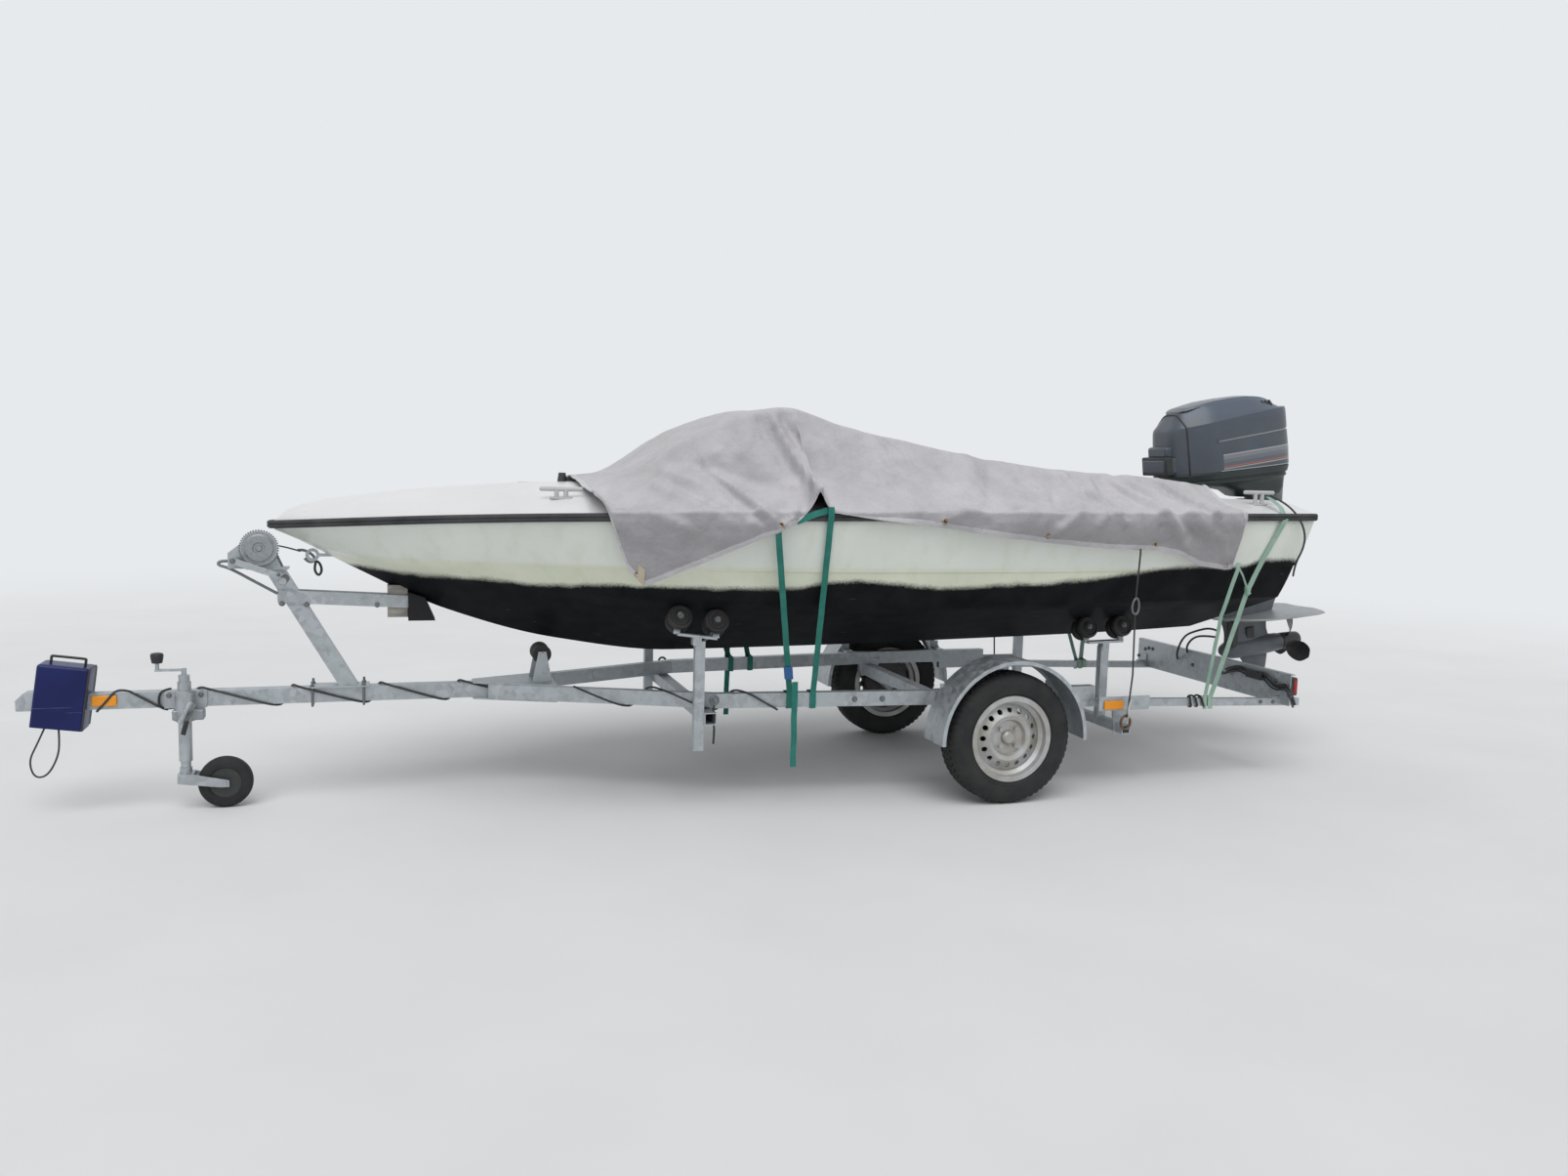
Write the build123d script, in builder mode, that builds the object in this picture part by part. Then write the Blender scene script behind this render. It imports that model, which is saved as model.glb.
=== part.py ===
from build123d import *
import os
from math import atan2, cos, radians, sin

os.makedirs("parts", exist_ok=True)

# A small speedboat with an outboard, standing on its road trailer.
# Millimetres. X runs aft, Y to starboard, Z up, and the ground is Z = 0.
# Places along the boat and trailer are measured from the road wheels' axle.
PORT, STARBOARD = -1, 1
SIDES = {"port": PORT, "starboard": STARBOARD}

# Outboard's tilt pin, the lean it is stored at, and its fin, which reaches furthest aft
TILT_X, TILT_Z = 1560, 1250
TRIM = 7
FIN_Z, FIN_THICK, FIN_TAIL = -583, 8, 440

# Reach from the axle to the coupling's nose and to the fin's tail: the origin lies midway
NOSE_REACH = 3800
TAIL_REACH = TILT_X + FIN_TAIL * cos(radians(TRIM)) - FIN_Z * sin(radians(TRIM))
AXLE_X = (NOSE_REACH - TAIL_REACH) / 2
EASE = 0.3  # gap between parts that only rest beside each other
RUN = 0.05  # radial clearance of a turning pin


def at(x):
    """Turn a distance aft of the axle into the model's X."""
    return AXLE_X + x


def side_plane(y):
    """A plane facing port at Y = y, drawn in X and Z."""
    return Plane.XZ.offset(-y)


def across(x):
    """A plane facing aft at a distance x from the axle, drawn in Y and Z."""
    return Plane.YZ.offset(at(x))


def level(z):
    """A level plane at height z, drawn in X and Y."""
    return Plane.XY.offset(z)


def save(part, name):
    """Label a finished piece and write it under its own name."""
    part.label = name
    export_step(part, f"parts/{name}.step")


def outline(*points):
    """Face from straight lines through the points, inside the current sketch."""
    return Polygon(*points, align=None)


def bar(ends, width, depth):
    """Square bar between two places, its depth kept as upright as it can be."""
    start, end = Vector(*ends[0]), Vector(*ends[1])
    along = end - start
    sideways = Vector(0, 0, 1).cross(along)
    if sideways.length < 1e-6:
        sideways = Vector(0, 1, 0)
    with BuildPart() as piece:
        with BuildSketch(Plane(origin=start, x_dir=sideways.normalized(), z_dir=along.normalized())):
            Rectangle(width, depth)
        extrude(amount=along.length)
    return piece.part


def rod(ends, radius):
    """Round bar between two places."""
    start, end = Vector(*ends[0]), Vector(*ends[1])
    with BuildPart() as piece:
        with BuildSketch(Plane(origin=start, z_dir=(end - start).normalized())):
            Circle(radius)
        extrude(amount=(end - start).length)
    return piece.part


# Hull, deck and rub rail share these stations, from the transom to the stem head
HULL_COLUMNS = (
    "x", "keel_z", "chine_y", "chine_z", "knuckle_y", "knuckle_z", "sheer_y", "sheer_z", "camber",
)
STATIONS = [
    (1560, 640, 562, 850, 620, 1002, 688, 1219, 95),
    (900, 612, 610, 838, 672, 985, 750, 1214, 105),
    (100, 592, 632, 831, 702, 976, 786, 1207, 110),
    (-700, 577, 612, 835, 690, 975, 780, 1197, 110),
    (-1300, 573, 535, 850, 618, 977, 722, 1186, 110),
    (-1800, 636, 405, 880, 497, 981, 618, 1174, 110),
    (-2250, 766, 235, 925, 318, 988, 455, 1154, 100),
    (-2600, 935, 88, 975, 140, 1000, 268, 1130, 82),
    (-2820, 1052, 18, 1058, 26, 1064, 112, 1112, 55),
    (-2895, 1085, 6, 1088, 8, 1091, 14, 1104, 8),
]
STATIONS = [dict(zip(HULL_COLUMNS, row)) for row in STATIONS]
HULL_WALL = 12
DECK_WALL = 12
TRANSOM_THICK = 45
TRANSOM_FOOT_X, TRANSOM_FOOT_Z = 1392, 632
TRANSOM_RAKE = 11.1  # degrees, top further aft
RAIL_WIDTH, RAIL_DROP, RAIL_RISE = 22, 14, 18


def along(x, column):
    """A hull size at any place, on the straight line between two stations."""
    for aft, fore in zip(STATIONS, STATIONS[1:]):
        if fore["x"] <= x <= aft["x"]:
            share = (x - fore["x"]) / (aft["x"] - fore["x"])
            return fore[column] + share * (aft[column] - fore[column])
    raise ValueError(f"no hull at {x}")


def transom_plane(forward=0.0):
    """The raked transom's outer face, or a plane that far inside it."""
    rake = radians(TRANSOM_RAKE)
    foot = (at(TRANSOM_FOOT_X) - forward / cos(rake), 0, TRANSOM_FOOT_Z)
    return Plane(origin=foot, x_dir=(0, 1, 0), z_dir=(cos(rake), 0, -sin(rake)))


def transom_x(z, inside=0.0):
    """Distance of the transom's outer face, or a face inside it, aft of the axle at height z."""
    rake = radians(TRANSOM_RAKE)
    return TRANSOM_FOOT_X + (z - TRANSOM_FOOT_Z) * sin(rake) / cos(rake) - inside / cos(rake)


def hull_face(s, wall=0.0, rise=0.0):
    """One hull station's closed outline, moved in by the wall."""
    half = [
        (s["chine_y"] - wall, s["chine_z"] + 0.5 * wall),
        (s["knuckle_y"] - wall, s["knuckle_z"]),
        (s["sheer_y"] - wall, s["sheer_z"] + rise),
    ]
    keel = (0, s["keel_z"] + 1.4 * wall)
    outline(keel, *half, *[(-y, z) for y, z in reversed(half)])


with BuildPart() as hull_void:
    for s in STATIONS[:-2]:
        with BuildSketch(across(s["x"])):
            hull_face(s, HULL_WALL, rise=20)
    loft(ruled=True)
    split(bisect_by=transom_plane(TRANSOM_THICK), keep=Keep.BOTTOM)

with BuildPart() as hull_solid:
    for s in STATIONS:
        with BuildSketch(across(s["x"])):
            hull_face(s)
    loft(ruled=True)
    split(bisect_by=transom_plane(), keep=Keep.BOTTOM)

with BuildPart() as hull:
    add(hull_solid.part)
    add(hull_void.part, mode=Mode.SUBTRACT)
save(hull.part, "hull")


# Deck, with the cockpit and the motor well cut through it, kept as three pieces: ahead of the
# cockpit, beside it and behind it
COCKPIT_FORE, COCKPIT_AFT, COCKPIT_HALF = -950, 780, 560
WELL_FORE, WELL_HALF, WELL_FLOOR_Z, WELL_WALL = 940, 450, 925, 10
OPENING_RADIUS = 40


def deck_face(s, below, above):
    """Cambered strip of deck at one station, from below to above the sheer line."""
    y, z, crown = s["sheer_y"], s["sheer_z"], s["sheer_z"] + s["camber"]
    with BuildLine() as edge:
        ThreePointArc((-y, z + below), (0, crown + below), (y, z + below))
        Line((y, z + below), (y, z + above))
        ThreePointArc((y, z + above), (0, crown + above), (-y, z + above))
        Line((-y, z + above), (-y, z + below))
    make_face(edge.edges())


with BuildPart() as deck:
    for s in STATIONS:
        with BuildSketch(across(s["x"])):
            deck_face(s, 0, DECK_WALL)
    loft(ruled=True)
    split(bisect_by=transom_plane(), keep=Keep.BOTTOM)
    cockpit_length = COCKPIT_AFT - COCKPIT_FORE
    with BuildSketch(level(WELL_FLOOR_Z)):
        with Locations((at((COCKPIT_AFT + COCKPIT_FORE) / 2), 0)):
            RectangleRounded(cockpit_length, 2 * COCKPIT_HALF, OPENING_RADIUS)
        with Locations((at(WELL_FORE + 400), 0)):
            Rectangle(800, 2 * WELL_HALF)
    extrude(amount=600, mode=Mode.SUBTRACT)
behind_fore_end = split(deck.part, bisect_by=across(COCKPIT_FORE), keep=Keep.TOP)
save(split(deck.part, bisect_by=across(COCKPIT_FORE), keep=Keep.BOTTOM), "foredeck")
save(split(behind_fore_end, bisect_by=across(COCKPIT_AFT), keep=Keep.BOTTOM), "side_decks")
save(split(behind_fore_end, bisect_by=across(COCKPIT_AFT), keep=Keep.TOP), "aft_deck")

with BuildPart() as over_deck:
    for s in STATIONS:
        with BuildSketch(across(s["x"])):
            deck_face(s, 0, 400)
    loft(ruled=True)

with BuildPart() as below_deck_top:
    for s in STATIONS:
        with BuildSketch(across(s["x"])):
            deck_face(s, -100, DECK_WALL)
    loft(ruled=True)

with BuildPart() as motor_well:
    outer_half = WELL_HALF + WELL_WALL
    with BuildSketch(side_plane(-outer_half)):
        aft_low, aft_high = transom_x(WELL_FLOOR_Z, TRANSOM_THICK), transom_x(1330, TRANSOM_THICK)
        outline(
            (at(WELL_FORE - WELL_WALL), WELL_FLOOR_Z), (at(aft_low), WELL_FLOOR_Z),
            (at(aft_high), 1330), (at(WELL_FORE - WELL_WALL), 1330),
        )
    extrude(amount=-2 * outer_half)
    with BuildSketch(level(WELL_FLOOR_Z + WELL_WALL)):
        with Locations((at(WELL_FORE + 400), 0)):
            Rectangle(800, 2 * WELL_HALF)
    extrude(amount=500, mode=Mode.SUBTRACT)
    add(over_deck.part, mode=Mode.SUBTRACT)
save(motor_well.part, "motor_well")

with BuildPart() as rub_rail:
    for side in (PORT, STARBOARD):
        for s in STATIONS:
            with BuildSketch(across(s["x"])):
                inner, outer = s["sheer_y"], s["sheer_y"] + RAIL_WIDTH
                low, high = s["sheer_z"] - RAIL_DROP, s["sheer_z"] + RAIL_RISE
                section = ((inner, low), (outer, low), (outer, high), (inner, high))
                outline(*[(side * y, z) for y, z in section])
        loft(ruled=True)
    split(bisect_by=transom_plane(), keep=Keep.BOTTOM)
    tip = STATIONS[-1]
    with BuildSketch(across(tip["x"])):
        with Locations((0, tip["sheer_z"] + (RAIL_RISE - RAIL_DROP) / 2)):
            Rectangle(2 * (tip["sheer_y"] + RAIL_WIDTH), RAIL_RISE + RAIL_DROP)
    extrude(amount=-RAIL_WIDTH)
save(rub_rail.part, "rub_rail")


# Windscreen, which carries the cover's peak
SCREEN_FOOT_X, SCREEN_HEAD_X, SCREEN_HEAD_Z = -1420, -975, 1585
SCREEN_HALF, SCREEN_THICK = 420, 8


def deck_top(x, y):
    """Height of the deck's top at a place, from the arc across that station."""
    half, rise = along(x, "sheer_y"), along(x, "camber")
    radius = (half ** 2 + rise ** 2) / (2 * rise)
    return along(x, "sheer_z") + DECK_WALL + rise - radius + (radius ** 2 - y ** 2) ** 0.5


with BuildPart() as windscreen:
    foot_z = deck_top(SCREEN_FOOT_X, 0)
    lean = (SCREEN_HEAD_X - SCREEN_FOOT_X) / (SCREEN_HEAD_Z - foot_z)
    dip = foot_z - deck_top(SCREEN_FOOT_X, SCREEN_HALF)
    low = (SCREEN_FOOT_X - lean * dip, foot_z - dip)
    with BuildSketch(side_plane(-SCREEN_HALF)):
        outline(
            (at(low[0]), low[1]), (at(low[0] + 2 * SCREEN_THICK), low[1]),
            (at(SCREEN_HEAD_X + 2 * SCREEN_THICK), SCREEN_HEAD_Z), (at(SCREEN_HEAD_X), SCREEN_HEAD_Z),
        )
    extrude(amount=-2 * SCREEN_HALF)
    add(over_deck.part, mode=Mode.INTERSECT)
    add(below_deck_top.part, mode=Mode.SUBTRACT)
save(windscreen.part, "windscreen")


COVER_PEAK = SCREEN_HEAD_Z + 35

# Cover: columns are the place aft of the axle, the hem's height, the shoulder and the ridge
COVER_COLUMNS = ("x", "hem_z", "shoulder_y", "shoulder_z", "ridge_z")
COVER_STATIONS = [
    (1080, 990, 470, 1352, 1345),
    (900, 1005, 480, 1370, 1362),
    (360, 1083, 480, 1400, 1390),
    (100, 1107, 470, 1424, 1416),
    (-250, 1142, 460, 1476, 1470),
    (-700, 1195, 450, COVER_PEAK - 58, COVER_PEAK - 62),
    (-940, 1200, 440, COVER_PEAK, COVER_PEAK + 2),
    (-1150, 1113, 430, COVER_PEAK - 42, COVER_PEAK - 35),
    (-1300, 1035, 420, COVER_PEAK - 120, COVER_PEAK - 110),
    (-1570, 925, 380, 1330, 1345),
    (-1740, 1150, 330, 1292, 1322),
]
COVER_STATIONS = [dict(zip(COVER_COLUMNS, row)) for row in COVER_STATIONS]
COVER_THICK = 14
COVER_GAP = 3
COVER_NOTCH_FORE, COVER_NOTCH_HALF = 915, 465


def cover_face(c, inset=0.0):
    """One section of the cover, from hem over rail, shoulder and ridge to the other hem."""
    rail_y = along(c["x"], "sheer_y") + RAIL_WIDTH + COVER_GAP + COVER_THICK - inset
    rail_z = along(c["x"], "sheer_z") + RAIL_RISE + COVER_GAP + COVER_THICK - inset
    hem_z = c["hem_z"] - (200 if inset else 0)
    half = [(rail_y, hem_z), (rail_y, rail_z), (c["shoulder_y"], c["shoulder_z"] - inset)]
    outline((0, c["ridge_z"] - inset), *[(-y, z) for y, z in reversed(half)], *half)


with BuildPart() as cover_void:
    past_ends = [(COVER_STATIONS[0], 40), *[(c, 0) for c in COVER_STATIONS], (COVER_STATIONS[-1], -40)]
    for c, shift in past_ends:
        with BuildSketch(across(c["x"] + shift)):
            cover_face(c, COVER_THICK)
    loft(ruled=True)

with BuildPart() as cover:
    for c in COVER_STATIONS:
        with BuildSketch(across(c["x"])):
            cover_face(c)
    loft(ruled=True)
    add(cover_void.part, mode=Mode.SUBTRACT)
    with BuildSketch(level(WELL_FLOOR_Z)):
        with Locations((at(COVER_NOTCH_FORE + 400), 0)):
            Rectangle(800, 2 * COVER_NOTCH_HALF)
    extrude(amount=600, mode=Mode.SUBTRACT)
save(cover.part, "cover")


# Deck fittings
CLEAT_LENGTH, CLEAT_WIDTH, CLEAT_BAR, CLEAT_STAND, CLEAT_FOOT = 150, 34, 9, 30, 8


def cleats(x, y, stand):
    """A pair of horn cleats, one on each side deck, each on two stands and a foot."""
    with BuildPart() as pair:
        for side in (PORT, STARBOARD):
            z = deck_top(x, y) - 2
            with BuildSketch(level(z)):
                with Locations((at(x), side * y)):
                    SlotOverall(CLEAT_LENGTH - 60, CLEAT_WIDTH)
            extrude(amount=CLEAT_FOOT)
            with BuildSketch(level(z)):
                with Locations((at(x - 18), side * y), (at(x + 18), side * y)):
                    Circle(CLEAT_BAR)
            extrude(amount=CLEAT_FOOT + stand)
            add(rod([(at(x - CLEAT_LENGTH / 2), side * y, z + CLEAT_FOOT + stand),
                     (at(x + CLEAT_LENGTH / 2), side * y, z + CLEAT_FOOT + stand)], CLEAT_BAR))
            with Locations((at(x - CLEAT_LENGTH / 2), side * y, z + CLEAT_FOOT + stand),
                           (at(x + CLEAT_LENGTH / 2), side * y, z + CLEAT_FOOT + stand)):
                Sphere(CLEAT_BAR)
        add(below_deck_top.part, mode=Mode.SUBTRACT)
    return pair.part


STERN_CLEAT_X, STERN_CLEAT_Y = 1300, 560
BOW_CLEAT_X, BOW_CLEAT_Y = -1835, 430
with BuildPart() as deck_cleats:
    add(cleats(x=BOW_CLEAT_X, y=BOW_CLEAT_Y, stand=CLEAT_STAND))
    add(cleats(x=STERN_CLEAT_X, y=STERN_CLEAT_Y, stand=CLEAT_STAND + 20))
save(deck_cleats.part, "deck_cleats")

NAV_X = BOW_CLEAT_X + 60
with BuildPart() as bow_light:
    with BuildSketch(level(deck_top(NAV_X, 0) - 1)):
        with Locations((at(NAV_X), 0)):
            Circle(20)
    extrude(amount=38, taper=8)
    add(below_deck_top.part, mode=Mode.SUBTRACT)
save(bow_light.part, "bow_light")

BOW_EYE_X, BOW_EYE_Z = -2735, 985
EYE_RING, EYE_ROD = 20, 6
with BuildPart() as bow_eye:
    with BuildSketch(side_plane(0)):
        with Locations((at(BOW_EYE_X - EYE_RING - 2), BOW_EYE_Z)):
            Circle(EYE_RING + EYE_ROD)
            Circle(EYE_RING - EYE_ROD, mode=Mode.SUBTRACT)
    extrude(amount=EYE_ROD, both=True)
    add(bar([(at(BOW_EYE_X - 4), 0, BOW_EYE_Z), (at(BOW_EYE_X + 70), 0, BOW_EYE_Z)], 12, 12))
    add(hull_solid.part, mode=Mode.SUBTRACT)
save(bow_eye.part, "bow_eye")


# Outboard: drawn upright about its tilt pin, then leant back by its trim
STEER_X = 85  # steering pin aft of the tilt pin
TILT_AXIS = Axis((at(TILT_X), 0, TILT_Z), (0, -1, 0))


def trimmed(part):
    """Lean an upright outboard piece back about the tilt pin."""
    return part.rotate(TILT_AXIS, TRIM)


def upright(x, z):
    """A place given from the tilt pin, in the model's X and Z."""
    return (at(TILT_X + x), TILT_Z + z)


def engine_level(z):
    """A level plane through the upright outboard, its origin on the tilt pin's X."""
    return Plane(origin=(at(TILT_X), 0, TILT_Z + z))


CLAMP_Y, CLAMP_THICK = 128, 24
TILT_PIN = 12
PIN_BEYOND = 30  # tilt pin beyond each clamp
CLAMP_IN_FOOT, CLAMP_OUT_FOOT = 1080, 960
transom_top = along(transom_x(STATIONS[0]["sheer_z"]), "sheer_z")
with BuildPart() as clamp_bracket:
    inner_low = transom_x(CLAMP_IN_FOOT, TRANSOM_THICK + 1)
    inner_high = transom_x(transom_top, TRANSOM_THICK + 1)
    outer_low, outer_high = transom_x(CLAMP_OUT_FOOT, -1), transom_x(transom_top, -1)
    for side in (PORT, STARBOARD):
        with BuildSketch(side_plane(side * CLAMP_Y)):
            outline(
                (at(inner_low), CLAMP_IN_FOOT), (at(inner_high), transom_top + 1),
                (at(outer_high), transom_top + 1), (at(outer_low), CLAMP_OUT_FOOT),
                (at(outer_low + 26), CLAMP_OUT_FOOT), (at(TILT_X + 22), TILT_Z - 60),
                (at(TILT_X + 26), TILT_Z + 12), (at(TILT_X - 6), TILT_Z + 26),
                (at(inner_high - 12), transom_top + 20), (at(inner_low - 14), CLAMP_IN_FOOT),
            )
        extrude(amount=CLAMP_THICK / 2, both=True)
    pin_end = CLAMP_Y + PIN_BEYOND
    add(rod([(at(TILT_X), -pin_end, TILT_Z), (at(TILT_X), pin_end, TILT_Z)], TILT_PIN))
save(clamp_bracket.part, "clamp_bracket")

SLEEVE_RADIUS, KINGPIN_RADIUS = 32, 17
SLEEVE_TOP, SLEEVE_FOOT = 20, -300
SWIVEL_HALF = 100
with BuildPart() as swivel_bracket:
    with BuildSketch(side_plane(0)):
        outline(upright(-22, 22), upright(STEER_X, SLEEVE_TOP), upright(STEER_X, SLEEVE_FOOT),
                upright(STEER_X - 24, SLEEVE_FOOT), upright(20, -80), upright(-22, -24))
    extrude(amount=30, both=True)
    with BuildSketch(side_plane(0)):
        with Locations(upright(0, 0)):
            Circle(24)
    extrude(amount=SWIVEL_HALF, both=True)
    with BuildSketch(engine_level(SLEEVE_FOOT)):
        with Locations((STEER_X, 0)):
            Circle(SLEEVE_RADIUS)
    extrude(amount=SLEEVE_TOP - SLEEVE_FOOT)
    with BuildSketch(engine_level(SLEEVE_FOOT - 5)):
        with Locations((STEER_X, 0)):
            Circle(KINGPIN_RADIUS + RUN)
    extrude(amount=SLEEVE_TOP - SLEEVE_FOOT + 10, mode=Mode.SUBTRACT)
    with BuildSketch(side_plane(0)):
        with Locations(upright(0, 0)):
            Circle(TILT_PIN + RUN)
    extrude(amount=SWIVEL_HALF, both=True, mode=Mode.SUBTRACT)
save(trimmed(swivel_bracket.part), "swivel_bracket")

# Leg, with the kingpin and the yokes that hang it on the swivel bracket
YOKE_THICK, YOKE_GAP = 26, 3
PAN_Z = 127  # underside of the cowl
LEG_FRONT = 135
# Leg columns are the height from the tilt pin, the middle, half-chord and half-width
LEG_STATIONS = [
    (PAN_Z, 235, 125, 95),
    (-40, 240, 105, 60),
    (-360, 225, 98, 48),
    (-500, 130, 170, 42),
    (-575, 95, 160, 38),
]
with BuildPart() as leg:
    for z, middle, chord, half in LEG_STATIONS:
        with BuildSketch(engine_level(z)):
            with Locations((middle, 0)):
                Ellipse(chord, half)
    loft(ruled=True)
    with BuildSketch(engine_level(SLEEVE_FOOT - YOKE_GAP - YOKE_THICK)):
        with Locations((STEER_X, 0)):
            Circle(KINGPIN_RADIUS)
    extrude(amount=SLEEVE_TOP - SLEEVE_FOOT + 2 * (YOKE_GAP + YOKE_THICK))
    for foot in (SLEEVE_FOOT - YOKE_GAP - YOKE_THICK, SLEEVE_TOP + YOKE_GAP):
        with BuildSketch(engine_level(foot)):
            with Locations((STEER_X, 0)):
                Circle(SLEEVE_RADIUS)
            with Locations(((STEER_X + LEG_FRONT + 40) / 2, 0)):
                Rectangle(LEG_FRONT + 40 - STEER_X, 56)
        extrude(amount=YOKE_THICK)
save(trimmed(leg.part), "leg")

PROP_Z = -748
TORPEDO_RADIUS, TORPEDO_NOSE, TORPEDO_TAIL = 50, -20, 300
with BuildPart() as fin_plate:
    with BuildSketch(engine_level(FIN_Z)):
        outline((-95, 0), (-60, -60), (20, -130), (120, -200), (FIN_TAIL - 40, -205), (FIN_TAIL, -120),
                (FIN_TAIL, 120), (FIN_TAIL - 40, 205), (120, 200), (20, 130), (-60, 60))
    extrude(amount=FIN_THICK)
save(trimmed(fin_plate.part), "fin_plate")

SHAFT_RADIUS, SHAFT_REACH = 10, 105
SKEG_DROP, SKEG_HALF = 190, 6
with BuildPart() as gearcase:
    for z, middle, chord, half in ((FIN_Z, 85, 150, 34), (PROP_Z, 95, 125, 24)):
        with BuildSketch(engine_level(z)):
            with Locations((middle, 0)):
                Ellipse(chord, half)
    loft(ruled=True)
    with BuildSketch(side_plane(0)):
        with BuildLine():
            nose, tail = upright(TORPEDO_NOSE - 50, PROP_Z), upright(TORPEDO_TAIL, PROP_Z)
            top_nose = upright(TORPEDO_NOSE + 40, PROP_Z + TORPEDO_RADIUS)
            top_tail = upright(TORPEDO_TAIL, PROP_Z + TORPEDO_RADIUS - 6)
            middle = upright(TORPEDO_NOSE - 22, PROP_Z + TORPEDO_RADIUS * 0.68)
            ThreePointArc(nose, middle, top_nose)
            Line(top_nose, top_tail)
            Line(top_tail, tail)
            Line(tail, nose)
        make_face()
    revolve(axis=Axis((at(TILT_X), 0, TILT_Z + PROP_Z), (1, 0, 0)))
    with BuildSketch(side_plane(0)):
        outline(upright(30, PROP_Z - 20), upright(220, PROP_Z - 20), upright(190, PROP_Z - 175),
                upright(130, PROP_Z - SKEG_DROP))
    extrude(amount=SKEG_HALF, both=True)
    shaft_start, shaft_end = TILT_X + TORPEDO_TAIL, TILT_X + TORPEDO_TAIL + SHAFT_REACH
    shaft_z = TILT_Z + PROP_Z
    add(rod([(at(shaft_start), 0, shaft_z), (at(shaft_end), 0, shaft_z)], SHAFT_RADIUS))
save(trimmed(gearcase.part), "gearcase")

BLADES = 3
BLADE_REACH, BLADE_TILT, BLADE_THICK, HUB_RADIUS, HUB_TAPER = 150, 32, 6, 38, 4
BLADE_WIDE, BLADE_TALL = 52, 60  # half-axes of the blade's oval
FIRST_BLADE = 20  # degrees from straight up
PROP_START, PROP_LENGTH = TORPEDO_TAIL + 3, 110
prop_axis_z = TILT_Z + PROP_Z
with BuildPart() as propeller:
    with BuildSketch(Plane(origin=(at(TILT_X + PROP_START), 0, prop_axis_z), z_dir=(1, 0, 0))):
        Circle(HUB_RADIUS)
    extrude(amount=PROP_LENGTH, taper=HUB_TAPER)
    for blade in range(BLADES):
        turn = 360 / BLADES * blade + FIRST_BLADE
        outward = Vector(0, sin(radians(turn)), cos(radians(turn)))
        sideways = Vector(1, 0, 0).cross(outward)
        pitch = radians(BLADE_TILT)
        chordwise = Vector(1, 0, 0) * sin(pitch) + sideways * cos(pitch)
        centre = Vector(at(TILT_X + PROP_START + BLADE_WIDE), 0, prop_axis_z)
        with BuildSketch(Plane(origin=centre, x_dir=chordwise, z_dir=outward.cross(chordwise) * -1)):
            with Locations((0, BLADE_TALL - BLADE_REACH)):
                Ellipse(BLADE_WIDE, BLADE_TALL)
            with Locations((0, -HUB_RADIUS - 7)):
                Rectangle(BLADE_WIDE + 4, 50)
        extrude(amount=BLADE_THICK / 2, both=True)
    with BuildSketch(Plane(origin=(at(TILT_X + PROP_START), 0, prop_axis_z), z_dir=(1, 0, 0))):
        Circle(SHAFT_RADIUS + RUN)
    extrude(amount=PROP_LENGTH - 5, mode=Mode.SUBTRACT)
save(trimmed(propeller.part), "propeller")

# Cowl: an upper hood over a lower pan, hollow around the plain engine block
COWL_WALL = 6
# Cowl columns are the height from the tilt pin, the fore and aft faces, the half-width and the corner
COWL_STATIONS = [
    (PAN_Z, -372, 270, 165, 70),
    (PAN_Z + 55, -378, 290, 180, 80),
    (300, -345, 275, 182, 85),
    (430, -300, 240, 172, 80),
    (500, -262, 200, 140, 70),
    (516, -225, 165, 105, 60),
]
HOOD_SEAM = PAN_Z + 55


def cowl_shell(rows, wall=0.0):
    """Loft of rounded rectangles through some of the cowl's rows."""
    with BuildPart() as shell:
        for z, fore, aft, half, corner in rows:
            with BuildSketch(engine_level(z)):
                with Locations(((fore + aft) / 2, 0)):
                    RectangleRounded(aft - fore - 2 * wall, 2 * (half - wall), corner - wall)
        loft(ruled=True)
    return shell.part


AIR_BOX_FORE, AIR_BOX_AFT, AIR_BOX_HALF, AIR_BOX_CORNER = -396, -200, 100, 12
AIR_BOX_FOOT, AIR_BOX_TOP = HOOD_SEAM + 10, HOOD_SEAM + 135
with BuildPart() as cowl:
    with BuildSketch(engine_level(AIR_BOX_FOOT)):
        with Locations(((AIR_BOX_FORE + AIR_BOX_AFT) / 2, 0)):
            RectangleRounded(AIR_BOX_AFT - AIR_BOX_FORE, 2 * AIR_BOX_HALF, AIR_BOX_CORNER)
    extrude(amount=AIR_BOX_TOP - AIR_BOX_FOOT)
    add(cowl_shell(COWL_STATIONS[1:]))
    inside = [(z - COWL_WALL * (i == 4), *rest) for i, (z, *rest) in enumerate(COWL_STATIONS[1:])]
    add(cowl_shell(inside, COWL_WALL), mode=Mode.SUBTRACT)
save(trimmed(cowl.part), "cowl")

with BuildPart() as cowl_pan:
    add(cowl_shell(COWL_STATIONS[:2]))
    raised = [(COWL_STATIONS[0][0] + COWL_WALL, *COWL_STATIONS[0][1:]), COWL_STATIONS[1]]
    add(cowl_shell(raised, COWL_WALL), mode=Mode.SUBTRACT)
save(trimmed(cowl_pan.part), "cowl_pan")

ENGINE_LENGTH, ENGINE_WIDTH, ENGINE_HEIGHT, ENGINE_MIDDLE = 380, 220, 270, -20
with BuildPart() as engine_block:
    with BuildSketch(engine_level(PAN_Z + COWL_WALL + EASE)):
        with Locations((ENGINE_MIDDLE, 0)):
            Rectangle(ENGINE_LENGTH, ENGINE_WIDTH)
    extrude(amount=ENGINE_HEIGHT)
save(trimmed(engine_block.part), "engine_block")


# Trailer: frame
TONGUE_SIZE, TONGUE_TOP = 60, 455
TONGUE_FORE, TONGUE_AFT = 100 - NOSE_REACH, -1930
TUBE_WALL = 4
tongue_z = TONGUE_TOP - TONGUE_SIZE / 2


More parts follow.
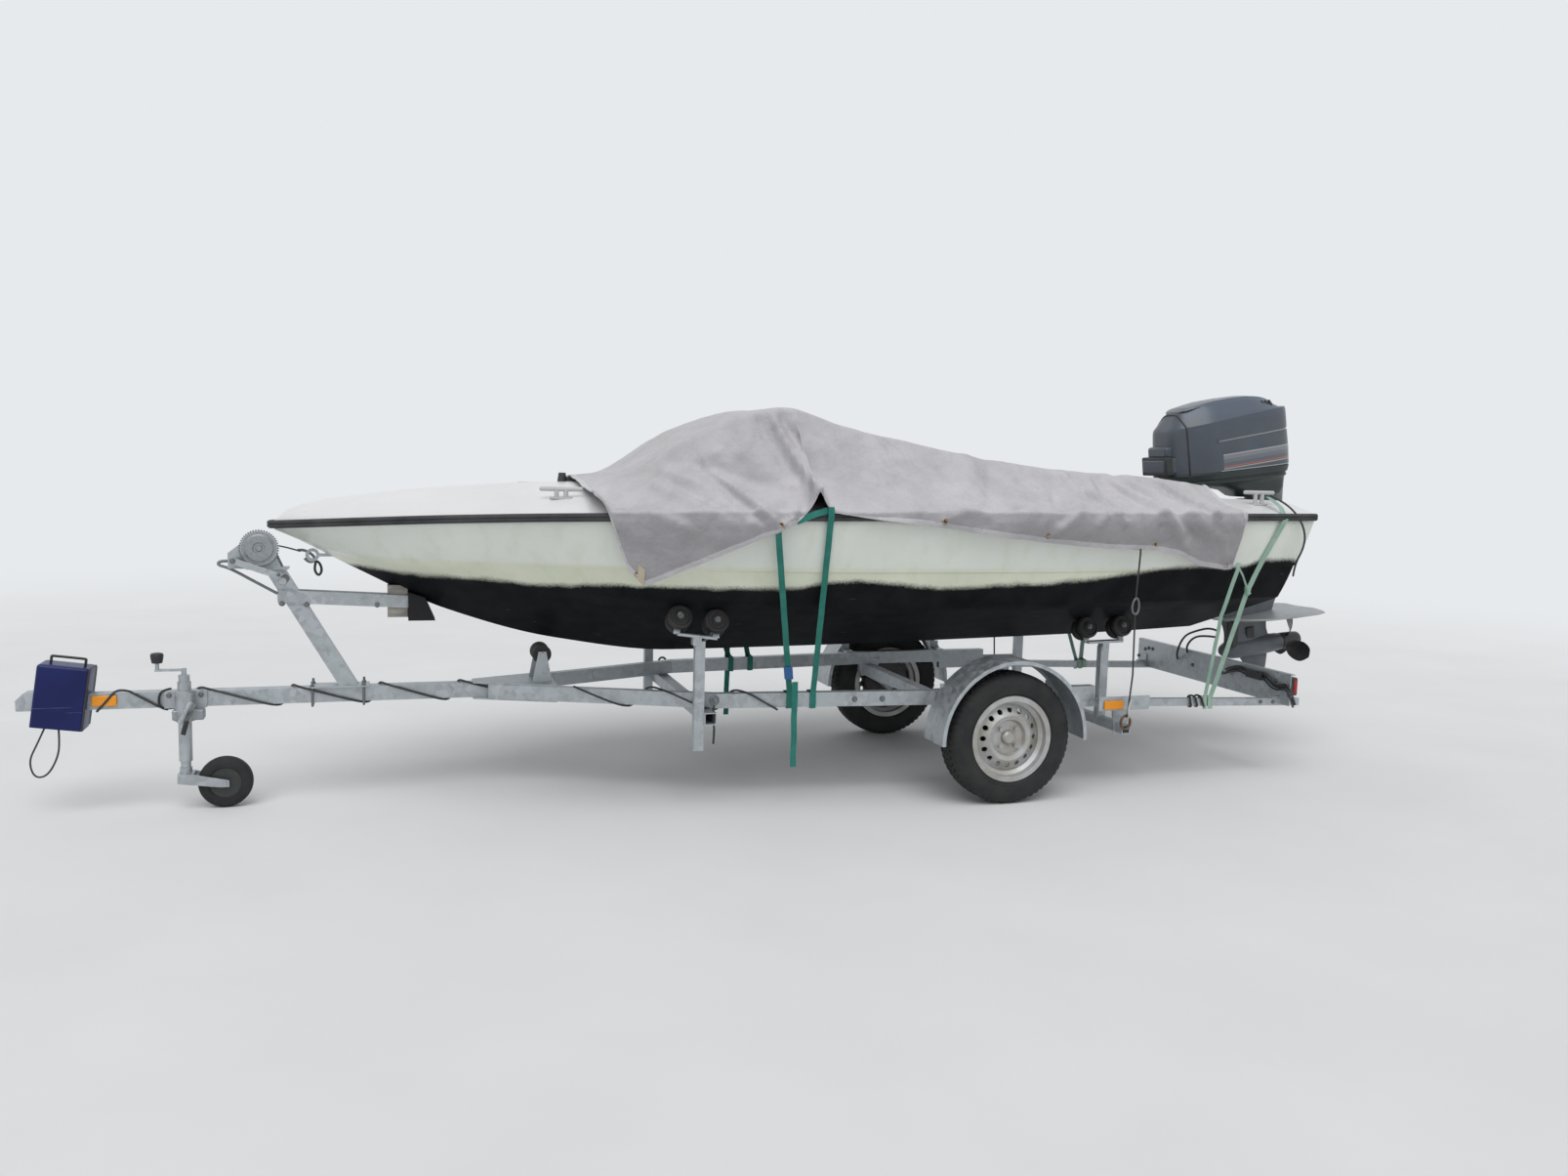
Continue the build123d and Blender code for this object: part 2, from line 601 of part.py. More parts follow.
def hollow_tube(plane, width, depth, length, wall=TUBE_WALL):
    """Box-section tube on a plane, open at both ends."""
    with BuildPart() as tube:
        with BuildSketch(plane):
            Rectangle(width, depth)
            Rectangle(width - 2 * wall, depth - 2 * wall, mode=Mode.SUBTRACT)
        extrude(amount=length)
    return tube.part


tongue_part = hollow_tube(Plane(origin=(at(TONGUE_FORE), 0, tongue_z), x_dir=(0, 1, 0), z_dir=(1, 0, 0)),
                          TONGUE_SIZE, TONGUE_SIZE, TONGUE_AFT - TONGUE_FORE)
save(tongue_part, "tongue")

with BuildPart() as tongue_solid:
    with BuildSketch(Plane(origin=(at(TONGUE_FORE), 0, tongue_z), x_dir=(0, 1, 0), z_dir=(1, 0, 0))):
        Rectangle(TONGUE_SIZE, TONGUE_SIZE)
    extrude(amount=TONGUE_AFT - TONGUE_FORE)
tongue_space = tongue_solid.part

# Side members: plan of the bends, as distance aft and half-spacing of the outer face
TRACK_HALF = 665  # middle of the trailer to the middle of a tyre
ARM_Y, ARM_THICK = TRACK_HALF - 103, 16
MEMBER_WIDTH, MEMBER_HEIGHT = 40, 60
member_half = ARM_Y - 12
MEMBER_PLAN = [(-2080, 70), (-1200, member_half - 110), (-100, member_half), (500, member_half)]
member_z = TONGUE_TOP - MEMBER_HEIGHT
for name, side in SIDES.items():
    with BuildPart() as member:
        with BuildSketch(level(member_z)):
            outer = [(at(x), side * y) for x, y in MEMBER_PLAN]
            inner = [(at(x), side * (y - MEMBER_WIDTH)) for x, y in reversed(MEMBER_PLAN)]
            outline(*outer, *inner)
        extrude(amount=MEMBER_HEIGHT)
        add(tongue_space, mode=Mode.SUBTRACT)
    save(member.part, f"side_member_{name}")

NECK_THICK, NECK_FORE, NECK_AFT = 6, -2140, -1810
ROLLER_X, ROLLER_Z, ROLLER_RADIUS, ROLLER_HALF, ROLLER_PIN = -1860, 572, 40, 60, 10
CHEEK_THICK, CHEEK_GAP = 6, 5
cheek_y = ROLLER_HALF + CHEEK_GAP + CHEEK_THICK / 2
with BuildPart() as neck:
    for z in (TONGUE_TOP, member_z - NECK_THICK):
        with BuildSketch(level(z)):
            outline((at(NECK_FORE), -40), (at(NECK_AFT), -170), (at(NECK_AFT), 170), (at(NECK_FORE), 40))
        extrude(amount=NECK_THICK)
    for end in (-1, 1):
        with BuildSketch(side_plane(end * cheek_y)):
            cheek_foot = TONGUE_TOP + NECK_THICK
            outline((at(ROLLER_X - 40), cheek_foot), (at(ROLLER_X + 40), cheek_foot),
                    (at(ROLLER_X + 16), ROLLER_Z + 14), (at(ROLLER_X - 16), ROLLER_Z + 14))
        extrude(amount=CHEEK_THICK / 2, both=True)
    pin_end = cheek_y + CHEEK_THICK / 2 + ROLLER_PIN
    add(rod([(at(ROLLER_X), -pin_end, ROLLER_Z), (at(ROLLER_X), pin_end, ROLLER_Z)], ROLLER_PIN))
save(neck.part, "neck")

FRONT_BEAM_X, FRONT_BEAM_HALF, FRONT_BEAM_SIZE = -1247, 524, 50
REAR_BEAM_X, REAR_BEAM_HALF, REAR_BEAM_SIZE, REAR_BEAM_Z = 636, 604, 40, 264
front_beam_z = member_z - FRONT_BEAM_SIZE / 2


def beam_plane(x, half, z):
    """Plane at a cross beam's port end, facing starboard."""
    return Plane(origin=(at(x), -half, z), x_dir=(1, 0, 0), z_dir=(0, 1, 0))


front_beam_plane = beam_plane(FRONT_BEAM_X, FRONT_BEAM_HALF, front_beam_z)
rear_beam_plane = beam_plane(REAR_BEAM_X, REAR_BEAM_HALF, REAR_BEAM_Z)
save(hollow_tube(front_beam_plane, FRONT_BEAM_SIZE, FRONT_BEAM_SIZE, 2 * FRONT_BEAM_HALF),
     "front_cross_beam")

# Rear rails hang under the side members and droop aft to the lamp board
REAR_RAIL_Y, REAR_RAIL_WIDTH, REAR_RAIL_DEPTH = member_half - 20, 30, 34
REAR_RAIL_FORE, REAR_RAIL_AFT, REAR_RAIL_DROOP = 250, 1620, 36
rail_high = member_z - REAR_RAIL_DEPTH / 2
RAIL_LEVEL_TO = 500


def rear_rail_z(x):
    """Middle height of the drooping rear rail."""
    return rail_high - REAR_RAIL_DROOP * max(0, x - RAIL_LEVEL_TO) / (REAR_RAIL_AFT - RAIL_LEVEL_TO)


with BuildPart() as rear_rails:
    for side in (PORT, STARBOARD):
        with BuildSketch(side_plane(side * REAR_RAIL_Y)):
            places = (REAR_RAIL_FORE, RAIL_LEVEL_TO, REAR_RAIL_AFT)
            upper = [(at(x), rear_rail_z(x) + REAR_RAIL_DEPTH / 2) for x in places]
            lower = [(at(x), rear_rail_z(x) - REAR_RAIL_DEPTH / 2) for x in reversed(places)]
            outline(*upper, *lower)
        extrude(amount=REAR_RAIL_WIDTH / 2, both=True)
save(rear_rails.part, "rear_rails")

# Rear cross beam, hung from the rails on two plates
HANGER_THICK, HANGER_HEAD, HANGER_FOOT = 6, 45, 28
hanger_y = REAR_RAIL_Y + REAR_RAIL_WIDTH / 2 + HANGER_THICK / 2
head, foot = rear_rail_z(REAR_BEAM_X) + REAR_RAIL_DEPTH / 2, REAR_BEAM_Z - REAR_BEAM_SIZE / 2 - 8
with BuildPart() as rear_cross_beam:
    add(hollow_tube(rear_beam_plane, REAR_BEAM_SIZE, REAR_BEAM_SIZE, 2 * REAR_BEAM_HALF))
    for side in (PORT, STARBOARD):
        with BuildSketch(side_plane(side * hanger_y)):
            outline((at(REAR_BEAM_X - HANGER_HEAD), head), (at(REAR_BEAM_X + HANGER_HEAD), head),
                    (at(REAR_BEAM_X + HANGER_FOOT), foot), (at(REAR_BEAM_X - HANGER_FOOT), foot))
        extrude(amount=HANGER_THICK / 2, both=True)
save(rear_cross_beam.part, "rear_cross_beam")

# Running gear
HUB_Z = 278
TYRE_RADIUS, TYRE_WIDTH = HUB_Z, 145
RIM_RADIUS, RIM_SEAT, RIM_WELL, RIM_WIDTH, RIM_SHEET = 182, 165, 148, 118, 5
WHEEL_HOLES, HOLE_RADIUS, HOLE_CIRCLE = 16, 11, 118
WHEEL_BOLTS, BOLT_CIRCLE_RADIUS, BOLT_HEAD = 4, 50, 10
STUB_RADIUS, HUB_RADIUS_OUT, DISC_HOLE = 15, 42, 32
AXLE_BEAM_X, AXLE_BEAM_Z, AXLE_BEAM_SIZE = -150, 370, 50
DISC_OUT = 32  # wheel disc outboard of the tyre's middle
HUB_IN, CAP_OUT = TRACK_HALF - 90, TRACK_HALF + 45


def wheel_axis(side):
    return Axis((at(0), side * TRACK_HALF, HUB_Z), (0, 1, 0))


def wheel_profile_plane():
    return Plane(origin=(at(0), 0, HUB_Z), x_dir=(0, 1, 0), z_dir=(1, 0, 0))


half = RIM_WIDTH / 2
t_half = TYRE_WIDTH / 2


def wheel_points(side, *places):
    """Points of a wheel's section: outboard of the tyre's middle, and out from the axle."""
    return [(side * (TRACK_HALF + y), radius) for y, radius in places]


# Sections of the wheel: rim, disc, hub, and the tyre's side and tread
RIM_SECTION = [
    (-half, RIM_RADIUS), (-half, RIM_SEAT), (-half + 22, RIM_SEAT - 2), (-half + 34, RIM_WELL),
    (half - 36, RIM_WELL), (half - 22, RIM_SEAT - 2), (half, RIM_SEAT), (half, RIM_RADIUS),
    (half + RIM_SHEET, RIM_RADIUS), (half + RIM_SHEET, RIM_SEAT - RIM_SHEET),
    (half - 20, RIM_SEAT - 2 - RIM_SHEET), (half - 31, RIM_WELL - RIM_SHEET),
    (-half + 29, RIM_WELL - RIM_SHEET), (-half + 20, RIM_SEAT - 2 - RIM_SHEET),
    (-half - RIM_SHEET, RIM_SEAT - RIM_SHEET), (-half - RIM_SHEET, RIM_RADIUS),
]
DISC_SECTION = [
    (DISC_OUT - 14, RIM_WELL - 1), (DISC_OUT - 6, RIM_WELL - 20), (DISC_OUT + 14, 96),
    (DISC_OUT + 8, 78), (DISC_OUT - 8, 70), (DISC_OUT - 8, DISC_HOLE), (DISC_OUT - 14, DISC_HOLE),
    (DISC_OUT - 14, 72), (DISC_OUT + 2, 80), (DISC_OUT + 7, 94), (DISC_OUT - 12, RIM_WELL - 22),
    (DISC_OUT - 20, RIM_WELL - 1),
]
y_in, y_cap = HUB_IN - TRACK_HALF, CAP_OUT - TRACK_HALF
HUB_SECTION = [
    (y_in, STUB_RADIUS + RUN), (y_cap - 12, STUB_RADIUS + RUN), (y_cap - 12, 0), (y_cap, 0),
    (y_cap, 20), (y_cap - 8, 27), (DISC_OUT - 10, 30), (DISC_OUT - 10, HUB_RADIUS_OUT),
    (DISC_OUT - 20, HUB_RADIUS_OUT + 28), (DISC_OUT - 30, HUB_RADIUS_OUT + 28), (DISC_OUT - 34, 34),
    (y_in, 34),
]
TYRE_SIDE = [(half + 4, RIM_RADIUS + 8), (t_half, 226), (t_half - 13, TYRE_RADIUS - 12)]
TYRE_SHOULDER = [TYRE_SIDE[-1], (t_half - 18, TYRE_RADIUS - 4), (t_half - 26, TYRE_RADIUS)]
TYRE_BEAD = [(half, RIM_SEAT), (half, RIM_RADIUS + 2), TYRE_SIDE[0]]
TYRE_BORE = [(half, RIM_SEAT), (half - 22, RIM_SEAT - 2), (-half + 22, RIM_SEAT - 2), (-half, RIM_SEAT)]

for name, side in SIDES.items():
    with BuildPart() as rim:
        with BuildSketch(wheel_profile_plane()):
            outline(*wheel_points(side, *RIM_SECTION))
            outline(*wheel_points(side, *DISC_SECTION))
        revolve(axis=wheel_axis(side))
        with BuildSketch(wheel_profile_plane()):
            outline(*wheel_points(side, *HUB_SECTION))
        revolve(axis=wheel_axis(side))
        hole_plane = Plane(origin=(at(0), side * TRACK_HALF, HUB_Z), x_dir=(1, 0, 0), z_dir=(0, side, 0))
        with BuildSketch(hole_plane):
            with PolarLocations(HOLE_CIRCLE, WHEEL_HOLES):
                Circle(HOLE_RADIUS)
        extrude(amount=RIM_WIDTH / 2, mode=Mode.SUBTRACT)
        with BuildSketch(hole_plane.offset(DISC_OUT - 10)):
            with PolarLocations(BOLT_CIRCLE_RADIUS, WHEEL_BOLTS, start_angle=45):
                RegularPolygon(BOLT_HEAD, 6)
        extrude(amount=16)
    save(rim.part, f"rim_{name}")

    with BuildPart() as tyre:
        with BuildSketch(wheel_profile_plane()):
            with BuildLine():
                for face in (1, -1):
                    for arc in (TYRE_SIDE, TYRE_SHOULDER):
                        ThreePointArc(*wheel_points(side, *[(face * y, r) for y, r in arc]))
                    Polyline(*wheel_points(side, *[(face * y, r) for y, r in TYRE_BEAD]))
                tread_edge = TYRE_SHOULDER[-1]
                Line(*wheel_points(side, tread_edge, (-tread_edge[0], tread_edge[1])))
                Polyline(*wheel_points(side, *TYRE_BORE))
            make_face()
        revolve(axis=wheel_axis(side))
    save(tyre.part, f"tyre_{name}")

ARM_HEAD, ARM_FOOT = 36, 26
AXLE_PLATE = 8
plate_y = MEMBER_PLAN[2][1] - MEMBER_WIDTH - AXLE_PLATE / 2
with BuildPart() as axle:
    with BuildSketch(Plane(origin=(at(AXLE_BEAM_X), 0, AXLE_BEAM_Z), x_dir=(1, 0, 0), z_dir=(0, 1, 0))):
        Rectangle(AXLE_BEAM_SIZE, AXLE_BEAM_SIZE)
    extrude(amount=ARM_Y, both=True)
    for side in (PORT, STARBOARD):
        with BuildSketch(side_plane(side * ARM_Y)):
            lean = atan2(HUB_Z - AXLE_BEAM_Z, -AXLE_BEAM_X)
            up = (-sin(lean), cos(lean))
            beam, hub = (at(AXLE_BEAM_X), AXLE_BEAM_Z), (at(0), HUB_Z)
            ends = ((beam, ARM_HEAD), (hub, ARM_FOOT), (hub, -ARM_FOOT), (beam, -ARM_HEAD))
            outline(*[(p[0] + r * up[0], p[1] + r * up[1]) for p, r in ends])
            with Locations(beam):
                Circle(ARM_HEAD)
            with Locations(hub):
                Circle(ARM_FOOT)
        extrude(amount=ARM_THICK / 2, both=True)
        add(rod([(at(0), side * ARM_Y, HUB_Z), (at(0), side * (CAP_OUT - 16), HUB_Z)], STUB_RADIUS))
        with BuildSketch(side_plane(side * plate_y)):
            outline((at(AXLE_BEAM_X - 60), member_z + 30), (at(AXLE_BEAM_X + 60), member_z + 30),
                    (at(AXLE_BEAM_X + 40), AXLE_BEAM_Z - 34), (at(AXLE_BEAM_X - 40), AXLE_BEAM_Z - 34))
        extrude(amount=AXLE_PLATE / 2, both=True)
        with BuildSketch(level(member_z)):
            outer = [(at(x), side * y) for x, y in MEMBER_PLAN]
            inner = [(at(x), side * (y - MEMBER_WIDTH)) for x, y in reversed(MEMBER_PLAN)]
            outline(*outer, *inner)
        extrude(amount=MEMBER_HEIGHT, mode=Mode.SUBTRACT)
save(axle.part, "axle")

# Mudguards: a rolled arc over each wheel, with turned-down edges, on two stays
GUARD_RADIUS, GUARD_SHEET, GUARD_LIP = 335, 3, 16
GUARD_INNER, GUARD_OUTER = TRACK_HALF - 77, TRACK_HALF + 98
STAY_THICK, STAY_X, STAY_WIDTH, STAY_RISE = 6, 250, 40, 40
stay_foot_y = MEMBER_PLAN[2][1] - MEMBER_WIDTH
STAY_SECTION = [
    (stay_foot_y, TONGUE_TOP), (GUARD_INNER, TONGUE_TOP), (GUARD_INNER, TONGUE_TOP + STAY_RISE),
    (GUARD_INNER - STAY_THICK, TONGUE_TOP + STAY_RISE), (GUARD_INNER - STAY_THICK, TONGUE_TOP + STAY_THICK),
    (stay_foot_y, TONGUE_TOP + STAY_THICK),
]


def guard_ring(y, inner_radius, width):
    """Upper half of a ring round the wheel, centred on y."""
    with BuildPart() as ring:
        with BuildSketch(side_plane(y)):
            with Locations((at(0), HUB_Z)):
                Circle(GUARD_RADIUS)
                Circle(inner_radius, mode=Mode.SUBTRACT)
            with Locations((at(0), HUB_Z - GUARD_RADIUS - 10)):
                Rectangle(3 * GUARD_RADIUS, 2 * GUARD_RADIUS, mode=Mode.SUBTRACT)
        extrude(amount=width / 2, both=True)
    return ring.part


with BuildPart() as mudguards:
    for side in (PORT, STARBOARD):
        middle = side * (GUARD_INNER + GUARD_OUTER) / 2
        add(guard_ring(middle, GUARD_RADIUS - GUARD_SHEET, GUARD_OUTER - GUARD_INNER))
        for y in (GUARD_INNER + GUARD_SHEET / 2, GUARD_OUTER - GUARD_SHEET / 2):
            add(guard_ring(side * y, GUARD_RADIUS - GUARD_LIP, GUARD_SHEET))
        for x in (-STAY_X, STAY_X):
            with BuildSketch(across(x - STAY_WIDTH / 2)):
                outline(*[(side * y, z) for y, z in STAY_SECTION])
            extrude(amount=STAY_WIDTH)
save(mudguards.part, "mudguards")

# Lamp board across the tail
BOARD_X, BOARD_HALF, BOARD_FOOT, BOARD_HEIGHT, BOARD_THICK = 1515, 600, 335, 148, 4
BOARD_FLANGE, BOARD_BRACKET = 22, 30
board_aft, board_top = BOARD_X + BOARD_THICK, BOARD_FOOT + BOARD_HEIGHT
with BuildPart() as light_board:
    with BuildSketch(side_plane(0)):
        outline((at(BOARD_X), BOARD_FOOT), (at(board_aft), BOARD_FOOT),
                (at(board_aft), board_top - BOARD_THICK),
                (at(board_aft + BOARD_FLANGE), board_top - BOARD_THICK),
                (at(board_aft + BOARD_FLANGE), board_top), (at(BOARD_X), board_top))
    extrude(amount=BOARD_HALF, both=True)
    for side in (PORT, STARBOARD):
        with BuildSketch(side_plane(side * REAR_RAIL_Y)):
            top = rear_rail_z(BOARD_X - 25) + REAR_RAIL_DEPTH / 2
            outline((at(BOARD_X - 50), top + 2), (at(BOARD_X), top),
                    (at(BOARD_X), BOARD_FOOT + 70), (at(BOARD_X - 6), BOARD_FOOT + 70),
                    (at(BOARD_X - 6), top + 7), (at(BOARD_X - 50), top + 8))
        extrude(amount=BOARD_BRACKET / 2, both=True)
        with BuildSketch(side_plane(side * REAR_RAIL_Y)):
            rail_ends = ((1200, 1), (REAR_RAIL_AFT, 1), (REAR_RAIL_AFT, -1), (1200, -1))
            outline(*[(at(x), rear_rail_z(x) + h * REAR_RAIL_DEPTH / 2) for x, h in rail_ends])
        extrude(amount=REAR_RAIL_WIDTH / 2 + EASE, both=True, mode=Mode.SUBTRACT)
save(light_board.part, "light_board")

LAMP_WIDTH, LAMP_HEIGHT, LAMP_DEPTH, LAMP_CORNER = 210, 85, 45, 10
with BuildPart() as tail_lamps:
    for side in (PORT, STARBOARD):
        with BuildSketch(across(board_aft)):
            with Locations((side * (BOARD_HALF - LAMP_WIDTH / 2 - 10), BOARD_FOOT + BOARD_HEIGHT / 2 + 14)):
                RectangleRounded(LAMP_WIDTH, LAMP_HEIGHT, LAMP_CORNER)
        extrude(amount=LAMP_DEPTH)
save(tail_lamps.part, "tail_lamps")

# Coupling with its ball socket, in the lock box
BALL_SOCKET = 25.4
COUPLING_HALF, COUPLING_AFT, COUPLING_LAP, COUPLING_CROWN = 34, 240 - NOSE_REACH, 5, 14
COUPLING_NOSE = 16
SOCKET_X, SOCKET_FOOT, SOCKET_DEPTH = 60 - NOSE_REACH, 398, 40
with BuildPart() as coupling:
    with BuildSketch(side_plane(0)):
        crown_z = TONGUE_TOP + COUPLING_CROWN
        outline((at(COUPLING_AFT), TONGUE_TOP), (at(COUPLING_AFT), TONGUE_TOP + COUPLING_LAP),
                (at(TONGUE_FORE), crown_z), (at(SOCKET_X - 30), crown_z - 4),
                (at(-NOSE_REACH), TONGUE_TOP - 20), (at(-NOSE_REACH), SOCKET_FOOT),
                (at(TONGUE_FORE), SOCKET_FOOT), (at(TONGUE_FORE), TONGUE_TOP))
    extrude(amount=COUPLING_HALF, both=True)
    with BuildSketch(level(SOCKET_FOOT)):
        with Locations((at(SOCKET_X), 0)):
            Circle(BALL_SOCKET)
    extrude(amount=SOCKET_DEPTH, mode=Mode.SUBTRACT)
    fillet(coupling.edges().filter_by(Axis.Z).group_by(Axis.X)[0], COUPLING_NOSE)
save(coupling.part, "coupling")

HANDLE_RISE, HANDLE_ROD, HANDLE_BEND, HANDLE_INSET = 26, 5, 10, 32
LOCK_FORE, LOCK_AFT = 25 - NOSE_REACH, COUPLING_AFT
LOCK_HALF, LOCK_FOOT, LOCK_TOP, LOCK_WALL, LOCK_CORNER = 62, 335, 585, 4, 10
lock_length, lock_middle = LOCK_AFT - LOCK_FORE, at((LOCK_FORE + LOCK_AFT) / 2)
with BuildPart() as lock_box:
    with BuildSketch(level(LOCK_FOOT)):
        with Locations((lock_middle, 0)):
            RectangleRounded(lock_length, 2 * LOCK_HALF, LOCK_CORNER)
            RectangleRounded(lock_length - 2 * LOCK_WALL, 2 * (LOCK_HALF - LOCK_WALL),
                             LOCK_CORNER - LOCK_WALL, mode=Mode.SUBTRACT)
    extrude(amount=LOCK_TOP - LOCK_FOOT)
    with BuildSketch(level(LOCK_TOP - LOCK_WALL)):
        with Locations((lock_middle, 0)):
            RectangleRounded(lock_length, 2 * LOCK_HALF, LOCK_CORNER)
    extrude(amount=LOCK_WALL)
    slot_foot, slot_head = member_z - EASE, TONGUE_TOP + COUPLING_CROWN + EASE
    for x in (LOCK_FORE, LOCK_AFT):
        with BuildSketch(across(x)):
            with Locations((0, (slot_foot + slot_head) / 2)):
                Rectangle(2 * (COUPLING_HALF + EASE), slot_head - slot_foot)
        extrude(amount=3 * LOCK_WALL, both=True, mode=Mode.SUBTRACT)
    with BuildLine():
        fore, aft = at(LOCK_FORE + HANDLE_INSET), at(LOCK_AFT - HANDLE_INSET)
        foot, top = LOCK_TOP - 1, LOCK_TOP + HANDLE_RISE
        FilletPolyline((fore, 0, foot), (fore, 0, top), (aft, 0, top), (aft, 0, foot), radius=HANDLE_BEND)
    with BuildSketch(Plane(origin=(fore, 0, foot))):
        Circle(HANDLE_ROD)
    sweep()
save(lock_box.part, "lock_box")

# Jockey wheel: clamp and outer tube on the tongue, inner leg, swivelling fork and wheel
JOCKEY_X, JOCKEY_RADIUS, JOCKEY_TUBE, CLAMP_PLATE = 580 - NOSE_REACH, 100, 24, 8
JOCKEY_Y = -(TONGUE_SIZE / 2 + CLAMP_PLATE + JOCKEY_TUBE)
JOCKEY_TUBE_FOOT, JOCKEY_TUBE_TOP, LEG_HEAD = 190, 500, 465
JOCKEY_TRAIL, JOCKEY_WIDTH, FORK_GAP, FORK_SHEET = 140, 56, 5, 5
JOCKEY_AXLE = 8
LEG_INNER = 18
SPINDLE = 9


def upright_bar(x, y, z0, z1, radius, inner=0.0):
    """Round post or tube between two heights."""
    with BuildPart() as post:
        with BuildSketch(level(z0)):
            with Locations((at(x), y)):
                Circle(radius)
                if inner:
                    Circle(inner, mode=Mode.SUBTRACT)
        extrude(amount=z1 - z0)
    return post.part


CLAMP_RING, CLAMP_DEPTH, CLAMP_LENGTH = 10, 84, 150
T_BAR_REACH, T_BAR_RADIUS, T_BAR_SPLAY = 60, 7, 40
CRANK_CAP, CRANK_REACH, CRANK_GRIP, CRANK_GRIP_HEIGHT = 26, 92, 17, 34
CRANK_WIDTH, CRANK_SHEET, CRANK_STUB, CRANK_STUB_HEIGHT = 20, 8, 7, 50
crank_z = JOCKEY_TUBE_TOP + CRANK_CAP
arm_z, knob_x = crank_z + 20, JOCKEY_X - CRANK_REACH
clamp_z = tongue_z - CLAMP_DEPTH / 2
with BuildPart() as jockey_mount:
    with BuildSketch(side_plane(-TONGUE_SIZE / 2 - CLAMP_PLATE / 2)):
        with Locations((at(JOCKEY_X), tongue_z)):
            Rectangle(CLAMP_LENGTH, TONGUE_SIZE + 6)
    extrude(amount=CLAMP_PLATE / 2, both=True)
    add(upright_bar(JOCKEY_X, JOCKEY_Y, clamp_z, clamp_z + CLAMP_DEPTH, JOCKEY_TUBE + CLAMP_RING))
    add(upright_bar(JOCKEY_X, JOCKEY_Y, JOCKEY_TUBE_FOOT, JOCKEY_TUBE_TOP, JOCKEY_TUBE))
    add(tongue_space, mode=Mode.SUBTRACT)
    bar_x, bar_y, bar_z = at(JOCKEY_X + 12), JOCKEY_Y - JOCKEY_TUBE - T_BAR_REACH, tongue_z - 30
    add(rod([(bar_x, JOCKEY_Y - JOCKEY_TUBE, bar_z), (bar_x, bar_y, bar_z)], T_BAR_RADIUS))
    splay = Vector(T_BAR_SPLAY / 2, 0, T_BAR_SPLAY)
    knob = Vector(bar_x, bar_y, bar_z)
    add(rod([knob + splay, knob - splay], T_BAR_RADIUS + 1))
    add(upright_bar(JOCKEY_X, JOCKEY_Y, JOCKEY_TUBE_TOP, crank_z, JOCKEY_TUBE - 4))
    add(upright_bar(JOCKEY_X, JOCKEY_Y, crank_z, crank_z + CRANK_CAP, SPINDLE))
    add(bar([(at(JOCKEY_X + 8), JOCKEY_Y, arm_z), (at(knob_x - 8), JOCKEY_Y, arm_z)],
            CRANK_WIDTH, CRANK_SHEET))
    knob_foot = crank_z + CRANK_STUB_HEIGHT
    add(upright_bar(knob_x, JOCKEY_Y, crank_z + 16, knob_foot, CRANK_STUB))
    add(upright_bar(knob_x, JOCKEY_Y, knob_foot, knob_foot + CRANK_GRIP_HEIGHT, CRANK_GRIP))
    add(upright_bar(JOCKEY_X, JOCKEY_Y, JOCKEY_TUBE_FOOT - 1, JOCKEY_TUBE_TOP, LEG_INNER + RUN),
        mode=Mode.SUBTRACT)
save(jockey_mount.part, "jockey_mount")

FORK_TOP = 165
PIVOT_GAP = 1
FORK_RING, FORK_BRIDGE, FORK_WIDTH = 22, 20, 56
wheel_x = JOCKEY_X + JOCKEY_TRAIL
with BuildPart() as jockey_leg:
    add(upright_bar(JOCKEY_X, JOCKEY_Y, FORK_TOP + PIVOT_GAP, LEG_HEAD, LEG_INNER))
    add(upright_bar(JOCKEY_X, JOCKEY_Y, FORK_TOP - FORK_RING + PIVOT_GAP, FORK_TOP + PIVOT_GAP, SPINDLE))
save(jockey_leg.part, "jockey_leg")

fork_half = JOCKEY_WIDTH / 2 + FORK_GAP + FORK_SHEET
with BuildPart() as jockey_fork:
    with BuildSketch(level(FORK_TOP - FORK_RING)):
        with Locations((at(JOCKEY_X), JOCKEY_Y)):
            Circle(LEG_INNER + 4)
            Circle(SPINDLE + RUN, mode=Mode.SUBTRACT)
    extrude(amount=FORK_RING)
    with BuildSketch(level(FORK_TOP - FORK_RING - FORK_BRIDGE)):
        with Locations((at(JOCKEY_X + 2), JOCKEY_Y)):
            Rectangle(FORK_WIDTH, 2 * fork_half)
    extrude(amount=FORK_BRIDGE)
    for end in (-1, 1):
        with BuildSketch(side_plane(JOCKEY_Y + end * (fork_half - FORK_SHEET / 2))):
            outline((at(JOCKEY_X - 26), FORK_TOP - 44), (at(JOCKEY_X + 30), FORK_TOP - 24),
                    (at(wheel_x + 16), JOCKEY_RADIUS + 12), (at(wheel_x + 16), JOCKEY_RADIUS - 14),
                    (at(wheel_x - 14), JOCKEY_RADIUS - 14), (at(JOCKEY_X - 26), FORK_TOP - 58))
        extrude(amount=FORK_SHEET / 2, both=True)
    add(rod([(at(wheel_x), JOCKEY_Y - fork_half - 6, JOCKEY_RADIUS),
             (at(wheel_x), JOCKEY_Y + fork_half + 6, JOCKEY_RADIUS)], JOCKEY_AXLE))
save(jockey_fork.part, "jockey_fork")

JOCKEY_SHOULDER = 8
with BuildPart() as jockey_wheel:
    with BuildSketch(side_plane(JOCKEY_Y)):
        with Locations((at(wheel_x), JOCKEY_RADIUS)):
            Circle(JOCKEY_RADIUS)
            Circle(JOCKEY_AXLE + RUN, mode=Mode.SUBTRACT)
    extrude(amount=JOCKEY_WIDTH / 2, both=True)
    chamfer(jockey_wheel.edges().filter_by(GeomType.CIRCLE).group_by(SortBy.RADIUS)[-1], JOCKEY_SHOULDER)
save(jockey_wheel.part, "jockey_wheel")

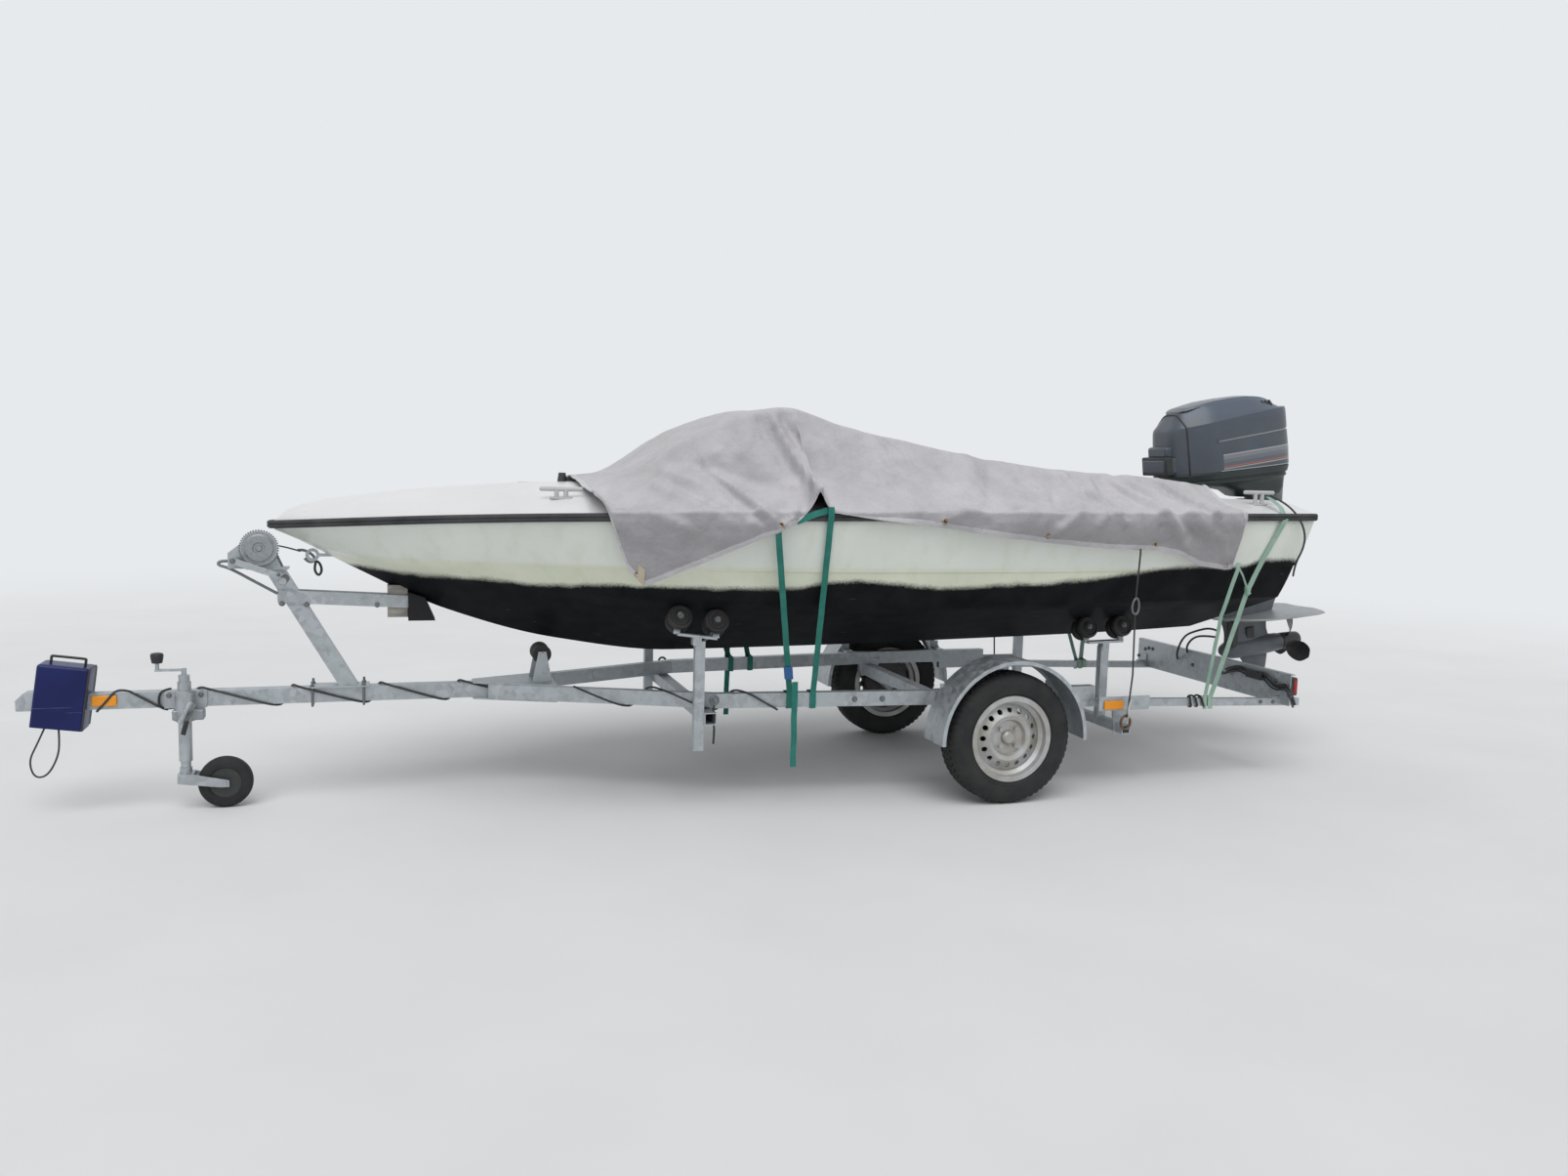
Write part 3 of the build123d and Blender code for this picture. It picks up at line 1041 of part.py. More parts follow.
# Winch post, winch and bow stop
POST_FOOT, POST_HEAD, POST_HEAD_Z, POST_SIZE, POST_HALF = -2590, -2860, 930, 72, 30
POST_BASE_LENGTH, POST_BASE_WIDTH, POST_BASE = 220, 90, 6
ARM_FORE, ARM_AFT, ARM_Z, ARM_HEIGHT, ARM_SHEET = -2885, -2395, 785, 50, 8
with BuildPart() as winch_post:
    with BuildSketch(side_plane(0)):
        foot_z = TONGUE_TOP + POST_BASE
        outline((at(POST_FOOT - POST_SIZE), foot_z), (at(POST_FOOT), foot_z),
                (at(POST_HEAD), POST_HEAD_Z), (at(POST_HEAD - POST_SIZE), POST_HEAD_Z))
    extrude(amount=POST_HALF, both=True)
    with BuildSketch(level(TONGUE_TOP)):
        with Locations((at(POST_FOOT - POST_SIZE / 2 - 30), 0)):
            Rectangle(POST_BASE_LENGTH, POST_BASE_WIDTH)
    extrude(amount=POST_BASE)
    for side in (PORT, STARBOARD):
        with BuildSketch(side_plane(side * (POST_HALF + ARM_SHEET / 2))):
            outline((at(ARM_FORE), ARM_Z + 14), (at(ARM_FORE), ARM_Z + 14 + ARM_HEIGHT),
                    (at(ARM_AFT), ARM_Z + ARM_HEIGHT - 12), (at(ARM_AFT), ARM_Z - 12))
        extrude(amount=ARM_SHEET / 2, both=True)
save(winch_post.part, "winch_post")

STEM_X, BLOCK_HALF = -2350, 60
with BuildPart() as hull_space:
    for s in STATIONS:
        with BuildSketch(across(s["x"])):
            hull_face(s, wall=-EASE)
    loft(ruled=True)

with BuildPart() as bow_block:
    with BuildSketch(side_plane(0)):
        outline((at(ARM_AFT), ARM_Z - 62), (at(ARM_AFT), ARM_Z + 52), (at(STEM_X + 20), ARM_Z + 30),
                (at(STEM_X + 60), ARM_Z - 62))
    extrude(amount=BLOCK_HALF, both=True)
    with BuildSketch(side_plane(0)):
        with Locations((at(ARM_AFT - 40), ARM_Z + ARM_HEIGHT / 2 - 10)):
            Rectangle(80, 130)
    extrude(amount=POST_HALF, both=True)
    add(hull_space.part, mode=Mode.SUBTRACT)
save(bow_block.part, "bow_block")

WINCH_X, WINCH_Z = -2975, 985
WINCH_HALF, WINCH_PLATE, WINCH_BASE = 45, 6, 6
DRUM_RADIUS, GEAR_RADIUS, GEAR_THICK, GEAR_OUT, CRANK_OUT = 36, 68, 10, 62, 98
CRANK_SHAFT, CRANK_ARM_SHEET, CRANK_ARM_WIDTH, HANDLE_RADIUS = 9, 8, 24, 14
DRUM_X, DRUM_Z, CRANK_X, CRANK_Z = WINCH_X + 28, WINCH_Z + 30, WINCH_X - 50, WINCH_Z - 20
HANDLE_X, HANDLE_Z, HANDLE_LENGTH = WINCH_X + 124, WINCH_Z - 84, 116
with BuildPart() as winch:
    for side in (PORT, STARBOARD):
        with BuildSketch(side_plane(side * WINCH_HALF)):
            outline((at(WINCH_X - 85), WINCH_Z - 50), (at(WINCH_X + 110), POST_HEAD_Z),
                    (at(WINCH_X + 60), WINCH_Z + 60), (at(WINCH_X - 20), WINCH_Z + 62),
                    (at(WINCH_X - 85), WINCH_Z + 10))
        extrude(amount=WINCH_PLATE / 2, both=True)
    with BuildSketch(level(POST_HEAD_Z)):
        with Locations((at(WINCH_X + 55), 0)):
            Rectangle(150, 2 * WINCH_HALF + WINCH_PLATE)
    extrude(amount=WINCH_BASE)
    add(rod([(at(DRUM_X), -GEAR_OUT, DRUM_Z), (at(DRUM_X), WINCH_HALF, DRUM_Z)], DRUM_RADIUS))
    add(rod([(at(DRUM_X), -GEAR_OUT, DRUM_Z), (at(DRUM_X), GEAR_THICK - GEAR_OUT, DRUM_Z)], GEAR_RADIUS))
    add(rod([(at(CRANK_X), -CRANK_OUT, CRANK_Z), (at(CRANK_X), WINCH_HALF, CRANK_Z)], CRANK_SHAFT))
    add(bar([(at(CRANK_X - 12), -CRANK_OUT, CRANK_Z + 4), (at(HANDLE_X + 8), -CRANK_OUT, HANDLE_Z - 2)],
            CRANK_ARM_SHEET, CRANK_ARM_WIDTH))
    grip_out = CRANK_OUT + HANDLE_LENGTH
    add(rod([(at(HANDLE_X), -CRANK_OUT, HANDLE_Z), (at(HANDLE_X), -grip_out, HANDLE_Z)], HANDLE_RADIUS))
save(winch.part, "winch")

WINCH_STRAP_WIDTH, WINCH_STRAP_THICK = 50, 4
with BuildPart() as winch_strap:
    drum_end = (at(DRUM_X + DRUM_RADIUS + 2), 0, DRUM_Z + 10)
    eye_end = (at(BOW_EYE_X - 2 * EYE_RING - EYE_ROD - 2 - EASE), 0, BOW_EYE_Z + 2)
    add(bar([drum_end, eye_end], WINCH_STRAP_WIDTH, WINCH_STRAP_THICK))
save(winch_strap.part, "winch_strap")

# Keel roller, turning on its pin between the neck's cheeks
with BuildPart() as keel_roller:
    with BuildSketch(Plane(origin=(at(ROLLER_X), 0, ROLLER_Z), x_dir=(0, 1, 0), z_dir=(1, 0, 0))):
        outline((-ROLLER_HALF, ROLLER_PIN + RUN), (-ROLLER_HALF, ROLLER_RADIUS), (0, ROLLER_RADIUS - 12),
                (ROLLER_HALF, ROLLER_RADIUS), (ROLLER_HALF, ROLLER_PIN + RUN))
    revolve(axis=Axis((at(ROLLER_X), 0, ROLLER_Z), (0, 1, 0)))
save(keel_roller.part, "keel_roller")

# Side supports: posts that carry a rocking arm with two pairs of rollers under the hull
ROCKER_ROLLER, ROCKER_WIDTH, ROCKER_GAP, ROCKER_PIN, ROCKER_ARM = 50, 34, 16, 9, 10
ROCKER_DROP = ROCKER_ROLLER + 16  # arm below the rollers' pins


def hull_under(x, y):
    """Height of the hull's bottom at a place inside the chine."""
    keel, chine_y, chine_z = along(x, "keel_z"), along(x, "chine_y"), along(x, "chine_z")
    return keel + (chine_z - keel) * abs(y) / chine_y


def roller_seat(x, y):
    """Middle, pin direction and downward direction of a roller pair that bears on the hull."""
    step = 10
    outward = Vector(0, step, hull_under(x, y + step) - hull_under(x, y)).normalized()
    aft = Vector(2 * step, 0, hull_under(x + step, y) - hull_under(x - step, y)).normalized()
    down = outward.cross(aft).normalized()
    middle = Vector(at(x), y, hull_under(x, y)) + down * (ROCKER_ROLLER + EASE)
    return middle, outward, down


def mirrored(part):
    """Both sides of a piece made on the starboard side."""
    return Part() + part + mirror(part, about=Plane.XZ)


def support(x, y, spread, foot_z, post_x):
    """A post with its rocking arm, and the four rollers on it, on the starboard side."""
    seats = [roller_seat(x + end * spread, y) for end in (-1, 1)]
    knees = [middle + down * ROCKER_DROP for middle, outward, down in seats]
    with BuildPart() as rollers:
        for middle, outward, down in seats:
            for end in (-1, 1):
                near = middle + outward * (end * ROCKER_GAP / 2)
                far = middle + outward * (end * (ROCKER_GAP / 2 + ROCKER_WIDTH))
                add(rod([near, far], ROCKER_ROLLER))
                add(rod([near, far], ROCKER_PIN + EASE), mode=Mode.SUBTRACT)
    with BuildPart() as post:
        half_pin = ROCKER_GAP / 2 + ROCKER_WIDTH + 6
        for (middle, outward, down), knee in zip(seats, knees):
            add(rod([middle - outward * half_pin, middle + outward * half_pin], ROCKER_PIN))
            add(bar([middle, knee], 26, 8))
        add(bar(knees, 40, ROCKER_ARM))
        mid = (knees[0] + knees[1]) / 2
        add(bar([(mid.X, mid.Y, mid.Z - 36), (mid.X, mid.Y, mid.Z)], 40, 34))
        add(bar([(at(post_x), mid.Y, foot_z), (at(post_x), mid.Y, mid.Z - 20)], 34, 40))
    return post.part, rollers.part


FRONT_POST_FOOT = 240
front_post_x = FRONT_BEAM_X - FRONT_BEAM_SIZE / 2 - 20
front_post, front_rollers = support(front_post_x, 445, 75, FRONT_POST_FOOT, front_post_x)
rear_post, rear_rollers = support(REAR_BEAM_X, 350, 90, REAR_BEAM_Z + REAR_BEAM_SIZE / 2, REAR_BEAM_X)
save(mirrored(front_post) + mirrored(rear_post), "roller_posts")
save(mirrored(front_rollers) + mirrored(rear_rollers), "hull_rollers")

# Lashing straps: flat strips pulled tight from the cover's hem and the stern cleats to the trailer
STRAP_WIDTH, STRAP_THICK, STRAP_TAB = 25, 4, 22
SIDE_STRAPS = [(-1070, -900), (-865, -800)]  # eyelet's place and the place on the side member
STERN_EYELET_X, STERN_FOOT_X = 1010, 1100
STRAP_EASE = 1.6  # room for a strip's edge beside the curved side
strap_out = EASE + STRAP_THICK / 2
rail_out = RAIL_WIDTH + STRAP_EASE + STRAP_THICK / 2
cover_out = rail_out + COVER_GAP + COVER_THICK


def strip(start, end):
    """Flat strip between two places, its width fore and aft."""
    start, end = Vector(*start), Vector(*end)
    run = end - start
    face = run.cross(Vector(1, 0, 0)).normalized()
    with BuildPart() as piece:
        with BuildSketch(Plane(origin=start, x_dir=face.cross(run).normalized(), z_dir=run.normalized())):
            Rectangle(STRAP_WIDTH, STRAP_THICK)
        extrude(amount=run.length)
    return piece.part


def strap_loop(x, side, outer_y, width, foot_z, head_z, slope=0.0):
    """A strap's turn round a rail whose outer face is at outer_y, square to the rail."""
    lean = Vector(1, side * slope, 0).normalized()
    middle = Vector(at(x), side * (outer_y - width / 2), (foot_z + head_z) / 2) - lean * (STRAP_WIDTH / 2)
    with BuildPart() as piece:
        with BuildSketch(Plane(origin=middle, x_dir=Vector(0, 0, 1).cross(lean), z_dir=lean)):
            Rectangle(width + 2 * (EASE + STRAP_THICK), head_z - foot_z + 2 * (EASE + STRAP_THICK))
            Rectangle(width + 2 * EASE, head_z - foot_z + 2 * EASE, mode=Mode.SUBTRACT)
        extrude(amount=STRAP_WIDTH)
    return piece.part


def hem_z(x):
    """Height of the cover's hem at a place."""
    for aft, fore in zip(COVER_STATIONS, COVER_STATIONS[1:]):
        if fore["x"] <= x <= aft["x"]:
            return fore["hem_z"] + (aft["hem_z"] - fore["hem_z"]) * (x - fore["x"]) / (aft["x"] - fore["x"])
    raise ValueError(f"no cover at {x}")


(bend_x, bend_y), (axle_x, axle_y) = MEMBER_PLAN[1], MEMBER_PLAN[2]
member_slope = (axle_y - bend_y) / (axle_x - bend_x)
with BuildPart() as straps:
    for side in (PORT, STARBOARD):
        for eyelet_x, foot_x in SIDE_STRAPS:
            outer_y = bend_y + member_slope * (foot_x - bend_x)
            eyelet_y = side * (along(eyelet_x, "sheer_y") + cover_out)
            knee = (at(eyelet_x), eyelet_y, hem_z(eyelet_x) - STRAP_TAB)
            add(strip((at(eyelet_x), eyelet_y, hem_z(eyelet_x) + STRAP_TAB), knee))
            add(strip(knee, (at(foot_x), side * (outer_y + strap_out), TONGUE_TOP)))
            add(strap_loop(foot_x, side, outer_y, MEMBER_WIDTH, member_z, TONGUE_TOP, member_slope))
        rail_z = rear_rail_z(STERN_FOOT_X)
        outer_y = REAR_RAIL_Y + REAR_RAIL_WIDTH / 2
        foot = (at(STERN_FOOT_X), side * (outer_y + strap_out), rail_z + REAR_RAIL_DEPTH / 2 + STRAP_THICK)
        eyelet_y = side * (along(STERN_EYELET_X, "sheer_y") + cover_out)
        knee = (at(STERN_EYELET_X), eyelet_y, hem_z(STERN_EYELET_X) - STRAP_TAB)
        add(strip((at(STERN_EYELET_X), eyelet_y, hem_z(STERN_EYELET_X) + STRAP_TAB), knee))
        add(strip(knee, foot))
        rail_y = side * (along(STERN_CLEAT_X, "sheer_y") + rail_out)
        over_rail = along(STERN_CLEAT_X, "sheer_z") + RAIL_RISE + 2 * STRAP_THICK
        under_rail = along(STERN_CLEAT_X, "sheer_z") - RAIL_DROP - 2 * STRAP_THICK
        cleat_y = side * (STERN_CLEAT_Y + CLEAT_WIDTH / 2 + 1)
        cleat_z = deck_top(STERN_CLEAT_X, STERN_CLEAT_Y) + CLEAT_FOOT - 2
        route = [(at(STERN_CLEAT_X), cleat_y, cleat_z), (at(STERN_CLEAT_X), rail_y, over_rail),
                 (at(STERN_CLEAT_X), rail_y, under_rail), foot]
        for start, end in zip(route, route[1:]):
            add(strip(start, end))
        add(strap_loop(STERN_FOOT_X, side, outer_y, REAR_RAIL_WIDTH, rail_z - REAR_RAIL_DEPTH / 2 - 1,
                       rail_z + REAR_RAIL_DEPTH / 2 + 1))
save(straps.part, "straps")
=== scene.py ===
# %% [markdown]
# # A small speedboat on its road trailer
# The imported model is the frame. Every piece made here lies where the frame says, rides on one of
# its bodies, and is in metres with X aft, Y to starboard and Z up from the ground.

# %% Load the frame
from math import atan2, cos, hypot, pi, radians, sin, sqrt, tan

import bmesh
import bpy
import numpy as np
from mathutils import Matrix, Vector, noise


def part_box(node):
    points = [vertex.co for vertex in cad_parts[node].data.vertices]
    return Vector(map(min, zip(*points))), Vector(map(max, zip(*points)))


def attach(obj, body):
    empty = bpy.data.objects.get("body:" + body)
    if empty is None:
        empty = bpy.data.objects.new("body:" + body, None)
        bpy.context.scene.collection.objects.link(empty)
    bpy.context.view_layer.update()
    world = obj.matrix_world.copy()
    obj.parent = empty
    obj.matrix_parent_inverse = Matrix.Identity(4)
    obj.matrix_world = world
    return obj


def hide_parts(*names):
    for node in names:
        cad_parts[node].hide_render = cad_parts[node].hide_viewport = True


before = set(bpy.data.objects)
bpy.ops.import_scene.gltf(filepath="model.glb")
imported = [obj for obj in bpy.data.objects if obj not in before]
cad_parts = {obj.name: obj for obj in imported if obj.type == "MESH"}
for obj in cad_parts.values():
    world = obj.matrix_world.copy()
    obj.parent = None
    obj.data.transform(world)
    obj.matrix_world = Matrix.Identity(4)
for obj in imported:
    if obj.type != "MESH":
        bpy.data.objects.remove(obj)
scene = bpy.context.scene
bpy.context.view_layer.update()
rim_low, rim_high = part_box("rim_port")
axle_x = (rim_low.x + rim_high.x) / 2

# %% [markdown]
# The camera comes first, because every later look depends on it. The photograph was taken from
# the port bow at head height, with the camera a little rolled. Its place and turn were worked out
# from points on the wheels, coupling and keel, so they are written down as plain numbers here.

# %% Camera
PHOTO_WIDTH, FOCAL = 1606, 1230.35
YAW, PITCH, ROLL = radians(18.172), radians(5.852), radians(1.545)
ahead = Vector((sin(YAW) * cos(PITCH), cos(YAW) * cos(PITCH), -sin(PITCH)))
level_right = Vector((cos(YAW), -sin(YAW), 0))
level_up = level_right.cross(ahead)
right = level_right * cos(ROLL) + level_up * sin(ROLL)
upward = level_up * cos(ROLL) - level_right * sin(ROLL)

camera = bpy.data.objects.new("camera", bpy.data.cameras.new("camera"))
scene.collection.objects.link(camera)
camera.data.sensor_width = 36
camera.data.lens = 36 * FOCAL / PHOTO_WIDTH
camera.matrix_world = Matrix.Translation((axle_x - 2.4573, -5.1086, 1.3913)) @ Matrix(
    (right, upward, -ahead)).transposed().to_4x4()
scene.camera = camera
print("lens", round(camera.data.lens, 2), "mm")

# %% [markdown]
# Materials are small node trees. One short helper adds a node, gives its sockets plain values or
# links, and hands the node back, so that each finish below reads as a list of what it is made of.

# %% Node helpers
def node(tree, kind, inputs=None, **settings):
    """Add a node, with its settings and its sockets' values or links."""
    made = tree.nodes.new(kind)
    for name, value in settings.items():
        setattr(made, name, value)
    for name, value in (inputs or {}).items():
        if isinstance(value, bpy.types.NodeSocket):
            tree.links.new(value, made.inputs[name])
        else:
            made.inputs[name].default_value = value
    return made


def sums(tree, operation, *values):
    """One step of arithmetic."""
    return node(tree, "ShaderNodeMath", dict(enumerate(values)), operation=operation).outputs[0]


def place(tree, scale=(1, 1, 1)):
    """Where a point is on its object, stretched by the scale."""
    spot = node(tree, "ShaderNodeTexCoord").outputs["Object"]
    return node(tree, "ShaderNodeMapping", {"Vector": spot, "Scale": scale}).outputs[0]


def clouds(tree, scale, detail=3, stretch=(1, 1, 1), rough=0.55):
    """Soft noise on the object's own coordinates, from 0 to 1."""
    return node(tree, "ShaderNodeTexNoise", {
        "Vector": place(tree, stretch), "Scale": scale, "Detail": detail, "Roughness": rough}).outputs["Fac"]


def cells(tree, scale, stretch=(1, 1, 1), feature="F1"):
    """Crystal-like cells."""
    return node(tree, "ShaderNodeTexVoronoi", {"Vector": place(tree, stretch), "Scale": scale},
                feature=feature)


def ramp(tree, value, *stops):
    """Turn a value into a colour or a grey, through stops of place and colour."""
    made = node(tree, "ShaderNodeValToRGB", {"Fac": value})
    while len(made.color_ramp.elements) < len(stops):
        made.color_ramp.elements.new(0.5)
    for element, (spot, tone) in zip(made.color_ramp.elements, stops):
        element.position = spot
        element.color = (*tone, 1) if isinstance(tone, tuple) else (tone, tone, tone, 1)
    return made.outputs["Color"]


def blend(tree, share, first, second, mode="MIX"):
    """Mix two colours."""
    colours = [(*c, 1) if isinstance(c, tuple) else c for c in (first, second)]
    made = node(tree, "ShaderNodeMix", {0: share, 6: colours[0], 7: colours[1]}, data_type="RGBA",
                blend_type=mode)
    return made.outputs[2]


def relief(tree, shader, height, depth, strength=1.0, under=None):
    """Bump of a real depth in metres, on top of another one if there is one."""
    made = node(tree, "ShaderNodeBump", {"Height": height, "Distance": depth, "Strength": strength})
    if under:
        tree.links.new(under.outputs[0], made.inputs["Normal"])
    tree.links.new(made.outputs[0], shader.inputs["Normal"])
    return made


def finish(name, **sockets):
    """A new material and its shader, with plain numbers on the shader's own sockets."""
    material = bpy.data.materials.new(name)
    material.use_nodes = True
    shader = material.node_tree.nodes["Principled BSDF"]
    for socket, value in sockets.items():
        value = (*value, 1) if isinstance(value, tuple) else value
        shader.inputs[socket.replace("_", " ")].default_value = value
    return material, material.node_tree, shader


def colour(tree, shader, value, socket="Base Color"):
    """Feed one of the shader's sockets."""
    tree.links.new(value, shader.inputs[socket])


def mapped(tree, value, low=0.0, high=1.0, first=0.0, last=1.0, **settings):
    """Stretch a value that goes from low to high, so that it goes from first to last."""
    return node(tree, "ShaderNodeMapRange", {
        "Value": value, "From Min": low, "From Max": high, "To Min": first, "To Max": last},
        **settings).outputs[0]


def axes(tree, source="ShaderNodeTexCoord", output="Object"):
    """The X, Y and Z of a point, or of another vector that a node gives."""
    return node(tree, "ShaderNodeSeparateXYZ", {0: node(tree, source).outputs[output]}).outputs


# %% [markdown]
# The world and the lamp stay at a plain level: a pale sky from all sides and one wide, soft sun
# from over the camera's left shoulder, as on the overcast day of the photograph. The floor fades
# into the background with distance, so that no horizon shows behind the boat.

# %% World, sun and floor
BACKDROP = (0.80, 0.82, 0.84)


def seen_directly(tree):
    """1 for what the camera, a reflection or glass sees, 0 for light that falls on things."""
    path = node(tree, "ShaderNodeLightPath")
    seen = sums(tree, "MAXIMUM", path.outputs["Is Camera Ray"], path.outputs["Is Glossy Ray"])
    return sums(tree, "MAXIMUM", seen, path.outputs["Is Transmission Ray"])


SKY_LEVEL, SUN_LEVEL = 0.60, 1.5
world = bpy.data.worlds.new("overcast")
world.use_nodes = True
scene.world = world
sky = world.node_tree.nodes["Background"]
sky.inputs["Color"].default_value = (*BACKDROP, 1)
world.node_tree.links.new(mapped(world.node_tree, seen_directly(world.node_tree), first=SKY_LEVEL),
                          sky.inputs["Strength"])

sun = bpy.data.objects.new("sun", bpy.data.lights.new("sun", "SUN"))
sun.data.energy = SUN_LEVEL
sun.data.angle = radians(50)
sun.rotation_euler = Vector((0.25, 0.55, -1.0)).to_track_quat("-Z", "Y").to_euler()
scene.collection.objects.link(sun)

FLOOR_HALF, FADE_FROM, FADE_TO = 60, 4.5, 12
ground_material, tree, shader = finish("pale floor", Roughness=0.9)
colour(tree, shader, ramp(tree, clouds(tree, 1.2), (0.3, (0.76, 0.765, 0.77)), (0.7, (0.80, 0.80, 0.80))))
spot = node(tree, "ShaderNodeTexCoord").outputs["Object"]
far = node(tree, "ShaderNodeVectorMath", {0: spot}, operation="LENGTH").outputs["Value"]
fade = mapped(tree, far, FADE_FROM, FADE_TO, interpolation_type="SMOOTHSTEP")
glow = node(tree, "ShaderNodeEmission", {"Color": (*BACKDROP, 1)})
tree.links.new(mapped(tree, seen_directly(tree), first=SKY_LEVEL), glow.inputs["Strength"])
mixed = node(tree, "ShaderNodeMixShader", {0: fade, 1: shader.outputs[0], 2: glow.outputs[0]})
tree.links.new(mixed.outputs[0], tree.nodes["Material Output"].inputs["Surface"])

mesh = bpy.data.meshes.new("floor")
corners = [(x * FLOOR_HALF, y * FLOOR_HALF, 0) for x, y in ((-1, -1), (1, -1), (1, 1), (-1, 1))]
mesh.from_pydata(corners, [], [(0, 1, 2, 3)])
mesh.materials.append(ground_material)
floor = bpy.data.objects.new("floor", mesh)
scene.collection.objects.link(floor)

scene.view_settings.view_transform = "Standard"
print("floor fades out between", FADE_FROM, "and", FADE_TO, "m")

# %% [markdown]
# The boat's shell is gelcoat. On the real hull it is white above a knuckle that runs along the
# side, aged to a greenish cream below it, and brushed matt black under a waterline that somebody
# sprayed by hand. The paint's edge is a curve of height over length, with a little noise for the
# wandering hand and a finer noise for the overspray.

# %% Hull gelcoat and black bottom paint
KNUCKLE_Z = 0.985
PAINT_EDGE = [(-2.90, 0.99), (-2.47, 0.931), (-2.1, 0.910), (-1.4, 0.906), (-1.05, 0.903), (-0.70, 0.936),
              (-0.41, 0.914), (0.17, 0.927), (0.54, 0.968), (0.9, 0.996), (1.17, 0.998), (1.28, 1.022),
              (1.45, 1.014)]
EDGE_FROM, EDGE_TO = 0.85, 1.05
ALONG_FROM, ALONG_TO = -3, 1.6
WANDER, OVERSPRAY = 0.045, 0.024

hull_finish, tree, shader = finish("hull gelcoat", Roughness=0.32, Coat_Weight=0.25, Coat_Roughness=0.25)
parts = axes(tree)
length = mapped(tree, parts["X"], axle_x + ALONG_FROM, axle_x + ALONG_TO)
edge = node(tree, "ShaderNodeFloatCurve", {"Value": length})
curve = edge.mapping.curves[0]
for x, z in PAINT_EDGE:
    spot = ((x - ALONG_FROM) / (ALONG_TO - ALONG_FROM), (z - EDGE_FROM) / (EDGE_TO - EDGE_FROM))
    if x in (PAINT_EDGE[0][0], PAINT_EDGE[-1][0]):
        curve.points[0 if x < 0 else -1].location = spot
    else:
        curve.points.new(*spot)
edge.mapping.update()
edge_height = mapped(tree, edge.outputs[0], first=EDGE_FROM, last=EDGE_TO)
above = sums(tree, "SUBTRACT", parts["Z"], edge_height)
wander = sums(tree, "MULTIPLY", sums(tree, "SUBTRACT", clouds(tree, 5, 3), 0.5), WANDER)
spray = sums(tree, "MULTIPLY", sums(tree, "SUBTRACT", clouds(tree, 160, 2), 0.5), OVERSPRAY)
above = sums(tree, "ADD", above, sums(tree, "ADD", wander, spray))
painted = mapped(tree, above, 0.016, -0.014, interpolation_type="SMOOTHSTEP")

below_knuckle = mapped(tree, parts["Z"], KNUCKLE_Z + 0.012, KNUCKLE_Z - 0.004)
white = ramp(tree, clouds(tree, 2.5, 5), (0.3, (0.76, 0.80, 0.735)), (0.7, (0.86, 0.89, 0.83)))
cream = ramp(tree, clouds(tree, 3, 5), (0.3, (0.70, 0.74, 0.58)), (0.7, (0.82, 0.85, 0.70)))
topsides = blend(tree, below_knuckle, white, cream)
runs = ramp(tree, clouds(tree, 6, 4, (3, 3, 0.35)), (0.52, 1.0), (0.75, (0.93, 0.93, 0.88)))
topsides = blend(tree, 1.0, topsides, runs, "MULTIPLY")
black = ramp(tree, clouds(tree, 9, 6), (0.3, (0.003, 0.004, 0.006)), (0.75, (0.012, 0.013, 0.015)))
scrapes = ramp(tree, clouds(tree, 26, 5, (0.35, 1, 3.2)), (0.70, 0.0), (0.78, 1.0))
black = blend(tree, sums(tree, "MULTIPLY", scrapes, 0.55), black, (0.16, 0.155, 0.15))
colour(tree, shader, blend(tree, painted, topsides, black))
for socket, bare, coated in (("Roughness", 0.30, 0.85), ("Coat Weight", 0.25, 0.08),
                             ("Specular IOR Level", 0.5, 0.08)):
    colour(tree, shader, mapped(tree, painted, first=bare, last=coated), socket)
relief(tree, shader, sums(tree, "MULTIPLY", clouds(tree, 220, 3), painted), 0.0006, 0.6,
       under=relief(tree, shader, clouds(tree, 4, 2), 0.002, 0.35))

deck_finish, tree, shader = finish("deck gelcoat", Roughness=0.35, Coat_Weight=0.2, Coat_Roughness=0.3)
shade = ramp(tree, clouds(tree, 2.2, 6), (0.3, (0.74, 0.74, 0.745)), (0.7, (0.82, 0.815, 0.815)))
specks = ramp(tree, clouds(tree, 60, 3), (0.66, 0.0), (0.74, 0.35))
colour(tree, shader, blend(tree, specks, shade, (0.42, 0.40, 0.35)))
relief(tree, shader, clouds(tree, 5, 2), 0.002, 0.35)

# %% [markdown]
# The trailer is hot-dip galvanised steel. Zinc freezes into flat crystals a few millimetres to a
# few centimetres across, so cells give each patch its own grey and roughness, and a cloudy layer
# over them stands for the dull white bloom of old zinc. Rust shows only in small brown blots.

# %% Galvanised steel
def zinc(name, tone=0.40, rust=0.0, scale=42):
    """Old galvanised steel, with some rust."""
    material, tree, shader = finish(name, Metallic=0.75, Roughness=0.5)
    crystals = cells(tree, scale)
    spangle = ramp(tree, crystals.outputs["Color"], (0.1, tone * 0.82), (0.9, tone * 1.22))
    bloom = ramp(tree, clouds(tree, 7, 6), (0.38, 0.0), (0.66, 0.75))
    shade = blend(tree, bloom, spangle, (tone * 1.05, tone * 1.08, tone * 1.07))
    grime = ramp(tree, clouds(tree, 14, 7, rough=0.7), (0.55, 0.0), (0.75, 0.7))
    shade = blend(tree, grime, shade, (tone * 0.45, tone * 0.43, tone * 0.38))
    if rust:
        blots = ramp(tree, clouds(tree, 22, 8, rough=0.72), (0.70 - rust, 0.0), (0.78 - rust, 0.9))
        shade = blend(tree, blots, shade, (0.17, 0.075, 0.03))
    colour(tree, shader, blend(tree, 1.0, shade, (0.94, 1.0, 1.05), "MULTIPLY"))
    colour(tree, shader, ramp(tree, crystals.outputs["Color"], (0.1, 0.42), (0.9, 0.60)), "Roughness")
    relief(tree, shader, clouds(tree, 90, 4), 0.0006, 0.5)
    return material


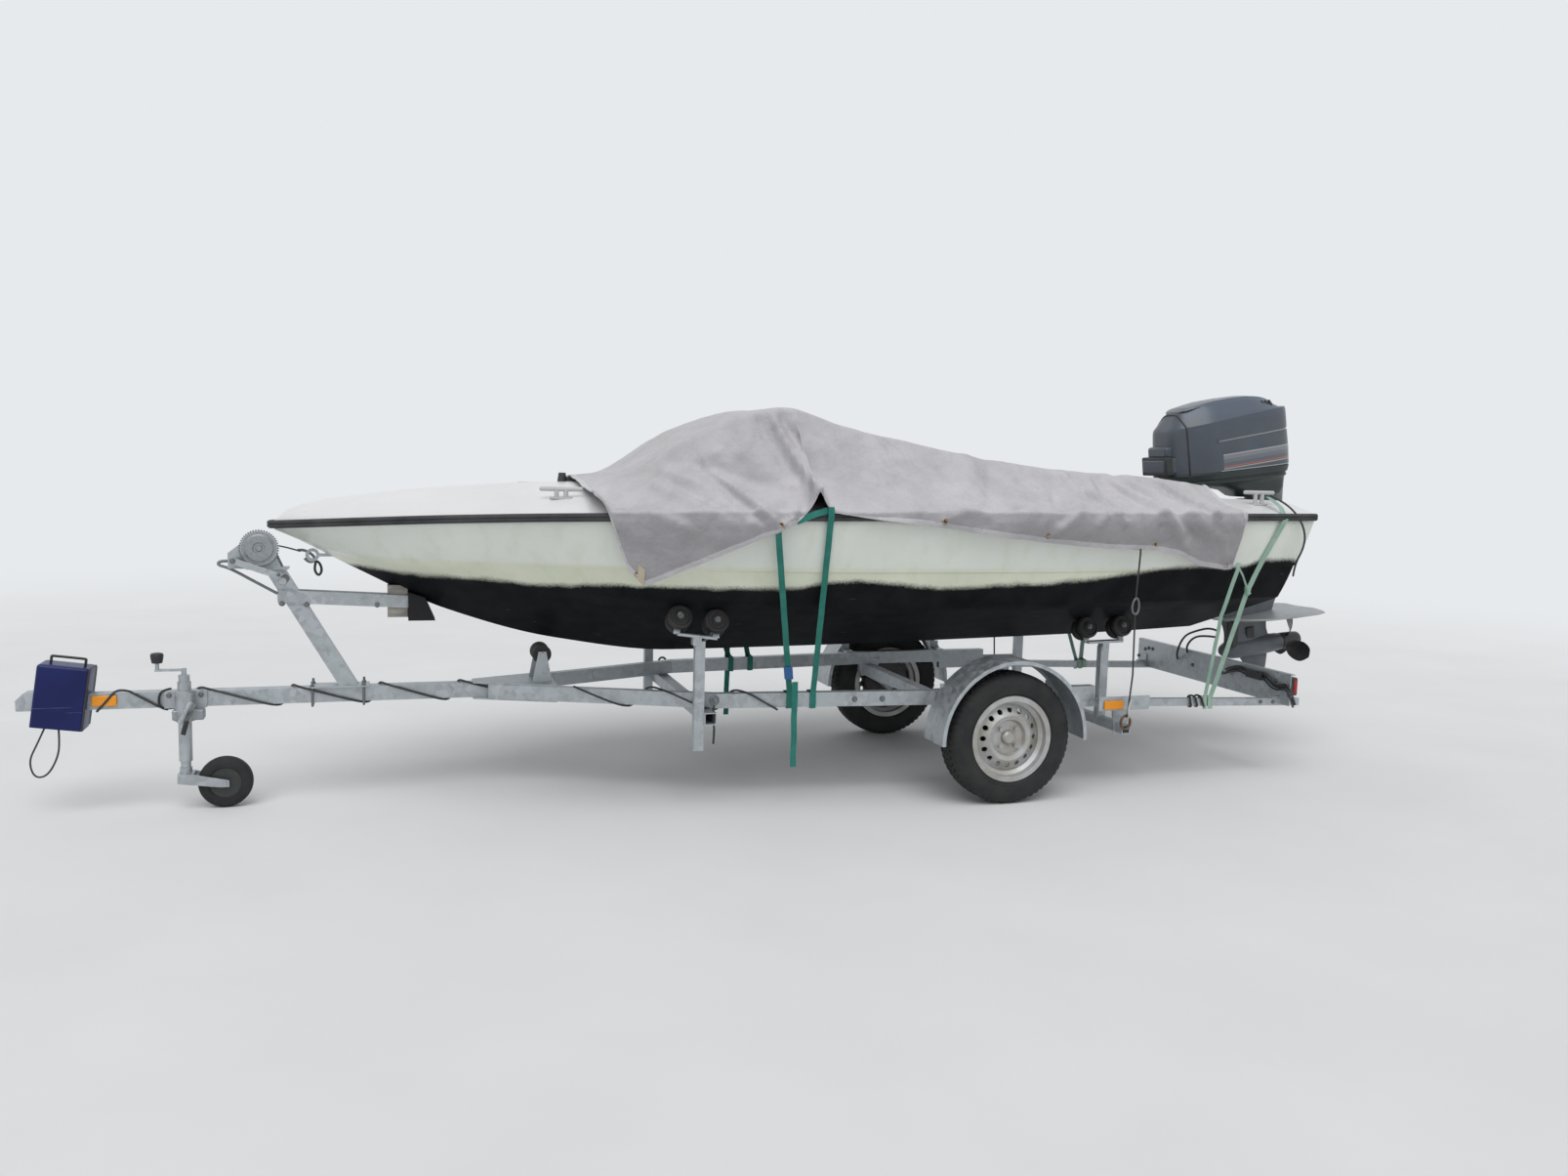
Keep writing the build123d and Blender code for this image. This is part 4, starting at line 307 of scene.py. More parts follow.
galvanised = zinc("galvanised steel", 0.46, 0.02)
bolt_steel = zinc("bolt steel", 0.20, 0.09, 160)
dull_alloy = zinc("cast alloy", 0.34, 0.0, 300)
rusty_steel = zinc("rusty steel", 0.28, 0.32, 120)

# %% [markdown]
# The rest of the finishes follow the same plan: a main tone with slow clouds in it, a second tone
# for dirt or sun bleaching, and a fine relief for the grain of rubber, cast alloy or sprayed
# paint. A plain number that is the same all over is set straight on the shader.

# %% Paint, rubber and plastic
def painted_or_moulded(name, tone, other, roughness, grain=120, depth=0.0004, scale=8, metallic=0.0, **more):
    """A coloured surface with slow clouds of a second tone and a fine grain."""
    material, tree, shader = finish(name, Roughness=roughness, Metallic=metallic, **more)
    colour(tree, shader, ramp(tree, clouds(tree, scale, 6, rough=0.65), (0.35, tone), (0.72, other)))
    relief(tree, shader, clouds(tree, grain, 4), depth, 0.6)
    return material


rail_rubber = painted_or_moulded("rail rubber", (0.020, 0.021, 0.023), (0.055, 0.056, 0.058), 0.62, 90,
                                 0.0006)
roller_rubber = painted_or_moulded("roller rubber", (0.014, 0.014, 0.015), (0.05, 0.048, 0.045), 0.7, 60,
                                   0.0008)
tyre_rubber = painted_or_moulded("tyre rubber", (0.010, 0.011, 0.012), (0.028, 0.028, 0.027), 0.78, 160,
                                 0.0006, 12)
dark_plastic = painted_or_moulded("dark plastic", (0.018, 0.019, 0.020), (0.045, 0.045, 0.045), 0.5)
white_plastic = painted_or_moulded("white plastic", (0.52, 0.53, 0.52), (0.62, 0.62, 0.60), 0.45)
lock_paint, tree, shader = finish("navy paint", Roughness=0.34, Specular_IOR_Level=0.3)
height = axes(tree)["Z"]
navy = ramp(tree, clouds(tree, 6, 5), (0.35, (0.0035, 0.0085, 0.080)), (0.70, (0.007, 0.015, 0.110)))
band = sums(tree, "MULTIPLY", mapped(tree, height, 0.385, 0.391), mapped(tree, height, 0.415, 0.405))
scrape = ramp(tree, clouds(tree, 34, 4, (0.10, 0.10, 4)), (0.60, 0.0), (0.66, 0.9))
colour(tree, shader, blend(tree, sums(tree, "MULTIPLY", band, scrape), navy, (0.30, 0.34, 0.50)))
relief(tree, shader, clouds(tree, 30, 3), 0.0008, 0.5)
engine_paint = painted_or_moulded("outboard enamel", (0.038, 0.052, 0.072), (0.055, 0.072, 0.095), 0.38, 300,
                                  0.0002, 4, Coat_Weight=0.35, Coat_Roughness=0.25)
pan_paint = painted_or_moulded("pan enamel", (0.016, 0.026, 0.026), (0.030, 0.042, 0.042), 0.42, 300, 0.0002,
                               4)
leg_paint = painted_or_moulded("leg enamel", (0.075, 0.086, 0.100), (0.130, 0.142, 0.155), 0.42, 200, 0.0003)
fin_paint = painted_or_moulded("fin alloy", (0.30, 0.31, 0.32), (0.42, 0.43, 0.43), 0.42, 200, 0.0003,
                               metallic=0.6)
propeller_paint = painted_or_moulded("propeller enamel", (0.012, 0.012, 0.013), (0.05, 0.05, 0.05), 0.4, 80,
                                     0.0005)
engine_mass = painted_or_moulded("engine block", (0.06, 0.06, 0.065), (0.10, 0.10, 0.10), 0.6)
wheel_silver = painted_or_moulded("wheel silver", (0.52, 0.53, 0.54), (0.33, 0.30, 0.235), 0.48, 60, 0.0006,
                                  9, metallic=0.55)
teal_web = painted_or_moulded("teal webbing", (0.014, 0.160, 0.130), (0.035, 0.225, 0.180), 0.85, 500, 0.0008,
                              14)
dark_web = painted_or_moulded("winch webbing", (0.016, 0.018, 0.020), (0.045, 0.048, 0.050), 0.85, 500,
                              0.0008, 14)
mint_web = painted_or_moulded("faded webbing", (0.25, 0.42, 0.33), (0.40, 0.52, 0.44), 0.88, 500, 0.0008, 14)
blue_plastic = painted_or_moulded("buckle plastic", (0.02, 0.10, 0.30), (0.03, 0.14, 0.38), 0.4)
orange_lens = painted_or_moulded("orange lens", (0.84, 0.27, 0.006), (0.92, 0.36, 0.012), 0.22, 400, 0.0006)
red_lens = painted_or_moulded("red lens", (0.33, 0.012, 0.01), (0.45, 0.02, 0.015), 0.16, 400, 0.0006)
brass = painted_or_moulded("brass eyelet", (0.42, 0.30, 0.14), (0.20, 0.11, 0.05), 0.4, 200, 0.0003, 60,
                           metallic=0.9)
block_wood, tree, shader = finish("bow block", Roughness=0.85)
boards = ramp(tree, clouds(tree, 14, 6, (1, 4, 4)), (0.35, (0.24, 0.225, 0.20)), (0.70, (0.44, 0.42, 0.38)))
rubber = mapped(tree, axes(tree)["X"], axle_x - 2.399, axle_x - 2.396)
colour(tree, shader, blend(tree, rubber, boards, (0.014, 0.014, 0.015)))
relief(tree, shader, clouds(tree, 40, 4, (1, 5, 5)), 0.002, 0.6)
cream_hide = painted_or_moulded("corner patch", (0.42, 0.36, 0.26), (0.52, 0.46, 0.35), 0.85, 200, 0.0006)

screen_finish, tree, shader = finish("windscreen acrylic", Roughness=0.08, Transmission_Weight=0.85, IOR=1.49)
colour(tree, shader, ramp(tree, clouds(tree, 3), (0.3, (0.30, 0.32, 0.34)), (0.7, (0.40, 0.42, 0.44))))

SLOTS = {
    "gelcoat": hull_finish, "deck_gelcoat": deck_finish, "rail_rubber": rail_rubber,
    "screen_acrylic": screen_finish, "white_plastic": white_plastic, "dark_plastic": dark_plastic,
    "galvanised": galvanised, "wheel_silver": wheel_silver, "tyre": tyre_rubber,
    "roller_rubber": roller_rubber, "lock_paint": lock_paint, "block_wood": block_wood, "strap_web": teal_web,
    "engine_paint": engine_paint, "leg_paint": leg_paint, "propeller_paint": propeller_paint,
    "engine_mass": engine_mass, "lamp_lens": red_lens,
}
for name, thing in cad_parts.items():
    for material_slot in thing.material_slots:
        material_slot.material = SLOTS.get(material_slot.material.name.split(".")[0], galvanised)
print("finishes given to", len(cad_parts), "nodes of the frame")

# %% [markdown]
# The cover is a coated woven tarpaulin, a cool light grey, with painted light where it faces up and
# painted shade that darkens its sides, and random darker damp patches. The weave is two crossed waves
# kept as a faint relief; over it lies a net of small creases, such as a sheet keeps when it was
# folded up wet. Small white spots are old droppings.

# %% Tarpaulin
def tarpaulin(name, light, dark):
    """Smooth, creased cloth with painted light where it faces up and painted shade on its sides."""
    material, tree, shader = finish(name, Roughness=0.66, Sheen_Weight=0.10)
    # Painted light and shade: the colour runs from the dark tone on faces that look sideways to the light
    # tone on faces that look up.
    upright = ramp(tree, axes(tree, "ShaderNodeNewGeometry", "Normal")["Z"], (0.10, 0.0), (0.80, 1.0))
    tone = blend(tree, upright, dark, light)
    for scale, low, high in ((210, 0.93, 1.03), (3.4, 0.90, 1.05), (12, 0.94, 1.03)):
        mottle = ramp(tree, clouds(tree, scale, 6, rough=0.65), (0.36, low), (0.64, high))
        tone = blend(tree, 1.0, tone, mottle, "MULTIPLY")
    damp = ramp(tree, clouds(tree, 8, 7, (1, 1, 0.7), 0.7), (0.58, 0.0), (0.80, 0.5))
    tone = blend(tree, damp, tone, tuple(c * 0.72 for c in dark))
    spots = ramp(tree, cells(tree, 3.1).outputs["Distance"], (0.016, 1.0), (0.024, 0.0))
    tone = blend(tree, sums(tree, "MULTIPLY", spots, 0.8), tone, (0.75, 0.75, 0.74))
    colour(tree, shader, tone)
    threads = [node(tree, "ShaderNodeTexWave", {"Vector": place(tree), "Scale": 260, "Distortion": 0.3},
                    bands_direction=way).outputs["Fac"] for way in ("X", "Z")]
    weave = relief(tree, shader, sums(tree, "MULTIPLY", *threads), 0.0003, 0.4)
    net = ramp(tree, cells(tree, 8.5, (1, 1.3, 0.8), "DISTANCE_TO_EDGE").outputs["Distance"], (0.0, 0.0),
               (0.20, 1.0))
    creases = relief(tree, shader, net, 0.0055, 0.42, under=weave)
    rumples = relief(tree, shader, clouds(tree, 13, 6, rough=0.6), 0.016, 0.5, under=creases)
    relief(tree, shader, clouds(tree, 4.5, 5, (1, 1, 1.8), 0.6), 0.030, 0.5, under=rumples)
    return material


# The first colour is the painted light of faces that look up, the second the painted shade of the sides.
cover_cloth = tarpaulin("tarpaulin", (0.570, 0.552, 0.572), (0.350, 0.341, 0.358))
cover_hem = tarpaulin("tarpaulin hem", (0.66, 0.64, 0.66), (0.50, 0.49, 0.51))

SLOT_OF = {look.name: slot for slot, look in SLOTS.items()}
for slot, looks in (("cover_sheet", (cover_cloth, cover_hem, cream_hide, brass)),
                    ("strap_web", (mint_web, dark_web)),
                    ("galvanised", (bolt_steel, dull_alloy, rusty_steel)), ("dark_plastic", (blue_plastic,)),
                    ("engine_paint", (pan_paint,)), ("leg_paint", (fin_paint,)),
                    ("lamp_lens", (orange_lens,))):
    SLOT_OF.update({look.name: slot for look in looks})

# %% [markdown]
# Nearly every piece is a skin: rows of points, each row joined to the next. The helpers below build
# such a skin, merge what coincides, point its faces outwards, and put the piece on the body that
# it moves with. `fair` draws a smooth line through a short row of sizes without swinging past them.

# %% Skin helpers
TRAILER, LEG_BODY = "boat_and_trailer", "outboard"
SIDES = ((-1, "port"), (1, "starboard"))


def tidy(mesh, outward=True):
    """Merge doubles, drop collapsed faces and point the rest outwards."""
    work = bmesh.new()
    work.from_mesh(mesh)
    bmesh.ops.remove_doubles(work, verts=work.verts, dist=2e-5)
    bmesh.ops.dissolve_degenerate(work, dist=1e-6, edges=work.edges)
    if outward:
        bmesh.ops.recalc_face_normals(work, faces=work.faces)
    work.to_mesh(mesh)
    work.free()
    return mesh


def skin(name, rows, around=False, ends=False, outward=True):
    """Mesh from rows of points, each joined to the next."""
    rows = np.asarray(rows, float)
    count, width = rows.shape[:2]
    faces = [(r * width + c, r * width + (c + 1) % width, (r + 1) * width + (c + 1) % width,
              (r + 1) * width + c)
             for r in range(count - 1) for c in range(width if around else width - 1)]
    if ends:
        faces += [tuple(range(width)), tuple(range((count - 1) * width, count * width))]
    mesh = bpy.data.meshes.new(name)
    mesh.from_pydata(rows.reshape(-1, 3).tolist(), [], faces)
    return tidy(mesh, outward)


def solid(name, rows):
    """Closed mesh from rings of points, with a face at each end."""
    return skin(name, rows, around=True, ends=True)


def piece(name, mesh, look, smooth=35, body=TRAILER, slot=None):
    """Put a mesh in the scene, give it its finish and let it ride on its body."""
    thing = bpy.data.objects.new(name, mesh)
    scene.collection.objects.link(thing)
    if not mesh.materials:
        mesh.materials.append(look)
    shaded(mesh, smooth)
    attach(thing, body)
    slot or SLOT_OF[look.name]
    return thing


def shaded(mesh, angle):
    """Shade smoothly, and sharply where faces meet at more than the angle."""
    mesh.polygons.foreach_set("use_smooth", [True] * len(mesh.polygons))
    mesh.set_sharp_from_angle(angle=radians(angle))


def walled(thing, thickness, offset=-1):
    """Give a sheet its thickness."""
    wall = thing.modifiers.new("wall", "SOLIDIFY")
    wall.thickness, wall.offset = thickness, offset
    return wall


def softened(thing):
    """Split and smooth a sheet once."""
    soft = thing.modifiers.new("soft", "SUBSURF")
    soft.levels = soft.render_levels = 1


def settled(thing):
    """Turn what the modifiers make into the object's plain mesh."""
    graph = bpy.context.evaluated_depsgraph_get()
    graph.update()
    mesh = bpy.data.meshes.new_from_object(thing.evaluated_get(graph))
    thing.modifiers.clear()
    thing.data = mesh
    return thing


def joined(name, *meshes):
    """One mesh from several."""
    work = bmesh.new()
    for mesh in meshes:
        work.from_mesh(mesh)
    whole = bpy.data.meshes.new(name)
    work.to_mesh(whole)
    work.free()
    return whole


def fair(x, places, sizes):
    """Smooth line through a row of sizes that never swings past them."""
    order = np.argsort(places)
    places, sizes = np.asarray(places, float)[order], np.asarray(sizes, float)[order]
    step = np.diff(places)
    slope = np.diff(sizes) / step
    lean = np.concatenate(([slope[0]], np.zeros(len(slope) - 1), [slope[-1]]))
    same = slope[:-1] * slope[1:] > 0
    lean[1:-1][same] = 2 * slope[:-1][same] * slope[1:][same] / (slope[:-1][same] + slope[1:][same])
    i = np.clip(np.searchsorted(places, x) - 1, 0, len(step) - 1)
    t = (x - places[i]) / step[i]
    return (sizes[i] * (1 + 2 * t) * (1 - t) ** 2 + sizes[i + 1] * t * t * (3 - 2 * t)
            + step[i] * (lean[i] * t * (1 - t) ** 2 + lean[i + 1] * t * t * (t - 1)))


def carried(path, outline, up):
    """Rows of a flat outline of (sideways, upward) points carried along a path."""
    path = np.asarray(path, float)
    run = np.gradient(path, axis=0)
    run /= np.linalg.norm(run, axis=1)[:, None]
    side = np.cross(run, up)
    side /= np.linalg.norm(side, axis=1)[:, None]
    lift = np.cross(side, run)
    return [[p + s * a + l * b for a, b in outline] for p, s, l in zip(path, side, lift)]


def circle(radius, count):
    """Round outline."""
    return [(radius * cos(2 * pi * i / count), radius * sin(2 * pi * i / count)) for i in range(count)]


def at(x, y, z):
    """A place given from the axle, in the frame's metres."""
    return Vector((axle_x + x, y, z))


def spun(name, profile, centre, axis, count=40):
    """Mesh turned on a lathe: the profile is (along the axis, radius), about a centre."""
    axis = Vector(axis).normalized()
    first = axis.cross((0, 0, 1) if abs(axis.z) < 0.9 else (1, 0, 0)).normalized()
    second = axis.cross(first)
    spokes = [first * c + second * s for c, s in circle(1, count)]
    return solid(name, [[Vector(centre) + axis * a + spoke * r for spoke in spokes] for a, r in profile])


def lathed(name, profile, centre, axis, count, look, smooth=40, **where):
    """Piece turned on a lathe."""
    return piece(name, spun(name, profile, centre, axis, count), look, smooth, **where)


# %% [markdown]
# Bolts, eyelets and gear teeth are one shape at many places. A small node group does that: it puts
# the shape on every point, turns it to the way that point faces, sizes it, and gives each a little
# turn by chance. The result is kept as a plain mesh.

# %% Repeats
repeats = bpy.data.node_groups.new("shape at every place", "GeometryNodeTree")
sockets = {}
for label, kind in (("Places", "Geometry"), ("Shape", "Object"), ("Look", "Material"), ("Turn", "Float"),
                    ("Seed", "Int")):
    sockets[label] = repeats.interface.new_socket(label, in_out="INPUT", socket_type=f"NodeSocket{kind}")
repeats.interface.new_socket("Result", in_out="OUTPUT", socket_type="NodeSocketGeometry")
given = node(repeats, "NodeGroupInput").outputs
facing = node(repeats, "GeometryNodeInputNamedAttribute", {"Name": "facing"},
              data_type="FLOAT_VECTOR").outputs[0]
size = node(repeats, "GeometryNodeInputNamedAttribute", {"Name": "size"}, data_type="FLOAT").outputs[0]
aim = node(repeats, "FunctionNodeAlignRotationToVector", {"Vector": facing}, axis="Z").outputs[0]
chance = node(repeats, "FunctionNodeRandomValue", {"Seed": given["Seed"]}, data_type="FLOAT").outputs[1]
angle = sums(repeats, "MULTIPLY", chance, given["Turn"])
spin = node(repeats, "FunctionNodeAxisAngleToRotation", {"Axis": (0, 0, 1), "Angle": angle}).outputs[0]
turned = node(repeats, "FunctionNodeRotateRotation", {0: aim, 1: spin}, rotation_space="LOCAL").outputs[0]
shape = node(repeats, "GeometryNodeObjectInfo", {"Object": given["Shape"]}).outputs["Geometry"]
placed = node(repeats, "GeometryNodeInstanceOnPoints", {
    "Points": given["Places"], "Instance": shape, "Rotation": turned, "Scale": size}).outputs[0]
real = node(repeats, "GeometryNodeRealizeInstances", {"Geometry": placed}).outputs[0]
painted = node(repeats, "GeometryNodeSetMaterial", {"Geometry": real, "Material": given["Look"]}).outputs[0]
repeats.links.new(painted, node(repeats, "NodeGroupOutput").inputs[0])


ANY_TURN = 6.28


def repeated(name, shape_mesh, places, look, turn=ANY_TURN, smooth=35):
    """The shape at every (point, facing, size), as one plain mesh on a body."""
    points = bpy.data.meshes.new(name)
    points.from_pydata([p for p, _, _ in places], [], [])
    points.attributes.new("facing", "FLOAT_VECTOR", "POINT").data.foreach_set(
        "vector", [c for _, way, _ in places for c in way])
    points.attributes.new("size", "FLOAT", "POINT").data.foreach_set("value", [s for _, _, s in places])
    pattern = bpy.data.objects.new("pattern", shape_mesh)
    holder = bpy.data.objects.new(name, points)
    for thing in (pattern, holder):
        scene.collection.objects.link(thing)
    grow = holder.modifiers.new("repeat", "NODES")
    grow.node_group = repeats
    for label, value in (("Shape", pattern), ("Look", look), ("Turn", turn), ("Seed", 7)):
        grow[sockets[label].identifier] = value
    settled(holder)
    mesh = holder.data
    for thing in (pattern, holder):
        bpy.data.objects.remove(thing)
    return piece(name, mesh, look, smooth)


def upright(name, profile, sides):
    """Skin turned about the upright axis, from rows of height and radius."""
    return skin(name, [[(x, y, z) for x, y in circle(r, sides)] for z, r in profile], around=True)


washer = upright("washer", [(0, 0.0), (0, 1.18), (0.16, 1.20), (0.2, 1.12), (0.2, 0.0)], 20)
head = upright("head", [(0.2, 0.92), (0.72, 0.92), (0.86, 0.80), (0.86, 0.0)], 6)
stud = upright("stud", [(0.86, 0.50), (1.20, 0.50), (1.28, 0.42), (1.28, 0.0)], 12)
bolt_shape = joined("bolt", washer, head)
nut_shape = joined("nut", washer, head, stud)
eyelet_shape = upright("eyelet", [(0, 1.0), (0.13, 0.97), (0.20, 0.84), (0.18, 0.68), (0.02, 0.58)], 20)
# Dark disc of painted shade, standing for the shaded gap seen through an eyelet's opening.
hole_shade_shape = upright("eyelet hole shade", [(0.035, 0.60), (0.04, 0.0)], 20)
print("repeat group takes", list(sockets))

# %% [markdown]
# The hull is the boat's main shape. The same ten stations that the frame was lofted from are
# repeated here, but joined by fair curves instead of straight runs, so that light flows along the
# side. The section is drawn with its real breaks: a chine with a narrow spray rail, and a knuckle
# with a small step, which is the crease that shows along the whole side.

# %% Hull stations
COLUMNS = ("x", "keel_z", "chine_y", "chine_z", "knuckle_y", "knuckle_z", "sheer_y", "sheer_z", "camber")
STATIONS = np.array([
    (1560, 640, 562, 850, 620, 1002, 688, 1219, 95), (900, 612, 610, 838, 672, 985, 750, 1214, 105),
    (100, 592, 632, 831, 702, 976, 786, 1207, 110), (-700, 577, 612, 835, 690, 975, 780, 1197, 110),
    (-1300, 573, 535, 850, 618, 977, 722, 1186, 110), (-1800, 636, 405, 880, 497, 981, 618, 1174, 110),
    (-2250, 766, 235, 925, 318, 988, 455, 1154, 100), (-2600, 935, 88, 975, 140, 1000, 268, 1130, 82),
    (-2820, 1052, 18, 1058, 26, 1064, 112, 1112, 55), (-2895, 1085, 6, 1088, 8, 1091, 14, 1104, 8)]) / 1000
STEM_X, TRANSOM_X, FOOT_Z, RAKE = -2.895, 1.392, 0.632, tan(radians(11.1))
HULL_WALL, DECK_WALL = 0.012, 0.012


def hull_size(x, column):
    """One of the hull's sizes at any place along it."""
    return float(fair(x, STATIONS[:, 0], STATIONS[:, COLUMNS.index(column)]))


def transom_x(z):
    """Place of the raked transom's face at a height."""
    return TRANSOM_X + (z - FOOT_Z) * RAKE


SPRAY_RAIL, STEP = 0.020, 0.004


def half_section(x):
    """Port half of one hull section, from the sheer down to the keel."""
    s = {column: hull_size(x, column) for column in COLUMNS[1:]}
    slim = min(1, s["chine_y"] / 0.2)
    sheer, knuckle = (s["sheer_y"], s["sheer_z"]), (s["knuckle_y"], s["knuckle_z"])
    chine = (s["chine_y"], s["chine_z"])
    points = []
    for t in np.linspace(0, 1, 7):
        bow = 0.007 * slim * sin(pi * t)
        points.append((sheer[0] + (knuckle[0] + STEP * slim - sheer[0]) * t + bow,
                       sheer[1] + (knuckle[1] - sheer[1]) * t))
    for t in np.linspace(0, 1, 6):
        bow = 0.004 * slim * sin(pi * t)
        points.append((knuckle[0] - STEP * slim * (1 - t) + (chine[0] - knuckle[0]) * t + bow,
                       knuckle[1] - 0.006 * slim * (1 - t) + (chine[1] - knuckle[1]) * t))
    points.append((chine[0] - SPRAY_RAIL * slim, chine[1] - 0.012 * slim))
    for t in np.linspace(0.12, 1, 8):
        points.append(((chine[0] - SPRAY_RAIL * slim) * (1 - t),
                       chine[1] - 0.012 * slim + (s["keel_z"] - chine[1] + 0.012 * slim) * t))
    return points


# %% Hull shell and transom
def both_sides(half):
    """Whole section from its port half, which ends on the middle line."""
    return [at(x, -y, z) for x, y, z in half] + [at(x, y, z) for x, y, z in half[-2::-1]]


LAST_SECTION_X, TRANSOM_NEAR_X = 1.33, 1.44
rows = []
for x in np.linspace(STEM_X, LAST_SECTION_X, 96):
    rows.append(both_sides([(x, y, z) for y, z in half_section(x)]))
half = []
for k in range(len(half_section(TRANSOM_NEAR_X))):
    x = TRANSOM_NEAR_X
    for _ in range(3):  # the transom leans, so its place and the section there are found in turn
        y, z = half_section(x)[k]
        x = transom_x(z)
    half.append((x, y, z))
rows.append(both_sides(half))
shell = skin("hull shell", rows)
transom_rows = [[at(x, y * t, z) for t in np.linspace(-1, 1, 9)] for x, y, z in half]
stem = skin("stem", [rows[0][:len(half)], rows[0][:len(half) - 1:-1] + [rows[0][len(half) - 1]]],
            outward=False)
shell = tidy(joined("hull_shell", shell, skin("transom", transom_rows), stem))
hull = piece("hull_shell", shell, hull_finish, 22)
wall = walled(hull, HULL_WALL)
wall.use_even_offset = False
settled(hull)
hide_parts("hull")

TRANSOM_THICK, PAD_HALF = 0.045, 0.52
pad_rows = []
for z in (0.90, 1.0, 1.1, 1.19, 1.212):
    pad_rows.append([at(transom_x(z) - back, side * PAD_HALF, z) for back, side in (
        (0.008, -1), (0.008, 1), (TRANSOM_THICK, 1), (TRANSOM_THICK, -1))])
piece("transom_pad", solid("transom_pad", pad_rows), deck_finish, 30, slot="gelcoat")
print("hull", len(hull.data.polygons), "faces")

# %% [markdown]
# The deck is a cambered lid on the hull. It is made as one sheet, given its thickness, and then
# the cockpit and the motor well are cut out of it with a Boolean, as a real moulding is trimmed
# with a saw. The rub rail is a rubber half-round that hides the joint between hull and deck.

# %% Deck
def deck_z(x, y):
    """Height of the deck's top."""
    half, rise = hull_size(x, "sheer_y"), hull_size(x, "camber")
    radius = (half * half + rise * rise) / (2 * rise)
    return hull_size(x, "sheer_z") + DECK_WALL + rise - radius + sqrt(max(radius * radius - y * y, 0))


def face_up(mesh):
    """Turn a sheet's faces so that most of them look up."""
    if sum(polygon.normal.z for polygon in mesh.polygons) < 0:
        mesh.flip_normals()


DECK_TO_X, TRANSOM_TOP_X, DECK_SHARP = 1.40, 1.49, 30
rows = []
for x in [*np.linspace(STEM_X, DECK_TO_X, 90), TRANSOM_TOP_X]:
    row = []
    for t in np.linspace(-1, 1, 29):
        y = t * hull_size(x, "sheer_y")
        z = deck_z(x, y)
        row.append(at(transom_x(z) if x == TRANSOM_TOP_X else x, y, z))
    rows.append(row)
deck = piece("deck_moulding", skin("deck_moulding", rows, outward=False), deck_finish, DECK_SHARP)
face_up(deck.data)
walled(deck, DECK_WALL)


COCKPIT_CUT, WELL_CUT = (-0.95, 0.78, 0.56, 0.04), (0.94, 1.9, 0.45, 0.012)


def saw(name, fore, aft, half, radius):
    """Rounded block that cuts an opening."""
    outline = []
    for cx, cy, start in ((aft - radius, half - radius, 0), (fore + radius, half - radius, 1),
                          (fore + radius, radius - half, 2), (aft - radius, radius - half, 3)):
        outline += [(cx + radius * cos(pi / 2 * (start + i / 6)), cy + radius * sin(pi / 2 * (start + i / 6)))
                    for i in range(7)]
    cutter = bpy.data.objects.new(name, solid(name, [[at(x, y, z) for x, y in outline] for z in (0.9, 1.5)]))
    scene.collection.objects.link(cutter)
    cut = deck.modifiers.new(name, "BOOLEAN")
    cut.object, cut.operation, cut.solver = cutter, "DIFFERENCE", "EXACT"
    return cutter


saws = [saw("cockpit saw", *COCKPIT_CUT), saw("well saw", *WELL_CUT)]
settled(deck)
for tool in saws:
    bpy.data.objects.remove(tool)
shaded(deck.data, DECK_SHARP)
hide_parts("foredeck", "side_decks", "aft_deck")
print("deck", len(deck.data.polygons), "faces")

# %% Rub rail
RAIL_SECTION = [(0, -0.014), (0.012, -0.014), (0.019, -0.008), (0.020, -0.001), (0.017, 0.002),
                (0.020, 0.005), (0.019, 0.012), (0.012, 0.018), (0, 0.018)]
port = [(x, -hull_size(x, "sheer_y"), hull_size(x, "sheer_z")) for x in np.linspace(1.50, STEM_X, 90)]
line = port + [(STEM_X - 0.008, 0, hull_size(STEM_X, "sheer_z"))] + [(x, -y, z) for x, y, z in reversed(port)]
line = np.array([at(*p) for p in line])
run = np.gradient(line, axis=0)
out = np.stack([run[:, 1], -run[:, 0]], 1)
out = -out / np.linalg.norm(out, axis=1)[:, None]
rows = []
for p, (ox, oy) in zip(line, out):
    rows.append([(p[0] + ox * a, p[1] + oy * a, p[2] + b) for a, b in RAIL_SECTION])
if rows[10][4][1] > line[10][1]:
    rows = [[(2 * p[0] - q[0], 2 * p[1] - q[1], q[2]) for q in row] for p, row in zip(line, rows)]
rail = piece("rub_rail_rubber", solid("rub_rail_rubber", rows), rail_rubber, 40)
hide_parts("rub_rail")

# %% [markdown]
# The cover is what one looks at first, so its shape is drawn section by section: one section across
# the boat for each place along it, from the hem over the rail and the slope to the ridge. The hem's height
# along the boat gives the front corner, the notch under the windscreen's corner and the stern
# corner. Folds are then laid on it as ridges and hollows between the points that pull the cloth:
# the eyelets, the screen's corner and the sharp pinch in front of it.

